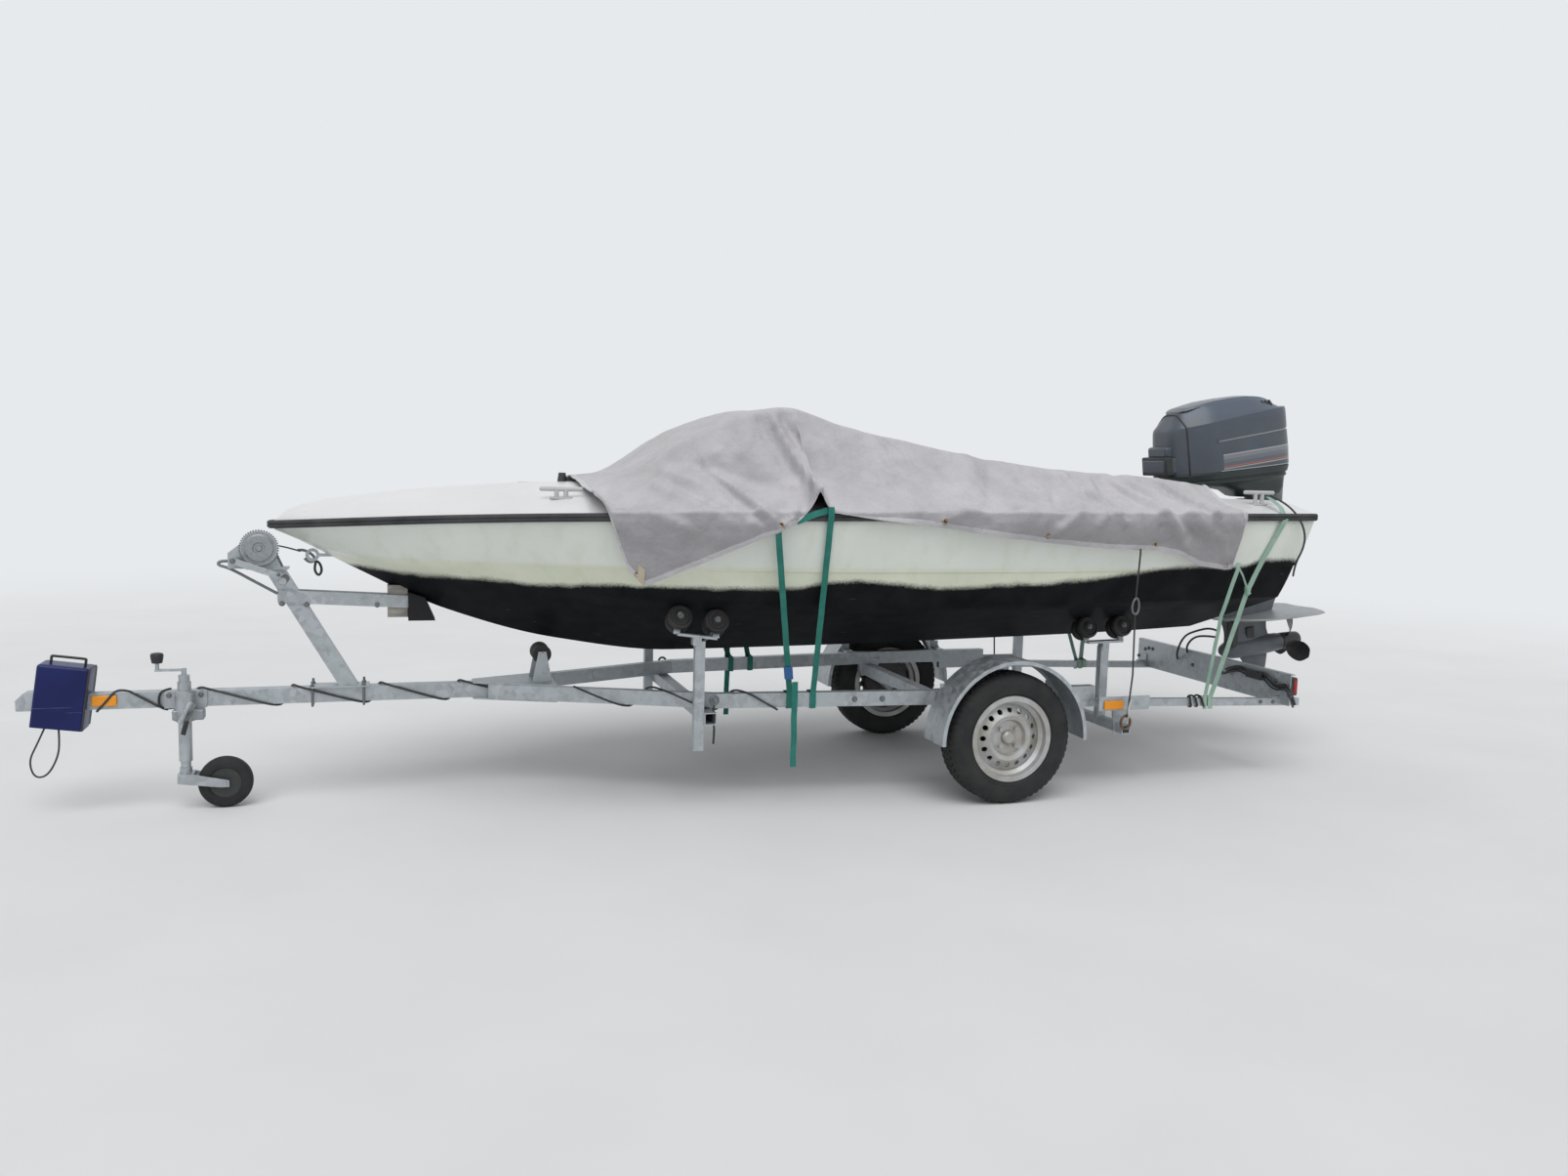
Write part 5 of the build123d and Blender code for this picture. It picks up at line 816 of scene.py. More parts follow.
# %% Cover: hem, shoulder and ridge
HEM = [(-1.745, 1.262), (-1.705, 1.232), (-1.665, 1.11), (-1.615, 0.985), (-1.552, 0.920), (-1.35, 1.008),
       (-1.14, 1.106), (-1.05, 1.142), (-0.985, 1.180), (-0.935, 1.232), (-0.905, 1.300), (-0.888, 1.262),
       (-0.862, 1.215), (-0.653, 1.187), (-0.407, 1.163), (-0.147, 1.129), (0.085, 1.105), (0.375, 1.080),
       (0.623, 1.071), (0.75, 1.052), (0.862, 1.006), (1.014, 0.986), (1.045, 0.990), (1.062, 1.12),
       (1.078, 1.21)]
SHOULDER = [(-1.745, 0.33, 1.290, 1.322), (-1.57, 0.37, 1.335, 1.350), (-1.30, 0.42, 1.500, 1.512),
            (-1.15, 0.43, 1.572, 1.582), (-1.06, 0.44, 1.604, 1.612), (-0.94, 0.44, 1.622, 1.624),
            (-0.70, 0.45, 1.560, 1.556), (-0.25, 0.46, 1.474, 1.466), (0.10, 0.47, 1.422, 1.410),
            (0.36, 0.48, 1.400, 1.386), (0.90, 0.48, 1.368, 1.356), (1.08, 0.47, 1.345, 1.338)]
hem_x, hem_height = zip(*HEM)
shoulder_x = [row[0] for row in SHOULDER]
RAIL_CLEAR, CLOTH = 0.026, 0.0016
OVER_RAIL = 0.016
HANG, OVER, SLOPE, TOP = 12, 4, 20, 12  # rows of points on each part of a section


def cover_section(x):
    """Port half of the cover's section at a place along the boat, from the hem to the middle."""
    hem = float(np.interp(x, hem_x, hem_height))
    rail_y = hull_size(x, "sheer_y") + RAIL_CLEAR
    rail_z = hull_size(x, "sheer_z") + 0.022
    shoulder_y, shoulder_z, ridge_z = (float(fair(x, shoulder_x, [row[i] for row in SHOULDER])) for i in (1,
        2, 3))
    points = []
    hang_from = max(rail_z - 0.012, hem)
    drop = hang_from - hem
    for t in np.linspace(0, 1, HANG, endpoint=False):
        below = drop * (1 - t)
        bulge = 0.010 * sin(pi * min(1, below / 0.12)) - 0.20 * max(0, below - 0.03)
        points.append((rail_y + bulge, hem + drop * t))
    for t in np.linspace(0, 1, OVER, endpoint=False):
        angle = pi / 2 * t
        points.append((rail_y - OVER_RAIL * (1 - cos(angle)), hang_from + OVER_RAIL * sin(angle)))
    foot = np.array((rail_y - OVER_RAIL, hang_from + OVER_RAIL))
    head = np.array((shoulder_y, shoulder_z))
    sag = 0.016 if x > -0.9 else 0.010
    for t in np.linspace(0, 1, SLOPE, endpoint=False):
        y, z = foot + (head - foot) * t
        on_deck = deck_z(x, y) + 0.006 if y < rail_y - 0.05 else 0
        points.append((y, max(z - sag * sin(pi * t), on_deck)))
    for t in np.linspace(0, 1, TOP + 1):
        z = ridge_z + (shoulder_z - ridge_z) * (1 - t) ** 2 - 0.006 * sin(pi * t)
        points.append((shoulder_y * (1 - t), z))
    return points


# %% Cover: folds
# Each fold runs from one place to another on the port side, with a half-width and a height
FOLDS = [
    ((-1.31, 1.385), (-1.05, 1.145), 0.030, 0.030), ((-1.31, 1.375), (-1.12, 1.165), 0.022, -0.022),
    ((-1.33, 1.39), (-1.02, 1.30), 0.045, -0.018), ((-1.31, 1.395), (-1.22, 1.44), 0.030, 0.016),
    ((-1.46, 1.36), (-1.28, 1.28), 0.035, 0.018), ((-1.50, 1.30), (-1.14, 1.15), 0.040, 0.016),
    ((-1.44, 1.30), (-1.18, 1.16), 0.022, -0.014), ((-1.52, 1.26), (-1.30, 1.09), 0.035, -0.012),
    ((-1.55, 1.20), (-1.26, 1.10), 0.035, 0.012), ((-1.60, 1.12), (-1.40, 1.02), 0.030, 0.009),
    ((-1.01, 1.60), (-0.90, 1.30), 0.016, 0.030), ((-0.97, 1.60), (-0.86, 1.34), 0.030, -0.024),
    ((-1.07, 1.58), (-0.96, 1.33), 0.045, -0.018), ((-1.08, 1.57), (-1.16, 1.40), 0.045, 0.014),
    ((-1.03, 1.15), (-0.98, 1.24), 0.014, 0.016), ((-1.01, 1.16), (-0.94, 1.26), 0.012, -0.014),
    ((-1.07, 1.15), (-1.04, 1.24), 0.013, -0.013),
    ((-0.10, 1.44), (-0.36, 1.19), 0.055, 0.014), ((-0.02, 1.43), (-0.24, 1.16), 0.040, -0.012),
    ((-0.42, 1.18), (-0.14, 1.28), 0.035, 0.010), ((-0.40, 1.17), (-0.26, 1.14), 0.020, -0.008),
    ((0.09, 1.13), (0.30, 1.30), 0.030, 0.013), ((0.06, 1.14), (0.20, 1.32), 0.024, -0.010),
    ((0.29, 1.39), (0.40, 1.24), 0.024, 0.022), ((0.40, 1.24), (0.44, 1.17), 0.018, 0.016),
    ((0.33, 1.38), (0.36, 1.22), 0.018, -0.020), ((0.26, 1.38), (0.12, 1.18), 0.032, -0.014),
    ((0.46, 1.38), (0.47, 1.20), 0.020, -0.018), ((0.44, 1.38), (0.30, 1.16), 0.020, 0.014),
    ((0.52, 1.385), (0.79, 1.06), 0.026, 0.026), ((0.57, 1.385), (0.84, 1.10), 0.022, -0.020),
    ((0.50, 1.38), (0.66, 1.12), 0.026, -0.016), ((0.62, 1.38), (0.92, 1.12), 0.030, 0.012),
    ((0.79, 1.37), (0.93, 1.22), 0.016, 0.024), ((0.93, 1.22), (1.00, 1.02), 0.020, 0.020),
    ((0.77, 1.365), (0.96, 1.14), 0.020, -0.020), ((0.95, 1.36), (1.04, 1.16), 0.018, 0.012),
    ((1.00, 1.35), (1.02, 1.05), 0.022, -0.010), ((0.61, 1.09), (0.82, 1.14), 0.028, -0.010),
]
AFT_FOLDS, FRONT_FOLDS = FOLDS[17:], FOLDS[:13]
STARBOARD_FOLDS = [((a[0] + 0.05, a[1]), (b[0] - 0.04, b[1]), w * 1.2, -h * 0.8) for a, b, w, h in AFT_FOLDS]
STARBOARD_FOLDS += FRONT_FOLDS


def fold_height(x, z, folds):
    """Sum of the folds at places given by length and height."""
    total = np.zeros_like(x)
    for (ax, az), (bx, bz), width, height in folds:
        span = hypot(bx - ax, bz - az)
        along = np.clip(((x - ax) * (bx - ax) + (z - az) * (bz - az)) / span ** 2, -0.25, 1.25)
        off = np.hypot(x - ax - (bx - ax) * along, z - az - (bz - az) * along)
        fading = np.clip(1 - (2 * along - 1) ** 4, 0, 1) ** 0.5
        total += 1.2 * height * fading * np.exp(-1.3 * (off / width) ** 1.3)
    return total


# %% Cover: the sheet
COVER_FROM, COVER_TO = HEM[0][0], HEM[-1][0]
TUCK_HALF, TUCK_BLEND, TUCK_DEEP, TUCK_FROM = 0.465, 0.08, 0.168, 0.55
CRINKLES = ((0.006, 5), (0.0035, 13), (0.0016, 34))
places = np.unique(np.concatenate([np.linspace(COVER_FROM, COVER_TO, 170), [-0.905, -0.888, 1.045, -1.552]]))
half = np.array([cover_section(x) for x in places])
port = np.stack([np.repeat(places[:, None], half.shape[1], 1), -half[:, :, 0], half[:, :, 1]], 2)
starboard = port[:, -2::-1] * (1, -1, 1)
sheet = np.concatenate([port, starboard], 1)
# Ahead of the motor the aft end is tucked forward, so that the hood can tilt
tucked = np.clip((TUCK_HALF - np.abs(sheet[:, :, 1])) / TUCK_BLEND, 0, 1)
tucked = tucked ** 2 * (3 - 2 * tucked)
sheet[:, :, 0] -= TUCK_DEEP * tucked * np.clip((sheet[:, :, 0] - TUCK_FROM) / (COVER_TO - TUCK_FROM), 0, 1)
along_boat, across_boat = np.gradient(sheet, axis=0), np.gradient(sheet, axis=1)
facing = np.cross(along_boat, across_boat)
facing /= np.linalg.norm(facing, axis=2)[:, :, None] + 1e-9
if facing[80, half.shape[1], 2] < 0:
    facing = -facing
middle = half.shape[1]
lift = np.zeros(sheet.shape[:2])
lift[:, :middle] = fold_height(sheet[:, :middle, 0], sheet[:, :middle, 2], FOLDS)
lift[:, middle:] = fold_height(sheet[:, middle:, 0], sheet[:, middle:, 2], STARBOARD_FOLDS)
on_top = np.clip((0.46 - np.abs(sheet[:, :, 1])) / 0.12, 0, 1)
lift *= 1 - 0.7 * on_top
for (i, j), _ in np.ndenumerate(lift):
    spot = Vector(sheet[i, j])
    lift[i, j] += sum(height * noise.noise(spot * scale) for height, scale in CRINKLES)
near_rail = np.exp(-((sheet[:, :, 2] - 1.215) / 0.03) ** 2) * (np.abs(sheet[:, :, 1]) > 0.6)
lift = np.where(lift < 0, lift * (1 - 0.85 * near_rail), lift)
sheet = sheet + facing * lift[:, :, None]
sheet[:, :, 0] += axle_x
cloth = skin("cover_sheet", sheet, outward=False)
face_up(cloth)
cloth.materials.append(cover_cloth)
cloth.materials.append(cover_hem)
uses = {}
for polygon in cloth.polygons:
    for key in polygon.edge_keys:
        uses[key] = uses.get(key, 0) + 1
border = {v for key, count in uses.items() if count == 1 for v in key}
for polygon in cloth.polygons:
    if sum(v in border for v in polygon.vertices) >= 2:
        polygon.material_index = 1
cover = piece("cover_tarpaulin", cloth, cover_cloth, 60)
softened(cover)
walled(cover, CLOTH, 1)
settled(cover)
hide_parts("cover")

# %% [markdown]
# A hem is a strip folded over and stitched down, so the border is a paler band a little proud of the
# cloth. Brass eyelets sit just above it, each at the foot of a pull in the cloth, and a hide patch
# strengthens the front corner, where the cloth is tugged hardest.

# %% Cover: hem, eyelets and corner patch
HEM_WIDTH, HEM_PROUD, ON_CLOTH = 0.022, 0.0022, 0.0002


def inset(line, distance):
    """Point that far along a line from its first point."""
    steps = np.linalg.norm(np.diff(line, axis=0), axis=1)
    reach = np.concatenate([[0], np.cumsum(steps)])
    return np.array([np.interp(distance, reach, line[:, k]) for k in range(3)])


def hem_band(name, lines, facings):
    """Band along the first points of the lines, facing outwards."""
    rows = []
    for line, out in zip(lines, facings):
        proud = out * (CLOTH + HEM_PROUD)
        rows.append([line[0] - out * 0.0005, line[0] + proud, inset(line, HEM_WIDTH * 0.5) + proud,
                     inset(line, HEM_WIDTH) + out * (CLOTH + ON_CLOTH)])
    band = piece(name, skin(name, rows, outward=False), cover_hem, 60)
    outward = sum((Vector(facings[0]).dot(polygon.normal) for polygon in band.data.polygons[:3]), 0.0)
    if outward < 0:
        band.data.flip_normals()
    return band


last = sheet.shape[1] - 1
hems = [hem_band("cover_hem_port", [sheet[i, :8] for i in range(len(sheet))], facing[:, 1]),
        hem_band("cover_hem_starboard", [sheet[i, :last - 8:-1] for i in range(len(sheet))], facing[:, -2]),
        hem_band("cover_hem_fore", [sheet[:6, j] for j in range(last + 1)], facing[1]),
        hem_band("cover_hem_aft", [sheet[:-7:-1, j] for j in range(last + 1)], facing[-2])]

EYELETS, EYELET_UP, EYELET_RADIUS = (-1.575, -1.058, -0.868, -0.398, 0.079, 0.612, 1.006), 0.024, 0.0125
reach = middle // 2 + 4
eyelet_places = []
for x in EYELETS:
    z = float(np.interp(x, hem_x, hem_height)) + EYELET_UP
    for start in (0, sheet.shape[1] - reach):
        part = sheet[:, start:start + reach]
        off = np.hypot(part[:, :, 0] - axle_x - x, part[:, :, 2] - z)
        i, j = np.unravel_index(np.argmin(off), off.shape)
        out = facing[i, start + j]
        eyelet_places.append((tuple(part[i, j] + out * (CLOTH + ON_CLOTH)), tuple(out), EYELET_RADIUS))
rings = repeated("cover_eyelets", eyelet_shape, eyelet_places, brass)
# Painted shade: a dark disc in each eyelet stands for the shaded gap behind its opening.
hole_shades = repeated("cover_eyelet_holes", hole_shade_shape, eyelet_places, dark_plastic)
patches = []
for word, columns in (("port", range(0, 4)), ("starboard", range(last - 3, last + 1))):
    rows = [[sheet[i, j] + facing[i, j] * (CLOTH + HEM_PROUD + 0.001) for j in columns]
            for i in range(len(places)) if -1.585 < places[i] < -1.55]
    patches.append(piece(f"corner_patch_{word}", skin("patch", rows, outward=False), cream_hide, 60))
    if (patches[-1].data.polygons[0].normal.y > 0) == (word == "port"):
        patches[-1].data.flip_normals()
print("eyelets", len(eyelet_places))

# %% [markdown]
# The outboard hangs from its tilt pin and leans back a few degrees, so its parts are drawn upright
# from that pin and leant afterwards. The hood is a ring drawn at several heights: a rounded box
# with a sloping shoulder, a chamfered flank and a raised crown, which is how such hoods are
# moulded to look low and fast.

# %% Outboard: places and hood
TILT_PIN = Vector(at(1.560, 0, 1.250))
TRIM = radians(7)


def leant(x, y, z):
    """A place given upright from the tilt pin, leant back with the outboard."""
    return (TILT_PIN.x + x * cos(TRIM) - z * sin(TRIM), y, TILT_PIN.z + x * sin(TRIM) + z * cos(TRIM))


HOOD_FORE, HOOD_AFT, HOOD_HALF, HOOD_FOOT = -0.366, 0.302, 0.178, 0.182
NOSE_FROM, NOSE_LONG, NOSE_NARROW = -0.17, 0.21, 0.34
CROWN = [(-0.44, 0.40), (-0.40, 0.432), (-0.32, 0.485), (-0.21, 0.510), (-0.08, 0.530), (0.06, 0.536),
         (0.15, 0.528), (0.22, 0.507), (0.258, 0.470), (0.30, 0.44)]
GROOVE, GROOVE_DEEP, GROOVE_FORE = 0.62, 0.0045, -0.15


def crown_z(x):
    """Height of the hood's top."""
    return float(fair(x, *zip(*CROWN)))


def shoulder_line(x):
    """Height of the hood's shoulder, which rises aft."""
    return 0.424 + 0.112 * (x + 0.14)


def rounded_box(t, fore, aft, half, square=5.0):
    """Point at a share of the way round a box with soft corners."""
    angle = 2 * pi * t
    middle, reach = (fore + aft) / 2, (aft - fore) / 2
    c, s = cos(angle), sin(angle)
    return (middle + reach * np.sign(c) * abs(c) ** (2 / square), half * np.sign(s) * abs(s) ** (2 / square))


def nose_share(x):
    """How far the hood narrows towards its front."""
    return 1 - NOSE_NARROW * max(0, min(1, (NOSE_FROM - x) / NOSE_LONG)) ** 1.3


def hood_row(spread, rise, groove=0.0, crown=0.0):
    """Ring of the hood: grown by the spread, at a share of the wall's height, or up on the crown."""
    ring = []
    for i in range(96):
        x, y = rounded_box(i / 96, HOOD_FORE - spread, HOOD_AFT + spread, HOOD_HALF + spread)
        y *= nose_share(x)
        if crown:
            x = x * (1 - 0.16 * crown) + 0.006 * crown
            y *= 1 - crown * 0.42
            z = shoulder_line(x) * (1 - crown) + crown * (crown_z(x) - 0.010)
        else:
            z = HOOD_FOOT + rise * (shoulder_line(x) - HOOD_FOOT)
            x *= 1 - 0.012 * rise
            y *= 1 - 0.05 * rise
        if x > GROOVE_FORE:
            y -= groove * np.sign(y)
        ring.append(leant(x, y, z))
    return ring


hood_rows = [hood_row(-0.004, 0.0), hood_row(0, 0.01), hood_row(0.002, 0.30), hood_row(0, GROOVE - 0.022)]
hood_rows += [hood_row(0, GROOVE - 0.014, GROOVE_DEEP), hood_row(0, GROOVE + 0.014, GROOVE_DEEP)]
hood_rows += [hood_row(0, GROOVE + 0.022), hood_row(0, 0.80), hood_row(-0.001, 0.94), hood_row(-0.003, 0.985)]
hood_rows += [hood_row(-0.008, 0, crown=c) for c in (0.06, 0.30, 0.60, 0.86, 0.96)]
top_ring = []
for share, raise_by in ((0.52, 0.000), (0.49, 0.007), (0.44, 0.009), (0.22, 0.012), (0.0, 0.013)):
    ring = []
    for i in range(96):
        x, y = rounded_box(i / 96, HOOD_FORE + 0.075, HOOD_AFT - 0.052, HOOD_HALF * share)
        ring.append(leant(x, y, crown_z(x) - 0.008 + raise_by * min(1, max(0, (x + 0.30) / 0.05))))
    top_ring.append(ring)
hood_mesh = skin("cowl_hood", hood_rows + top_ring, around=True)
hood = piece("cowl_hood", hood_mesh, engine_paint, 24, LEG_BODY)
print("hood", len(hood.data.polygons), "faces")

# %% [markdown]
# The hood's paint is a dark slate blue with a sprayed stripe along each flank: three greys, a red
# line and a pale line, and no lettering. The stripe is worked out from the height above the pin in
# the leant frame, so it follows the hood exactly and needs no picture.

# %% Hood paint with its stripe
hood_paint, tree, shader = finish("hood enamel", Roughness=0.34, Coat_Weight=0.35, Coat_Roughness=0.22)
parts = axes(tree)
aft_of, over = sums(tree, "SUBTRACT", parts["X"], TILT_PIN.x), sums(tree, "SUBTRACT", parts["Z"], TILT_PIN.z)
straight_x = sums(tree, "ADD", sums(tree, "MULTIPLY", aft_of, cos(TRIM)),
                  sums(tree, "MULTIPLY", over, sin(TRIM)))
straight_z = sums(tree, "SUBTRACT", sums(tree, "MULTIPLY", over, cos(TRIM)),
                  sums(tree, "MULTIPLY", aft_of, sin(TRIM)))
band = sums(tree, "SUBTRACT", straight_z, sums(tree, "MULTIPLY", straight_x, 0.045))
slate = ramp(tree, clouds(tree, 4, 5), (0.35, (0.046, 0.058, 0.078)), (0.7, (0.066, 0.081, 0.104)))
STRIPE_FROM, STRIPE_TO, STRIPE_FORE = 0.196, 0.272, -0.135
stripe = node(tree, "ShaderNodeValToRGB", {"Fac": mapped(tree, band, STRIPE_FROM, STRIPE_TO)})
stripe.color_ramp.interpolation = "CONSTANT"
bands = [(0.0, (0.10, 0.11, 0.12)), (0.05, (0.42, 0.40, 0.38)), (0.10, (0.075, 0.09, 0.115)),
         (0.16, (0.50, 0.10, 0.07)), (0.21, (0.10, 0.115, 0.14)), (0.45, (0.14, 0.155, 0.18)),
         (0.68, (0.20, 0.215, 0.235)), (0.92, (0.34, 0.35, 0.36))]
while len(stripe.color_ramp.elements) < len(bands):
    stripe.color_ramp.elements.new(0.5)
for element, (spot, tone) in zip(stripe.color_ramp.elements, bands):
    element.position, element.color = spot, (*tone, 1)
within = sums(tree, "MULTIPLY", sums(tree, "COMPARE", band, (STRIPE_FROM + STRIPE_TO) / 2,
                                     (STRIPE_TO - STRIPE_FROM) / 2),
              sums(tree, "GREATER_THAN", straight_x, STRIPE_FORE))
sideways = axes(tree, "ShaderNodeNewGeometry", "Normal")["Y"]
side_on = sums(tree, "GREATER_THAN", sums(tree, "ABSOLUTE", sideways), 0.6)
paint = blend(tree, sums(tree, "MULTIPLY", within, side_on), slate, stripe.outputs[0])
groove_rise = sums(tree, "SUBTRACT", straight_z, sums(tree, "MULTIPLY", straight_x, 0.0694))
edges = sums(tree, "ADD", sums(tree, "COMPARE", groove_rise, 0.3417, 0.0035),
             sums(tree, "COMPARE", straight_z, 0.186, 0.003))
lines = sums(tree, "MULTIPLY", edges, sums(tree, "GREATER_THAN", straight_x, GROOVE_FORE))
paint = blend(tree, sums(tree, "MULTIPLY", sums(tree, "MULTIPLY", lines, 0.8), side_on), paint,
              (0.42, 0.44, 0.46))
flank = mapped(tree, straight_z, 0.425, 0.47)
paint = blend(tree, sums(tree, "MULTIPLY", sums(tree, "MULTIPLY", flank, 0.5), side_on), paint,
              (0.07, 0.10, 0.16))
colour(tree, shader, blend(tree, ramp(tree, clouds(tree, 30, 6, rough=0.7), (0.6, 0.0), (0.8, 0.25)), paint,
                           (0.20, 0.20, 0.19)))
relief(tree, shader, clouds(tree, 300, 2), 0.0001, 0.4)
hood.data.materials[0] = hood_paint


# %% Seam gasket, lower pan and intake box
def cut_line(thing, point, normal):
    """Points round an object where a plane cuts it, in order."""
    work = bmesh.new()
    work.from_mesh(thing.data)
    cut = bmesh.ops.bisect_plane(work, geom=[*work.verts, *work.edges, *work.faces], plane_co=point,
                                 plane_no=normal)
    verts = [v for v in cut["geom_cut"] if isinstance(v, bmesh.types.BMVert)]
    middle = sum((v.co for v in verts), Vector()) / len(verts)
    across = Vector(normal).cross((0, 1, 0)).normalized()
    verts.sort(key=lambda v: atan2((v.co - middle).dot(across), v.co.y - middle.y))
    points = [v.co.copy() for v in verts]
    work.free()
    return points


seam = cut_line(hood, leant(-0.30, 0, 0.3), Vector((cos(TRIM), 0, sin(TRIM))))
gasket_rows = carried([seam[-1], *seam, *seam[:2]], circle(0.0045, 8), (0.99, 0.02, 0.12))[1:-1]
piece("hood_gasket", skin("hood_gasket", gasket_rows, around=True), dark_plastic, 50, LEG_BODY)

pan_rows = []
for z, fore, aft, half in ((0.034, 0.070, 0.262, 0.088), (0.040, 0.056, 0.278, 0.104),
                           (0.070, 0.020, 0.288, 0.118), (0.104, -0.100, 0.290, 0.130),
                           (0.121, -0.345, 0.288, 0.150), (0.127, -0.356, 0.289, 0.164),
                           (0.136, -0.358, 0.291, 0.170), (0.140, -0.355, 0.288, 0.166),
                           (0.146, -0.355, 0.288, 0.166), (0.150, -0.360, 0.295, 0.172),
                           (0.178, -0.366, 0.302, 0.178), (0.183, -0.362, 0.298, 0.174)):
    ring = []
    for i in range(96):
        x, y = rounded_box(i / 96, fore, aft, half)
        y *= nose_share(x)
        ring.append(leant(x, y, z))
    pan_rows.append(ring)
pan = piece("cowl_lower_pan", solid("cowl_lower_pan", pan_rows), pan_paint, 30, LEG_BODY)
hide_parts("cowl_pan")


def moulded_box(name, length, half, height, look, bevel, body=TRAILER, place=leant):
    """Box with rounded edges, from its ends along X and Z; the place turns them into the frame's."""
    fore, aft = length
    rows = [[place(x, y, z) for x, y in ((fore, -half), (aft, -half), (aft, half),
                                         (fore, half))] for z in height]
    thing = piece(name, solid(name, rows), look, 40, body)
    edge = thing.modifiers.new("edge", "BEVEL")
    edge.width, edge.segments = bevel, 3
    return settled(thing)


moulded_box("intake_box", (-0.402, -0.30), 0.098, (0.190, 0.270), engine_paint, 0.012, LEG_BODY)
moulded_box("intake_frame", (-0.408, -0.37), 0.102, (0.186, 0.276), dark_plastic, 0.006, LEG_BODY)
moulded_box("intake_face", (-0.414, -0.40), 0.086, (0.200, 0.262), engine_paint, 0.006, LEG_BODY)
moulded_box("intake_cap", (-0.392, -0.28), 0.076, (0.268, 0.325), engine_paint, 0.014, LEG_BODY)
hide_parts("cowl")
VENT_X, VENT_APART, VENT_HALF = 0.150, 0.022, 0.005
for k in range(3):
    for side, word in SIDES:
        x = VENT_X + VENT_APART * k
        vent_rows = [[leant(x + way * VENT_HALF, side * (y + out), z + out) for way, y, z in (
            (-1, 0.128, 0.478), (1, 0.128, 0.478), (1, 0.108, 0.502), (-1, 0.108, 0.502))] for out in (-0.004,
                                                                                                       0.006)]
        piece(f"hood_vent_{k}_{word}", solid("vent", vent_rows), dark_plastic, 30, LEG_BODY)

# %% [markdown]
# Leg, gearcase and fin are one casting on the real engine: a streamlined column that narrows
# downwards, a wide fin over the propeller, and a torpedo that holds the gears. Each is a loft of
# streamlined sections, blunt in front and thin behind, drawn through a few sizes.

# %% Leg, gearcase and fin
def foil(count=40):
    """Streamlined outline, from -1 in front to 1 behind, with half-width 1."""
    ring = []
    for i in range(count):
        angle = 2 * pi * i / count
        x = -cos(angle)
        ring.append((x, sin(angle) * (1 - 0.28 * (x + 0.2))))
    return ring


def foil_loft(name, sizes, heights, slim=1.0):
    """Casting through streamlined sections, from rows of height, middle, half-length and half-width."""
    columns = list(zip(*sizes))
    rows = []
    for z in heights:
        middle, chord, half = (float(fair(z, columns[0], columns[i])) for i in (1, 2, 3))
        rows.append([leant(middle + chord * x, half * y * slim, z) for x, y in foil()])
    return solid(name, rows)


def on_shaft(name, profile, count):
    """Casting turned about the propeller's shaft, from rows of place along it and radius."""
    return solid(name, [[leant(x, y, PROP_Z + z) for y, z in circle(r, count)] for x, r in profile])


PROP_Z = -0.748
LEG_SIZES = [(0.127, 0.235, 0.125, 0.095), (0.06, 0.240, 0.112, 0.074), (-0.04, 0.240, 0.105, 0.058),
             (-0.20, 0.234, 0.100, 0.050), (-0.36, 0.215, 0.103, 0.046), (-0.46, 0.165, 0.140, 0.042),
             (-0.53, 0.120, 0.162, 0.039), (-0.578, 0.098, 0.163, 0.038)]
leg = piece("leg_casting", foil_loft("leg_casting", LEG_SIZES, np.linspace(0.140, -0.578, 44), 0.95),
            leg_paint, 40, LEG_BODY)

GEAR_SIZES = [(-0.575, 0.088, 0.152, 0.036), (-0.60, 0.090, 0.140, 0.028), (-0.66, 0.094, 0.130, 0.026),
              (-0.70, 0.098, 0.135, 0.034), (-0.735, 0.105, 0.150, 0.040)]
strut = foil_loft("gearcase strut", GEAR_SIZES, np.linspace(-0.575, -0.735, 20))
TORPEDO = [(-0.072, 0.001), (-0.069, 0.012), (-0.058, 0.026), (-0.035, 0.039), (0.0, 0.048), (0.05, 0.052),
           (0.14, 0.053), (0.22, 0.050), (0.28, 0.046), (0.297, 0.043), (0.300, 0.036), (0.300, 0.001)]
torpedo = on_shaft("torpedo", TORPEDO, 40)
SKEG = [(-0.775, 0.035, 0.225), (-0.81, 0.060, 0.222), (-0.86, 0.092, 0.212), (-0.91, 0.122, 0.196),
        (-0.936, 0.142, 0.178)]
rows = []
for z, fore, aft in SKEG:
    middle, chord = (fore + aft) / 2, (aft - fore) / 2
    rows.append([leant(middle + chord * x, 0.0075 * y, z) for x, y in foil(24)])
skeg = solid("skeg", rows)
gearcase = piece("gearcase_casting", joined("gearcase_casting", strut, torpedo, skeg), leg_paint, 40,
                 LEG_BODY)

FIN = [(-0.100, 0.004), (-0.085, 0.040), (-0.045, 0.080), (0.02, 0.130), (0.12, 0.185), (0.24, 0.203),
       (0.38, 0.207), (0.425, 0.198), (0.440, 0.165), (0.440, 0.10), (0.425, 0.05), (0.418, 0.0)]
FIN_MIDDLE, FIN_THICK = 0.17, 0.006


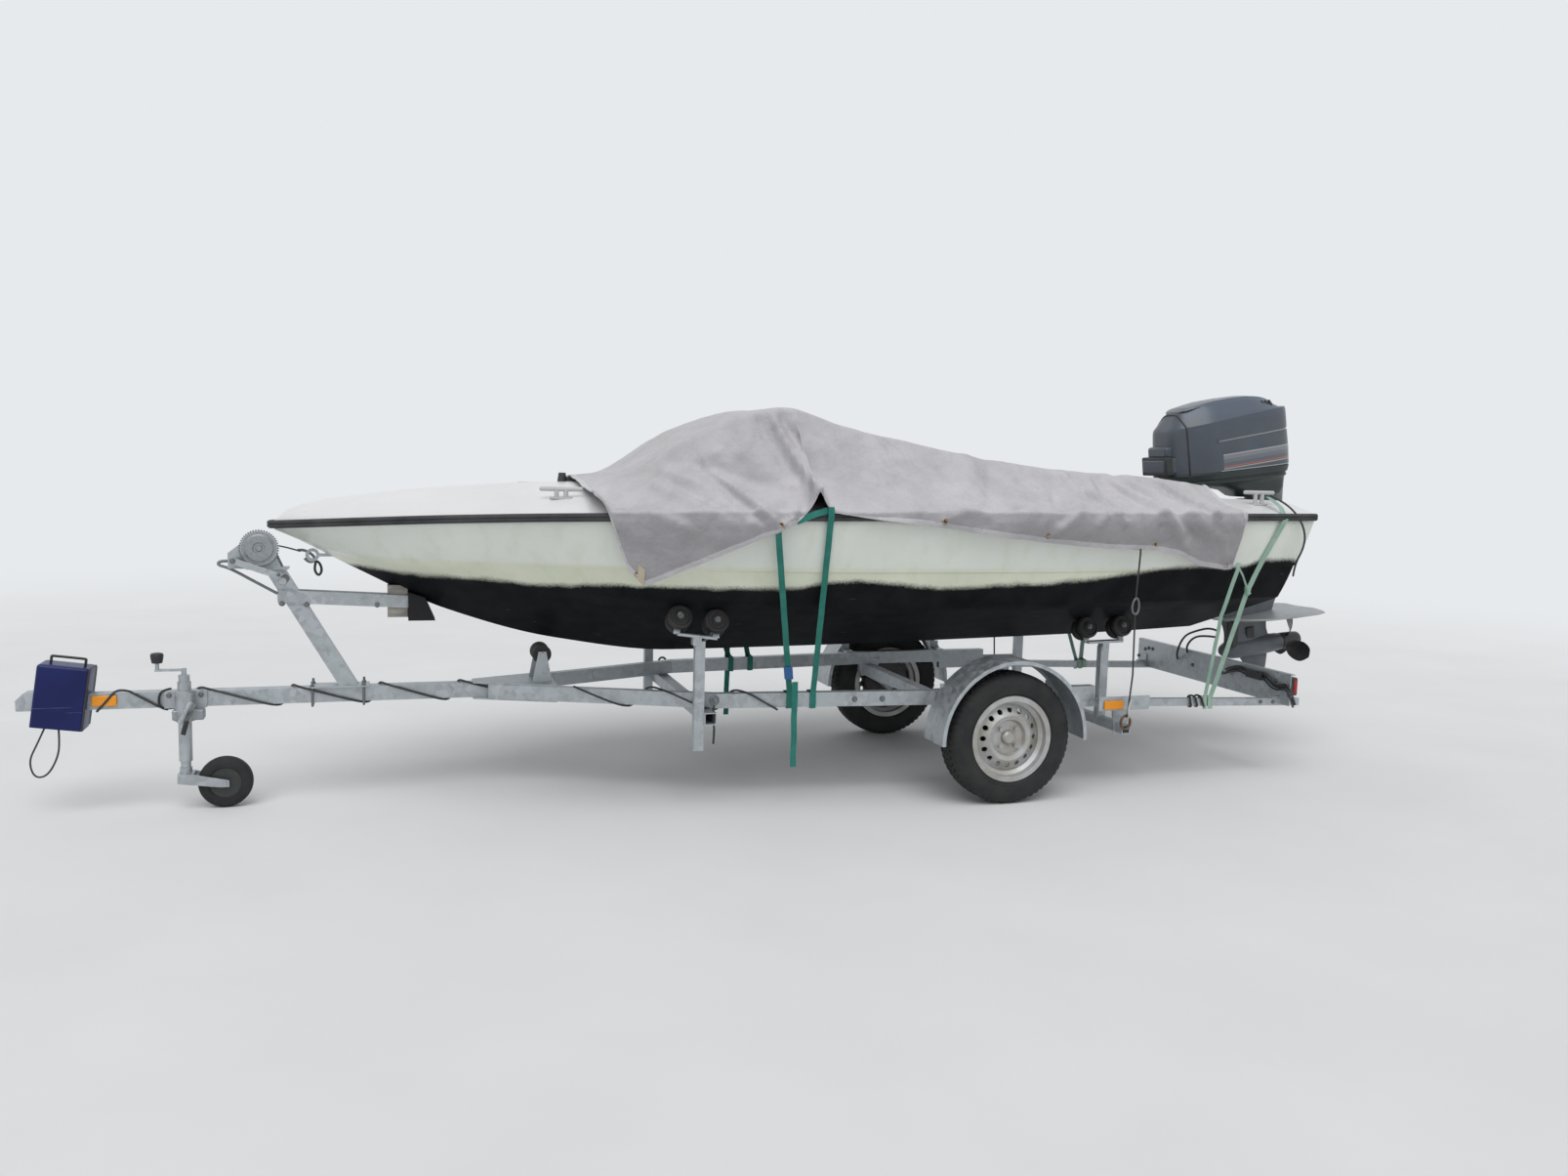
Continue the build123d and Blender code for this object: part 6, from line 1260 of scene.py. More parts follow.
def fin_layer(name, scale, z, droop):
    """One plate of the fin, its tips a little bent."""
    half = [(FIN_MIDDLE + (x - FIN_MIDDLE) * scale, y * scale) for x, y in FIN]
    ring = [(x, -y) for x, y in half] + [(x, y) for x, y in half[-2::-1]]
    rows = []
    for share in (1.0, 0.7, 0.4):
        rows.append([leant(FIN_MIDDLE + (x - FIN_MIDDLE) * share, y * share,
                           z - droop * (y * share / 0.2) ** 2)
                     for x, y in ring])
    rows.append([leant(FIN_MIDDLE + (x - FIN_MIDDLE) * 0.05, 0, z) for x, y in ring])
    thing = piece(name, skin(name, rows, around=True, outward=False), fin_paint, 30, LEG_BODY)
    walled(thing, FIN_THICK, 0)
    edge = thing.modifiers.new("edge", "BEVEL")
    edge.width, edge.segments, edge.limit_method = 0.002, 2, "ANGLE"
    return settled(thing)


fin = fin_layer("fin_upper", 1.0, -0.577, 0.012)
fin_layer("fin_lower", 0.80, -0.592, 0.006)
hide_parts("fin_plate")
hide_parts("leg")
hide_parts("gearcase")
moulded_box("water_intake", (0.075, 0.125), 0.0335, (-0.700, -0.640), dark_plastic, 0.006, LEG_BODY)

# %% [markdown]
# A propeller blade is a twisted sheet: steep at the hub and flat at the tip, because the tip
# travels further in one turn. The blade is drawn as rows from hub to tip, each a short arc of the
# helix at its radius, and the three blades are turned copies.

# %% Propeller
BLADE_ROOT, BLADE_TIP, BLADE_PITCH, BLADE_THICK, BLADE_X = 0.030, 0.152, 0.30, 0.004, 0.361
blade_rows = []
for share in np.linspace(0, 1, 12):
    r = BLADE_ROOT + (BLADE_TIP - BLADE_ROOT) * share
    width = 0.052 + 0.058 * sin(pi * min(1, share * 0.92)) ** 0.8 if share < 1 else 0.020
    width *= 1 if share < 0.85 else (1 - ((share - 0.85) / 0.15) ** 2 * 0.7)
    slope = BLADE_PITCH / (2 * pi * r)
    flat, steep = cos(np.arctan(slope)), sin(np.arctan(slope))
    skew = 0.030 * share ** 2
    row = []
    for t in np.linspace(-0.5, 0.5, 9):
        along = t * width + skew
        angle = along * flat / r
        cup = 0.004 * (1 - 4 * t * t)
        row.append((BLADE_X + along * steep + cup, r * sin(angle), r * cos(angle)))
    blade_rows.append(row)
blades = []
for turn in (-10, 110, 230):
    a = radians(turn)
    swung = [[leant(x, y * cos(a) + z * sin(a), PROP_Z - y * sin(a) + z * cos(a)) for x, y, z in row]
             for row in blade_rows]
    blades.append(skin("blade", swung, outward=False))
propeller = piece("propeller_blades", joined("propeller_blades", *blades), propeller_paint, 40,
                  "propeller_unit")
walled(propeller, BLADE_THICK, 0)
softened(propeller)
settled(propeller)
HUB = [(0.303, 0.001), (0.303, 0.040), (0.308, 0.043), (0.33, 0.043), (0.38, 0.040), (0.408, 0.037),
       (0.413, 0.034), (0.413, 0.028), (0.400, 0.026), (0.400, 0.012), (0.425, 0.011), (0.430, 0.001)]
piece("propeller_hub", on_shaft("hub", HUB, 36), propeller_paint, 35, "propeller_unit")
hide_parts("propeller")
print("propeller", len(propeller.data.polygons), "faces")

# %% [markdown]
# The tyres are spun from a section with its grooves. Every few degrees the ribs between the grooves
# drop for a moment, which leaves the cross cuts of the tread, and the sidewall carries thin rings.

# %% Tyres
TYRE = [(0.059, 0.166), (0.060, 0.186), (0.064, 0.191), (0.0675, 0.196), (0.0665, 0.199), (0.0700, 0.212),
        (0.0725, 0.226), (0.0722, 0.240), (0.0700, 0.252), (0.0672, 0.259), (0.0640, 0.2655),
        (0.0585, 0.2705), (0.0520, 0.2750), (0.0480, 0.2765), (0.0385, 0.2775), (0.0380, 0.2705),
        (0.0330, 0.2705), (0.0325, 0.2779), (0.0155, 0.2780), (0.0150, 0.2705), (0.0100, 0.2705),
        (0.0095, 0.2780)]
HUB_Z, TRACK_HALF, CUTS = 0.278, 0.665, 60
TREAD_FROM, RIB_HALF, CUT_DEEP = 0.2745, 0.036, 0.0045
SHOULDER_FROM, SHOULDER_TO, SHOULDER_DEEP = 0.262, 0.2752, 0.0030
section = TYRE + [(-y, r) for y, r in TYRE[::-1]]
for side, word in SIDES:
    rows = []
    for i in range(CUTS * 4):
        angle = 2 * pi * i / (CUTS * 4)
        row = []
        for y, r in section:
            cut = r > TREAD_FROM and i % 4 == (0 if abs(y) < RIB_HALF else 2)
            shoulder = SHOULDER_FROM < r <= SHOULDER_TO and i % 4 in (2, 3)
            reach = r - (CUT_DEEP if cut else SHOULDER_DEEP if shoulder else 0)
            row.append(at(reach * sin(angle), side * TRACK_HALF + y, HUB_Z + reach * cos(angle)))
        rows.append(row)
    rows.append(rows[0])
    tyre = piece(f"tyre_tread_{word}", skin("tyre", rows), tyre_rubber, 32, f"wheel_{word}")
    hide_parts(f"tyre_{word}")
print("tyre", len(tyre.data.polygons), "faces")

# %% [markdown]
# The straps are flat woven webbing, a ratchet set at the front and a faded green one at the stern.
# Each is a thin ribbon through a few places: out of its eyelet, straight down past the hull and
# once round the trailer's rail. They are tight, so they are drawn straight.

# %% Webbing straps
WEB, WEB_THICK, WEB_STEP = 0.025, 0.0018, 0.03
MEMBER = [(-2.08, 0.07), (-1.20, 0.440), (-0.10, 0.550), (0.50, 0.550)]
MEMBER_FOOT, MEMBER_TOP, MEMBER_WIDE = 0.395, 0.455, 0.04
RAIL_OUT, RAIL_WIDE, RAIL_DEEP = 0.545, 0.030, 0.034
STRAP_GAP = 0.004


def member_y(x):
    """Outer face of the side member."""
    return float(np.interp(x, *zip(*MEMBER)))


def rail_z(x):
    """Middle of the drooping rear rail."""
    return float(np.interp(x, (0.70, 1.62), (0.378, 0.342)))


def through(*rows, side=1):
    """Places given from the axle, mirrored to a side."""
    return [at(x, side * y, z) for x, y, z in rows]


def webbing(name, path, look, width=WEB, face=(0, -1, 0), ripple=0.0008):
    """Flat ribbon through the places, its width fore and aft."""
    path = [Vector(p) for p in path]
    fine = []
    for a, b in zip(path, path[1:]):
        count = max(1, int((b - a).length / WEB_STEP))
        fine += [a.lerp(b, i / count) for i in range(count)]
    fine.append(path[-1])
    edge, half = WEB_THICK / 2, width / 2
    outline = [(-half, -edge), (half, -edge), (half, edge), (-half, edge)]
    rows = []
    for i, p in enumerate(fine):
        run = (fine[min(i + 1, len(fine) - 1)] - fine[max(i - 1, 0)]).normalized()
        across = run.cross(Vector(face)).normalized()
        out = across.cross(run).normalized()
        wave = ripple * sin(i * 1.3)
        rows.append([p + across * a + out * (b + wave) for a, b in outline])
    return piece(name, solid(name, rows), look, 40, slot="strap_web")


def round_rail(x, side, outer_y, width, foot, top):
    """Places of a strap's turn round a rail."""
    out, inner = side * (outer_y + STRAP_GAP), side * (outer_y - width - STRAP_GAP)
    high, low = top + STRAP_GAP, foot - STRAP_GAP
    return [at(x, out, high), at(x, out, low), at(x, inner, low), at(x, inner, high),
            at(x, out, top + 2 * STRAP_GAP), at(x, out + side * 0.002, top - 0.05)]


def beside_rail(x, out=0.020):
    """Distance from the middle line to just outside the rub rail."""
    return hull_size(x, "sheer_y") + out


def side_places(eyelet_x, foot_x, hem, side):
    """Eyelet, hem and rail places of a strap at the front of the cover."""
    rail_y = beside_rail(eyelet_x, RAIL_CLEAR)
    return [at(eyelet_x, side * (rail_y + 0.004), hem + 0.020),
            at(eyelet_x, side * (rail_y + 0.008), hem - 0.008),
            *round_rail(foot_x, side, member_y(foot_x), MEMBER_WIDE, MEMBER_FOOT, MEMBER_TOP)]


SIDE_STRAPS = ((-1.066, -0.900, 1.138), (-0.862, -0.800, 1.216))  # eyelet, foot on the member, hem height
BUCKLE_Z, STERN_FOOT_X = 0.547, 1.115
KNOT = [(-0.024, 0.004), (-0.017, 0.013), (-0.004, 0.016), (0.009, 0.012), (0.014, 0.015), (0.024, 0.005)]
side_straps = [webbing(f"side_strap_{k}_{word}", side_places(*SIDE_STRAPS[k], side), teal_web,
                       face=(0, side, 0))
               for side, word in SIDES for k in range(2)]
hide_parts("straps")
for side, word in SIDES:
    hem_path = through((-0.872, beside_rail(-0.87), 1.222), (-0.93, beside_rail(-0.93, 0.026), 1.205),
                       (-0.995, beside_rail(-1.0, 0.028), 1.178), side=side)
    webbing(f"hem_strap_{word}", hem_path, teal_web, face=(0, side, 0.2))
    hem, top = side_places(*SIDE_STRAPS[0], side)[1:3]
    drop = hem - top
    spot = top + drop * ((BUCKLE_Z - top.z) / drop.z) + Vector((0, side * 0.004, 0))
    moulded_box(f"strap_buckle_{word}", (-0.018, 0.018), 0.006, (-0.032, 0.032), blue_plastic, 0.003,
                place=lambda x, y, z: spot + Vector((x, y, 0)) + drop.normalized() * z)
    tail_path = [at(-0.893, side * (member_y(-0.89) + y), z) for y, z in (
        (0.050, 0.510), (0.054, 0.440), (0.047, 0.360), (0.056, 0.280), (0.048, 0.210), (0.055, 0.157))]
    tail = webbing(f"strap_tail_{word}", tail_path, teal_web, face=(0, side, 0), ripple=0)

    knot = at(1.207, side * 0.640, 0.885)
    foot = round_rail(STERN_FOOT_X, side, RAIL_OUT, RAIL_WIDE, rail_z(STERN_FOOT_X) - RAIL_DEEP / 2,
                      rail_z(STERN_FOOT_X) + RAIL_DEEP / 2)
    aft_foot = [p + Vector((-0.03, 0, 0)) for p in foot]
    corner = through((1.318, 0.600, 1.305), (1.316, 0.690, 1.262), (1.312, 0.732, 1.212),
                     (1.254, 0.675, 1.034), side=side)
    hem_end = through((1.050, 0.760, 1.020), (1.048, 0.764, 0.995), (1.027, 0.700, 0.779), side=side)
    tie = through((1.052, 0.766, 0.995), (1.13, 0.700, 0.955), side=side)
    webbing(f"stern_strap_{word}", [*corner, knot, *foot], mint_web, face=(0, side, 0))
    webbing(f"hem_stern_strap_{word}", [*hem_end, *aft_foot], mint_web, width=0.020, face=(0, side, 0))
    webbing(f"stern_tie_{word}", [*tie, knot], mint_web, width=0.010, face=(0, side, 0))
    lathed(f"strap_knot_{word}", KNOT, knot, (0.2, 0.1, -1), 10, mint_web, 50)

# %% [markdown]
# Wire, rope and bent rod are each one smooth spline through a few places, with a round section.
# The line bends gently between its points, so a wire that is wound round the drawbar gets points a
# little outside each corner. Loops that hang free are drawn the same way.

# %% Wire and rod helper
def bent(name, points, radius, look=dark_plastic, closed=False, slot=None):
    """Smooth wire, rope or rod through a few places."""
    curve = bpy.data.curves.new(name, "CURVE")
    curve.dimensions, curve.use_fill_caps = "3D", True
    curve.bevel_depth, curve.bevel_resolution, curve.resolution_u = radius, 2, 6
    spline = curve.splines.new("NURBS")
    spline.points.add(len(points) - 1)
    for spot, p in zip(spline.points, points):
        spot.co = (*p, 1)
    spline.order_u = 3
    spline.use_endpoint_u, spline.use_cyclic_u = not closed, closed
    thing = bpy.data.objects.new(name, curve)
    scene.collection.objects.link(thing)
    curve.materials.append(look)
    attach(thing, TRAILER)
    slot or SLOT_OF[look.name]
    return thing


def hanging(name, points, radius, look=dark_plastic, slot=None):
    """A free cord, drawn like any other wire."""
    cord = bent(name, points, radius, look, slot=slot)
    return cord


WIRE, BEND_OUT, BEND_UP = 0.0045, 0.009, 0.008


def wound(name, runs, half_y, foot, top, y_at=lambda x: 0.0):
    """Wire round a rail: each run goes down the port face, and the next climbs the far one."""
    points, out = [], half_y + BEND_OUT
    high, low = top + BEND_UP, foot - BEND_UP
    for k, (x_top, x_foot) in enumerate(runs):
        points += [at(x_top, y_at(x_top) - out, high),
                   at((x_top + x_foot) / 2, y_at(x_foot) - (half_y + 0.007), (top + foot) / 2),
                   at(x_foot, y_at(x_foot) - out, low)]
        if k + 1 < len(runs):
            gap = runs[k + 1][0] - x_foot
            points += [at(x_foot + gap * 0.35, y_at(x_foot) + out, low),
                       at(x_foot + gap * 0.65, y_at(x_foot) + out, high)]
    return bent(name, points, WIRE)


# %% Wiring, loops and cords
TONGUE_FOOT, TONGUE_TOP, TONGUE_HALF = 0.395, 0.455, 0.030
RAIL_WIRE_X = 1.04
wound("drawbar_wire", [(-3.412, -3.293), (-3.134, -2.896), (-2.816, -2.563), (-2.484, -2.251),
                       (-2.171, -1.90)],
      TONGUE_HALF, TONGUE_FOOT, TONGUE_TOP)
bent("front_wire", through((-3.527, -0.037, 0.388), (-3.49, -0.040, 0.430), (-3.466, -0.037, 0.464),
                           (-3.44, -0.020, 0.468), (-3.412, -0.039, 0.463)), WIRE)
bent("clamp_wire", through((-3.27, -0.030, 0.468), (-3.302, -0.041, 0.466), (-3.315, -0.041, 0.430),
                           (-3.308, -0.041, 0.392), (-3.285, -0.025, 0.386)), WIRE)
wound("member_wire", [(-1.75, -1.55), (-1.40, -1.22), (-1.08, -0.95)], 0.021, MEMBER_FOOT, MEMBER_TOP,
      lambda x: -(member_y(x) - MEMBER_WIDE / 2))
wound("rail_wire", [(1.00, 1.012), (1.030, 1.046), (1.062, 1.080)], RAIL_WIDE / 2,
      rail_z(RAIL_WIRE_X) - RAIL_DEEP / 2, rail_z(RAIL_WIRE_X) + RAIL_DEEP / 2,
      lambda x: -(RAIL_OUT - RAIL_WIDE / 2))
hanging("breakaway_loop", through(
    (-3.700, -0.030, 0.341), (-3.725, -0.050, 0.275), (-3.752, -0.062, 0.215), (-3.735, -0.066, 0.150),
    (-3.690, -0.066, 0.155), (-3.655, -0.062, 0.225), (-3.652, -0.045, 0.280), (-3.659, -0.025, 0.338)),
    0.0035)
for side, word in SIDES:
    hanging(f"stern_hose_{word}", through(
        (1.330, 0.600, 1.312), (1.350, 0.670, 1.285), (1.385, 0.726, 1.225), (1.432, 0.722, 1.150),
        (1.436, 0.712, 1.080), (1.405, 0.700, 1.010), (1.452, 0.640, 0.950), side=side), WIRE)
hanging("board_wire_long", through(
    (1.508, 0.236, 0.425), (1.470, 0.205, 0.450), (1.470, 0.150, 0.560), (1.485, 0.060, 0.600),
    (1.520, 0.000, 0.622), (1.558, -0.006, 0.606)), 0.0055)
hanging("board_wire_short", through(
    (1.508, 0.157, 0.470), (1.480, 0.140, 0.500), (1.485, 0.090, 0.560), (1.510, 0.030, 0.578),
    (1.562, -0.004, 0.572)), 0.0055)
LOOM = ((-0.649, 0.350), (-0.610, 0.440), (-0.520, 0.400), (-0.430, 0.458), (-0.330, 0.440), (-0.250, 0.465),
        (-0.159, 0.424))
for k, (rise, drift) in enumerate(((0, 0), (0.012, 0.006), (-0.010, 0.010))):
    bent(f"board_loom_{k}", [at(1.506 - drift, y, z + rise) for y, z in LOOM], 0.005)
moulded_box("board_joint", (-0.055, 0.055), 0.011, (-0.020, 0.020), dark_plastic, 0.007,
            place=lambda x, y, z: at(1.500 + y, -0.370 + x, 0.445 + z))
RING_X, RING_Y, RING_Z, RING_RADIUS = -1.225, 0.492, 0.439, 0.018
ring_turns = [(RING_X + RING_RADIUS * cos(a), RING_Y, RING_Z + RING_RADIUS * sin(a))
              for a in np.linspace(0, 2 * pi, 8, endpoint=False)]
for side, word in SIDES:
    webbing(f"side_cord_{word}", through((0.520, 0.805, 1.082), (0.524, 0.800, 1.060), (0.585, 0.695, 0.850),
                                         side=side), dark_plastic, 0.008, (0, side, 0), 0)
    webbing(f"side_cord_low_{word}", through((0.590, 0.690, 0.800), (0.630, 0.640, 0.515),
                                             (0.628, 0.618, 0.322), side=side), dark_plastic, 0.008,
                                             (0, side, 0), 0)
    bent(f"cord_shackle_{word}", through(
        (0.578, 0.700, 0.862), (0.566, 0.698, 0.830), (0.574, 0.694, 0.795), (0.600, 0.692, 0.790),
        (0.606, 0.694, 0.830), (0.594, 0.698, 0.862), side=side), 0.005, bolt_steel, closed=True)
    bent(f"rusty_shackle_{word}", through(
        (0.612, 0.613, 0.328), (0.598, 0.613, 0.300), (0.612, 0.612, 0.268), (0.640, 0.612, 0.268),
        (0.652, 0.613, 0.300), (0.638, 0.613, 0.328), side=side), 0.006, rusty_steel, closed=True)
    hanging(f"white_tail_{word}", through(
        (0.626, 0.600, 0.292), (0.634, 0.630, 0.320), (0.612, 0.642, 0.360), (0.634, 0.636, 0.405),
        side=side), WIRE, white_plastic, "strap_web")
    bent(f"post_ring_{word}", through(*ring_turns, side=side), 0.005, bolt_steel, closed=True)
    hanging(f"post_rope_{word}", through(
        (RING_X, RING_Y, 0.424), (-1.232, 0.500, 0.380), (-1.222, 0.496, 0.320), (-1.228, 0.500, 0.263),
        side=side), WIRE)
    bent(f"post_hook_{word}", through(
        (-1.262, 0.470, 0.742), (-1.235, 0.476, 0.736), (-1.238, 0.478, 0.700), (-1.275, 0.478, 0.680),
        (-1.300, 0.478, 0.650), (-1.290, 0.478, 0.612), (-1.262, 0.472, 0.606), side=side), 0.006, bolt_steel)
bent("winch_rod", through(
    (-3.045, -0.030, 0.962), (-3.088, -0.036, 0.966), (-3.098, -0.040, 0.948), (-3.057, -0.042, 0.938),
    (-2.960, -0.043, 0.880), (-2.884, -0.043, 0.836)), 0.006, bolt_steel)
U_BOLT = ((-0.037, 0.482), (-0.037, 0.440), (-0.037, 0.395), (-0.037, 0.382), (-0.025, 0.382), (0.025, 0.382),
          (0.037, 0.382), (0.037, 0.395), (0.037, 0.440), (0.037, 0.482))
U_BOLT_X = (-2.762, -2.568)
for k, x in enumerate(U_BOLT_X):
    bent(f"post_u_bolt_{k}", [at(x, y, z) for y, z in U_BOLT], 0.005, bolt_steel)

# %% [markdown]
# Rollers and the jockey wheel are turned shapes. A boat roller is moulded with a rounded rim, a
# dished side and a raised boss round its pin, so it catches a soft ring of light where a plain
# cylinder would show one flat disc.

# %% Rollers and jockey wheel
def two_ended(*half):
    """Lathe profile that ends as it begins, from its first half."""
    return [*half, *((-a, r) for a, r in reversed(half) if a)]


ROLLER = two_ended((-0.0165, 0.0095), (-0.0168, 0.020), (-0.0105, 0.024), (-0.0105, 0.036), (-0.0168, 0.041),
                   (-0.0135, 0.0475), (-0.006, 0.0499))
ROLLER_AWAY, ROLLER_GAP, CAP_OUT = 0.0503, 0.025, 0.046


def hull_under(x, y):
    """Height of the hull's bottom at a place inside the chine."""
    keel, chine_y, chine_z = (hull_size(x, column) for column in ("keel_z", "chine_y", "chine_z"))
    return keel + (chine_z - keel) * abs(y) / chine_y


M10, M12, SCREW = 0.0085, 0.0105, 0.006
rollers, caps = [], []
for x, y in ((-1.367, 0.445), (-1.217, 0.445), (0.546, 0.350), (0.726, 0.350)):
    step = 0.010
    outward = Vector((0, step, hull_under(x, y + step) - hull_under(x, y))).normalized()
    along = Vector((2 * step, 0, hull_under(x + step, y) - hull_under(x - step, y))).normalized()
    down = outward.cross(along).normalized()
    for side, _ in SIDES:
        flip = Vector((1, side, 1))
        centre = at(x, y, hull_under(x, y)) + down * ROLLER_AWAY
        for end in (-1, 1):
            rollers.append(spun("roller", ROLLER, (centre + outward * (end * ROLLER_GAP)) * flip,
                                outward * flip, 36))
        caps.append((tuple((centre + outward * CAP_OUT) * flip), tuple(outward * flip), M12))
turned_rollers = piece("turned_rollers", joined("turned_rollers", *rollers), roller_rubber, 40)
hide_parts("hull_rollers")
repeated("roller_pin_nuts", nut_shape, caps, bolt_steel)

KEEL = two_ended((-0.0598, 0.0105), (-0.0598, 0.030), (-0.057, 0.038), (-0.050, 0.0397), (-0.030, 0.0335),
                 (0, 0.0283))
keel_turned = lathed("keel_roller_turned", KEEL, at(-1.860, 0, 0.572), (0, 1, 0), 40, roller_rubber,
                     body="keel_roller_unit")
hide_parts("keel_roller")

JOCKEY_Y = -0.062
JOCKEY_HUB = at(-3.080, JOCKEY_Y, 0.100)
JOCKEY_TYRE = two_ended((-0.020, 0.056), (-0.027, 0.062), (-0.0278, 0.080), (-0.024, 0.0915),
                        (-0.015, 0.0985), (0, 0.100))
jockey_parts = {"body": "jockey_road_wheel", "slot": "roller_rubber"}
jockey_tyre = lathed("jockey_tyre", JOCKEY_TYRE, JOCKEY_HUB, (0, 1, 0), 48, tyre_rubber, **jockey_parts)
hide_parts("jockey_wheel")
hub = [spun("hub", two_ended((-0.0276, 0.0092), (-0.0276, 0.017), (-0.010, 0.019)), JOCKEY_HUB, (0, 1, 0),
            28),
       spun("rim", [(-0.022, 0.052), (-0.022, 0.058), (0.022, 0.058), (0.022, 0.052), (0.004, 0.050),
                    (-0.004, 0.050)], JOCKEY_HUB, (0, 1, 0), 48)]
for k in range(5):
    a = 2 * pi * k / 5 + 0.3
    way, side_way = Vector((cos(a), 0, sin(a))), Vector((-sin(a), 0, cos(a)))
    spoke_rows = []
    for r, half in ((0.017, 0.011), (0.035, 0.008), (0.0535, 0.012)):
        spoke_rows.append([JOCKEY_HUB + way * r + side_way * (s * half) + Vector((0, y, 0)) for s, y in (
            (-1, -0.016), (1, -0.016), (1, 0.016), (-1, 0.016))])
    hub.append(solid("spoke", spoke_rows))
piece("jockey_hub", joined("jockey hub", *hub), dark_plastic, 30, **jockey_parts)
print("rollers", len(rollers), "box", [round(v, 3) for v in turned_rollers.bound_box[0]])

DRUM = [(-0.050, 0.035), (-0.050, 0.114), (-0.046, 0.118), (-0.008, 0.118), (-0.004, 0.114), (-0.004, 0.035)]
for side, word in SIDES:
    lathed(f"brake_drum_{word}", DRUM, at(0, side * TRACK_HALF, HUB_Z), (0, side, 0), 48, propeller_paint, 30,
           body=f"wheel_{word}", slot="wheel_silver")

# %% [markdown]
# The winch is a drum with a toothed wheel that a small gear on the crank drives. The teeth are one
# tooth repeated round the wheel's rim. The crank is a zinc arm with a sleeve that turns on a pin.

# %% Winch, crank and bow hook
GEAR_X, GEAR_Z, GEAR_Y, GEAR_R, TEETH = -2.947, 1.015, -0.062, 0.068, 44
tooth = solid("tooth", [[(-w, -0.005, z), (w, -0.005, z), (w, 0.005, z), (-w, 0.005, z)] for z, w in (
    (-0.001, 0.0026), (0.0030, 0.0020), (0.0046, 0.0011))])
rim_places = []
for k in range(TEETH):
    a = 2 * pi * k / TEETH
    way = (cos(a), 0, sin(a))
    rim_places.append((tuple(at(GEAR_X + GEAR_R * way[0], GEAR_Y + 0.005, GEAR_Z + GEAR_R * way[2])), way,
                       1.0))
repeated("winch_teeth", tooth, rim_places, bolt_steel, turn=0.0, smooth=20)
DISC = [(-0.004, 0.0), (-0.004, 0.010), (0.0, 0.013), (0.0, 0.020), (-0.0035, 0.023), (-0.0035, 0.050),
        (0.0, 0.054), (0.0, 0.0635), (0.002, 0.0640), (0.002, 0.0)]
PINION = [(-0.012, 0.0), (-0.012, 0.011), (-0.010, 0.016), (0.006, 0.016), (0.008, 0.009), (0.030, 0.0115)]
SLEEVE = [(-0.0585, 0.0), (-0.050, 0.006), (-0.050, 0.011), (-0.058, 0.0125), (-0.056, 0.0155),
          (-0.046, 0.0148), (0.046, 0.0148), (0.056, 0.0158), (0.058, 0.012), (0.058, 0.0)]
lathed("winch_wheel_face", DISC, at(GEAR_X, GEAR_Y - 0.0005, GEAR_Z), (0, 1, 0), 48, dull_alloy, 30)
lathed("winch_pinion", PINION, at(-3.025, -0.070, 0.965), (0, 1, 0), 20, bolt_steel, 30)
lathed("crank_sleeve", SLEEVE, at(-2.851, -0.155, 0.901), (0, 1, 0), 28, dark_plastic)
crank_bolts = [((-3.037, -0.102, 0.969), 0.0095), ((-2.875, -0.102, 0.916), 0.006),
               ((-2.992, -0.048, 0.975), 0.007), ((-2.925, -0.048, 0.962), 0.007),
               ((-2.975, -0.048, 1.035), 0.007)]
repeated("winch_bolts", bolt_shape, [(tuple(at(*p)), (0, -1, 0), s) for p, s in crank_bolts], bolt_steel)

winch_web = webbing("winch_webbing", through((-2.909, 0, 1.025), (-2.850, 0, 1.013), (-2.800, 0, 1.000)),
                    dark_web, width=0.048, face=(0, 0, 1), ripple=0.0012)
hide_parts("winch_strap")
bent("bow_hook", through(
    (-2.812, 0, 1.003), (-2.795, 0, 1.006), (-2.770, 0, 0.996), (-2.748, 0, 0.976), (-2.752, 0, 0.958),
    (-2.774, 0, 0.956), (-2.786, 0, 0.972)), 0.0055, bolt_steel)
bent("bow_shackle", through(
    (-2.742, 0.004, 0.962), (-2.728, 0.004, 0.948), (-2.722, 0.004, 0.920), (-2.735, 0.004, 0.900),
    (-2.750, 0.004, 0.920), (-2.748, 0.004, 0.948)), 0.005, closed=True, slot="galvanised")
print("winch teeth", len(rim_places))

# %% [markdown]
# Small fittings tell the size of a trailer: bolts through every plate, orange reflectors, lamps with
# flat lenses, and the clamp and the lever that hold the jockey wheel.

# %% Bolts, reflectors and lamps
bolt_places = [((x, side * 0.0345, z), (0, side, 0), M12) for side, _ in SIDES
               for x, z in ((-2.869, 0.797), (-2.778, 0.793), (-2.514, 0.788))]
bolt_places += [((x, -0.0385, 0.443), (0, -1, 0), M10) for x in (-3.278, -3.165)]
bolt_places += [((x, y, 0.4615), (0, 0, 1), M10) for x in U_BOLT_X for y in (-0.037, 0.037)]
for side, _ in SIDES:
    bolt_places += [((x, side * (member_y(x) + 0.0005), 0.425), (0, side, 0), M12)
                    for x in (-0.62, -0.50, -1.285, -1.215)]
    bolt_places += [((x, side * RAIL_OUT, rail_z(x)), (0, side, 0), M10) for x in (1.40, 1.47)]
    bolt_places += [((1.5145, side * y, z), (-1, 0, 0), M10) for y, z in (
        (0.536, 0.430), (0.593, 0.385), (0.505, 0.440), (0.470, 0.440), (0.120, 0.410))]
    bolt_places += [((x, side * 0.6275, 0.340), (0, side, 0), SCREW) for x in (-0.232, -0.252)]
repeated("frame_bolts", bolt_shape, [(tuple(at(*p)), way, s) for p, way, s in bolt_places], bolt_steel)


def block(name, x, y, z, look, bevel=0.004, body=TRAILER, side=1):
    """Rounded block between two places in each direction, mirrored to a side."""
    near, far = sorted((side * y[0], side * y[1]))
    return moulded_box(name, x, (far - near) / 2, z, look, bevel, body,
                       lambda px, py, pz: at(px, py + (near + far) / 2, pz))


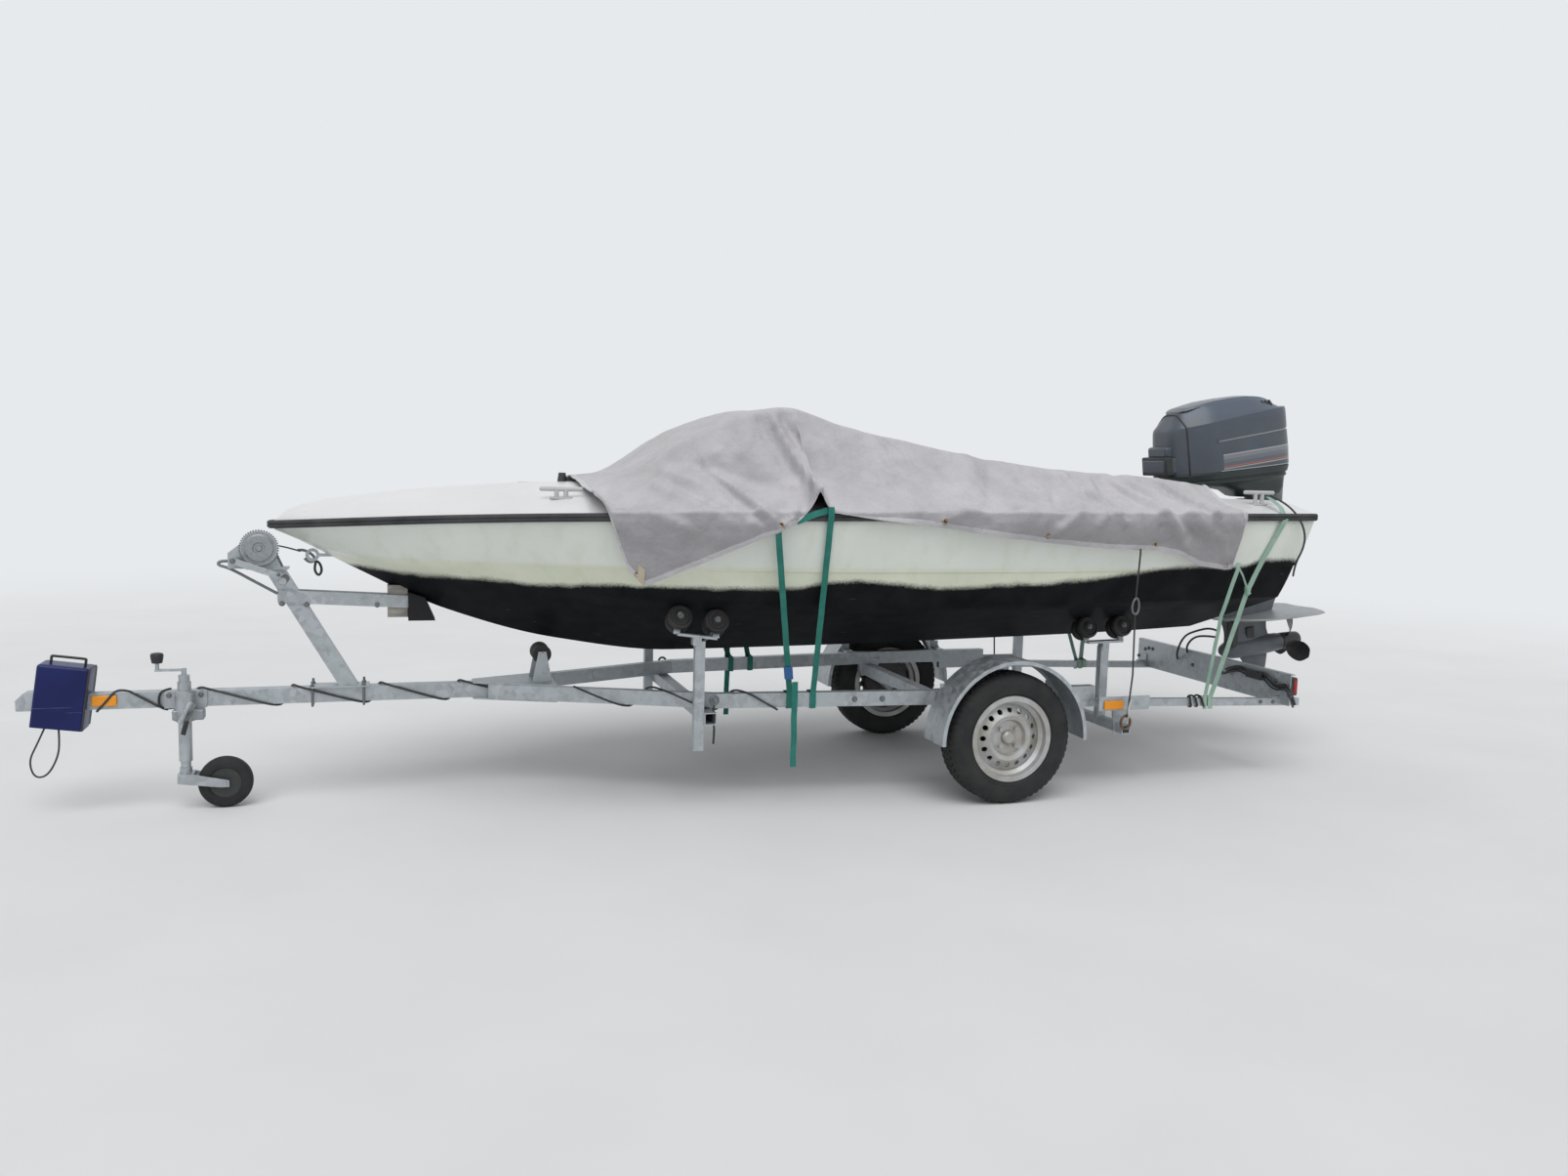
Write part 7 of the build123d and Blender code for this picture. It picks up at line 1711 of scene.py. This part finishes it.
LENSES = ((0.385, 0.452, red_lens), (0.456, 0.522, red_lens), (0.526, 0.585, orange_lens))
for side, word in SIDES:
    block(f"front_reflector_{word}", (-3.545, -3.458), (0.030, 0.039), (0.408, 0.449), orange_lens, side=side)
    block(f"reflector_plate_{word}", (0.497, 0.756), (0.590, 0.596), (0.350, 0.412), galvanised, 0.002,
          side=side)
    block(f"rear_reflector_{word}", (0.521, 0.617), (0.596, 0.604), (0.356, 0.395), orange_lens, side=side)
    for k, (inner, outer, lens) in enumerate(LENSES):
        block(f"lens_{k}_{word}", (1.562, 1.567), (inner, outer), (0.386, 0.461), lens, 0.002, side=side)
    block(f"lamp_side_lens_{word}", (1.545, 1.563), (0.588, 0.5925), (0.390, 0.457), red_lens, 0.0015,
          side=side)
for thing_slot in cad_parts["tail_lamps"].material_slots:
    thing_slot.material = dark_plastic

bent("clamp_lever", through((-3.175, -0.098, 0.415), (-3.185, -0.104, 0.400), (-3.205, -0.106, 0.365),
                            (-3.215, -0.104, 0.335)), 0.006, bolt_steel)
bent("clamp_grip", through((-3.208, -0.1055, 0.352), (-3.214, -0.104, 0.332), (-3.222, -0.102, 0.302)),
     0.0095)
COLLAR = two_ended((-0.020, 0.0245), (-0.020, 0.0355), (-0.014, 0.0375))
lathed("clamp_collar", COLLAR, at(-3.220, JOCKEY_Y, 0.368), (0, 0, 1), 32, dull_alloy)
block("clamp_block", (-3.262, -3.150), (-0.088, -0.032), (0.352, 0.392), dull_alloy, 0.006)
KNOB = [(-0.019, 0.009), (-0.0185, 0.0185), (-0.004, 0.0215), (0.012, 0.0235), (0.0185, 0.020),
        (0.0205, 0.012), (0.0205, 0.0)]
lathed("crank_knob", KNOB, at(-3.312, JOCKEY_Y, 0.593), (0, 0, 1), 28, dark_plastic)
print("bolts", len(bolt_places))

# %% [markdown]
# The lock box is a folded shell, open below, that leans back a few degrees on the coupling. Its
# outer wall runs up to the rounded top and its inner wall runs back down, so it is one closed skin.
# A rubber edge lines its aft face, and a bent rod makes the handle.

# %% Lock box
LOCK_AT, LOCK_LEAN = (-3.6445, 0.449), radians(8)
LOCK_LONG, LOCK_WIDE, LOCK_HIGH, LOCK_ROUND, LOCK_WALL = 0.089, 0.062, 0.120, 0.012, 0.004
LOCK_FOLD, LOCK_CEILING = LOCK_HIGH - LOCK_ROUND, LOCK_HIGH - LOCK_WALL


def lock_place(x, y, z):
    """Place on the lock box, which leans back on the coupling."""
    return at(LOCK_AT[0] + x * cos(LOCK_LEAN) + z * sin(LOCK_LEAN), y,
              LOCK_AT[1] - x * sin(LOCK_LEAN) + z * cos(LOCK_LEAN))


def lock_ring(inset, z, share=1):
    """Rounded outline of the lock box at one height."""
    ring, corner = [], LOCK_ROUND - 0.5 * inset
    for k in range(24):
        angle = pi / 2 * (k // 6 + k % 6 / 5)
        x = (LOCK_LONG - inset - corner) * (1, -1, -1, 1)[k // 6] + corner * cos(angle)
        y = (LOCK_WIDE - inset - corner) * (1, 1, -1, -1)[k // 6] + corner * sin(angle)
        ring.append(lock_place(x * share, y * share, z))
    return ring


rows = [lock_ring(0, z) for z in np.linspace(-LOCK_HIGH, LOCK_FOLD, 6)]
rows += [lock_ring(LOCK_ROUND * (1 - cos(a)), LOCK_HIGH - LOCK_ROUND * (1 - sin(a)))
         for a in np.radians([22, 45, 68, 90])]
rows += [lock_ring(LOCK_ROUND, LOCK_HIGH, share) for share in (0.6, 0.05)]
rows += [lock_ring(LOCK_ROUND, LOCK_CEILING, 0.05), lock_ring(LOCK_WALL, LOCK_CEILING),
         lock_ring(LOCK_WALL, -LOCK_HIGH), rows[0]]
lock_shell = piece("lock_box_shell", skin("lock_box_shell", rows, around=True), lock_paint, 40)
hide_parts("lock_box")
bent("lock_box_handle", [lock_place(x, 0, z) for x, z in (
    (-0.055, 0.116), (-0.055, 0.140), (-0.055, 0.146), (-0.048, 0.147), (0.054, 0.147), (0.061, 0.146),
    (0.061, 0.140), (0.061, 0.116))], 0.005)
bent("lock_box_seal", [lock_place(0.087, y, z) for y, z in (
    (-0.060, -0.115), (-0.062, 0.0), (-0.060, 0.110), (-0.045, 0.119), (0.045, 0.119), (0.060, 0.110),
    (0.062, 0.0), (0.060, -0.115))], 0.004)
block("leg_box", (1.604, 1.640), (-0.068, -0.022), (0.528, 0.668), dark_plastic, 0.007, LEG_BODY)
print("lock box", len(lock_shell.data.polygons), "faces")
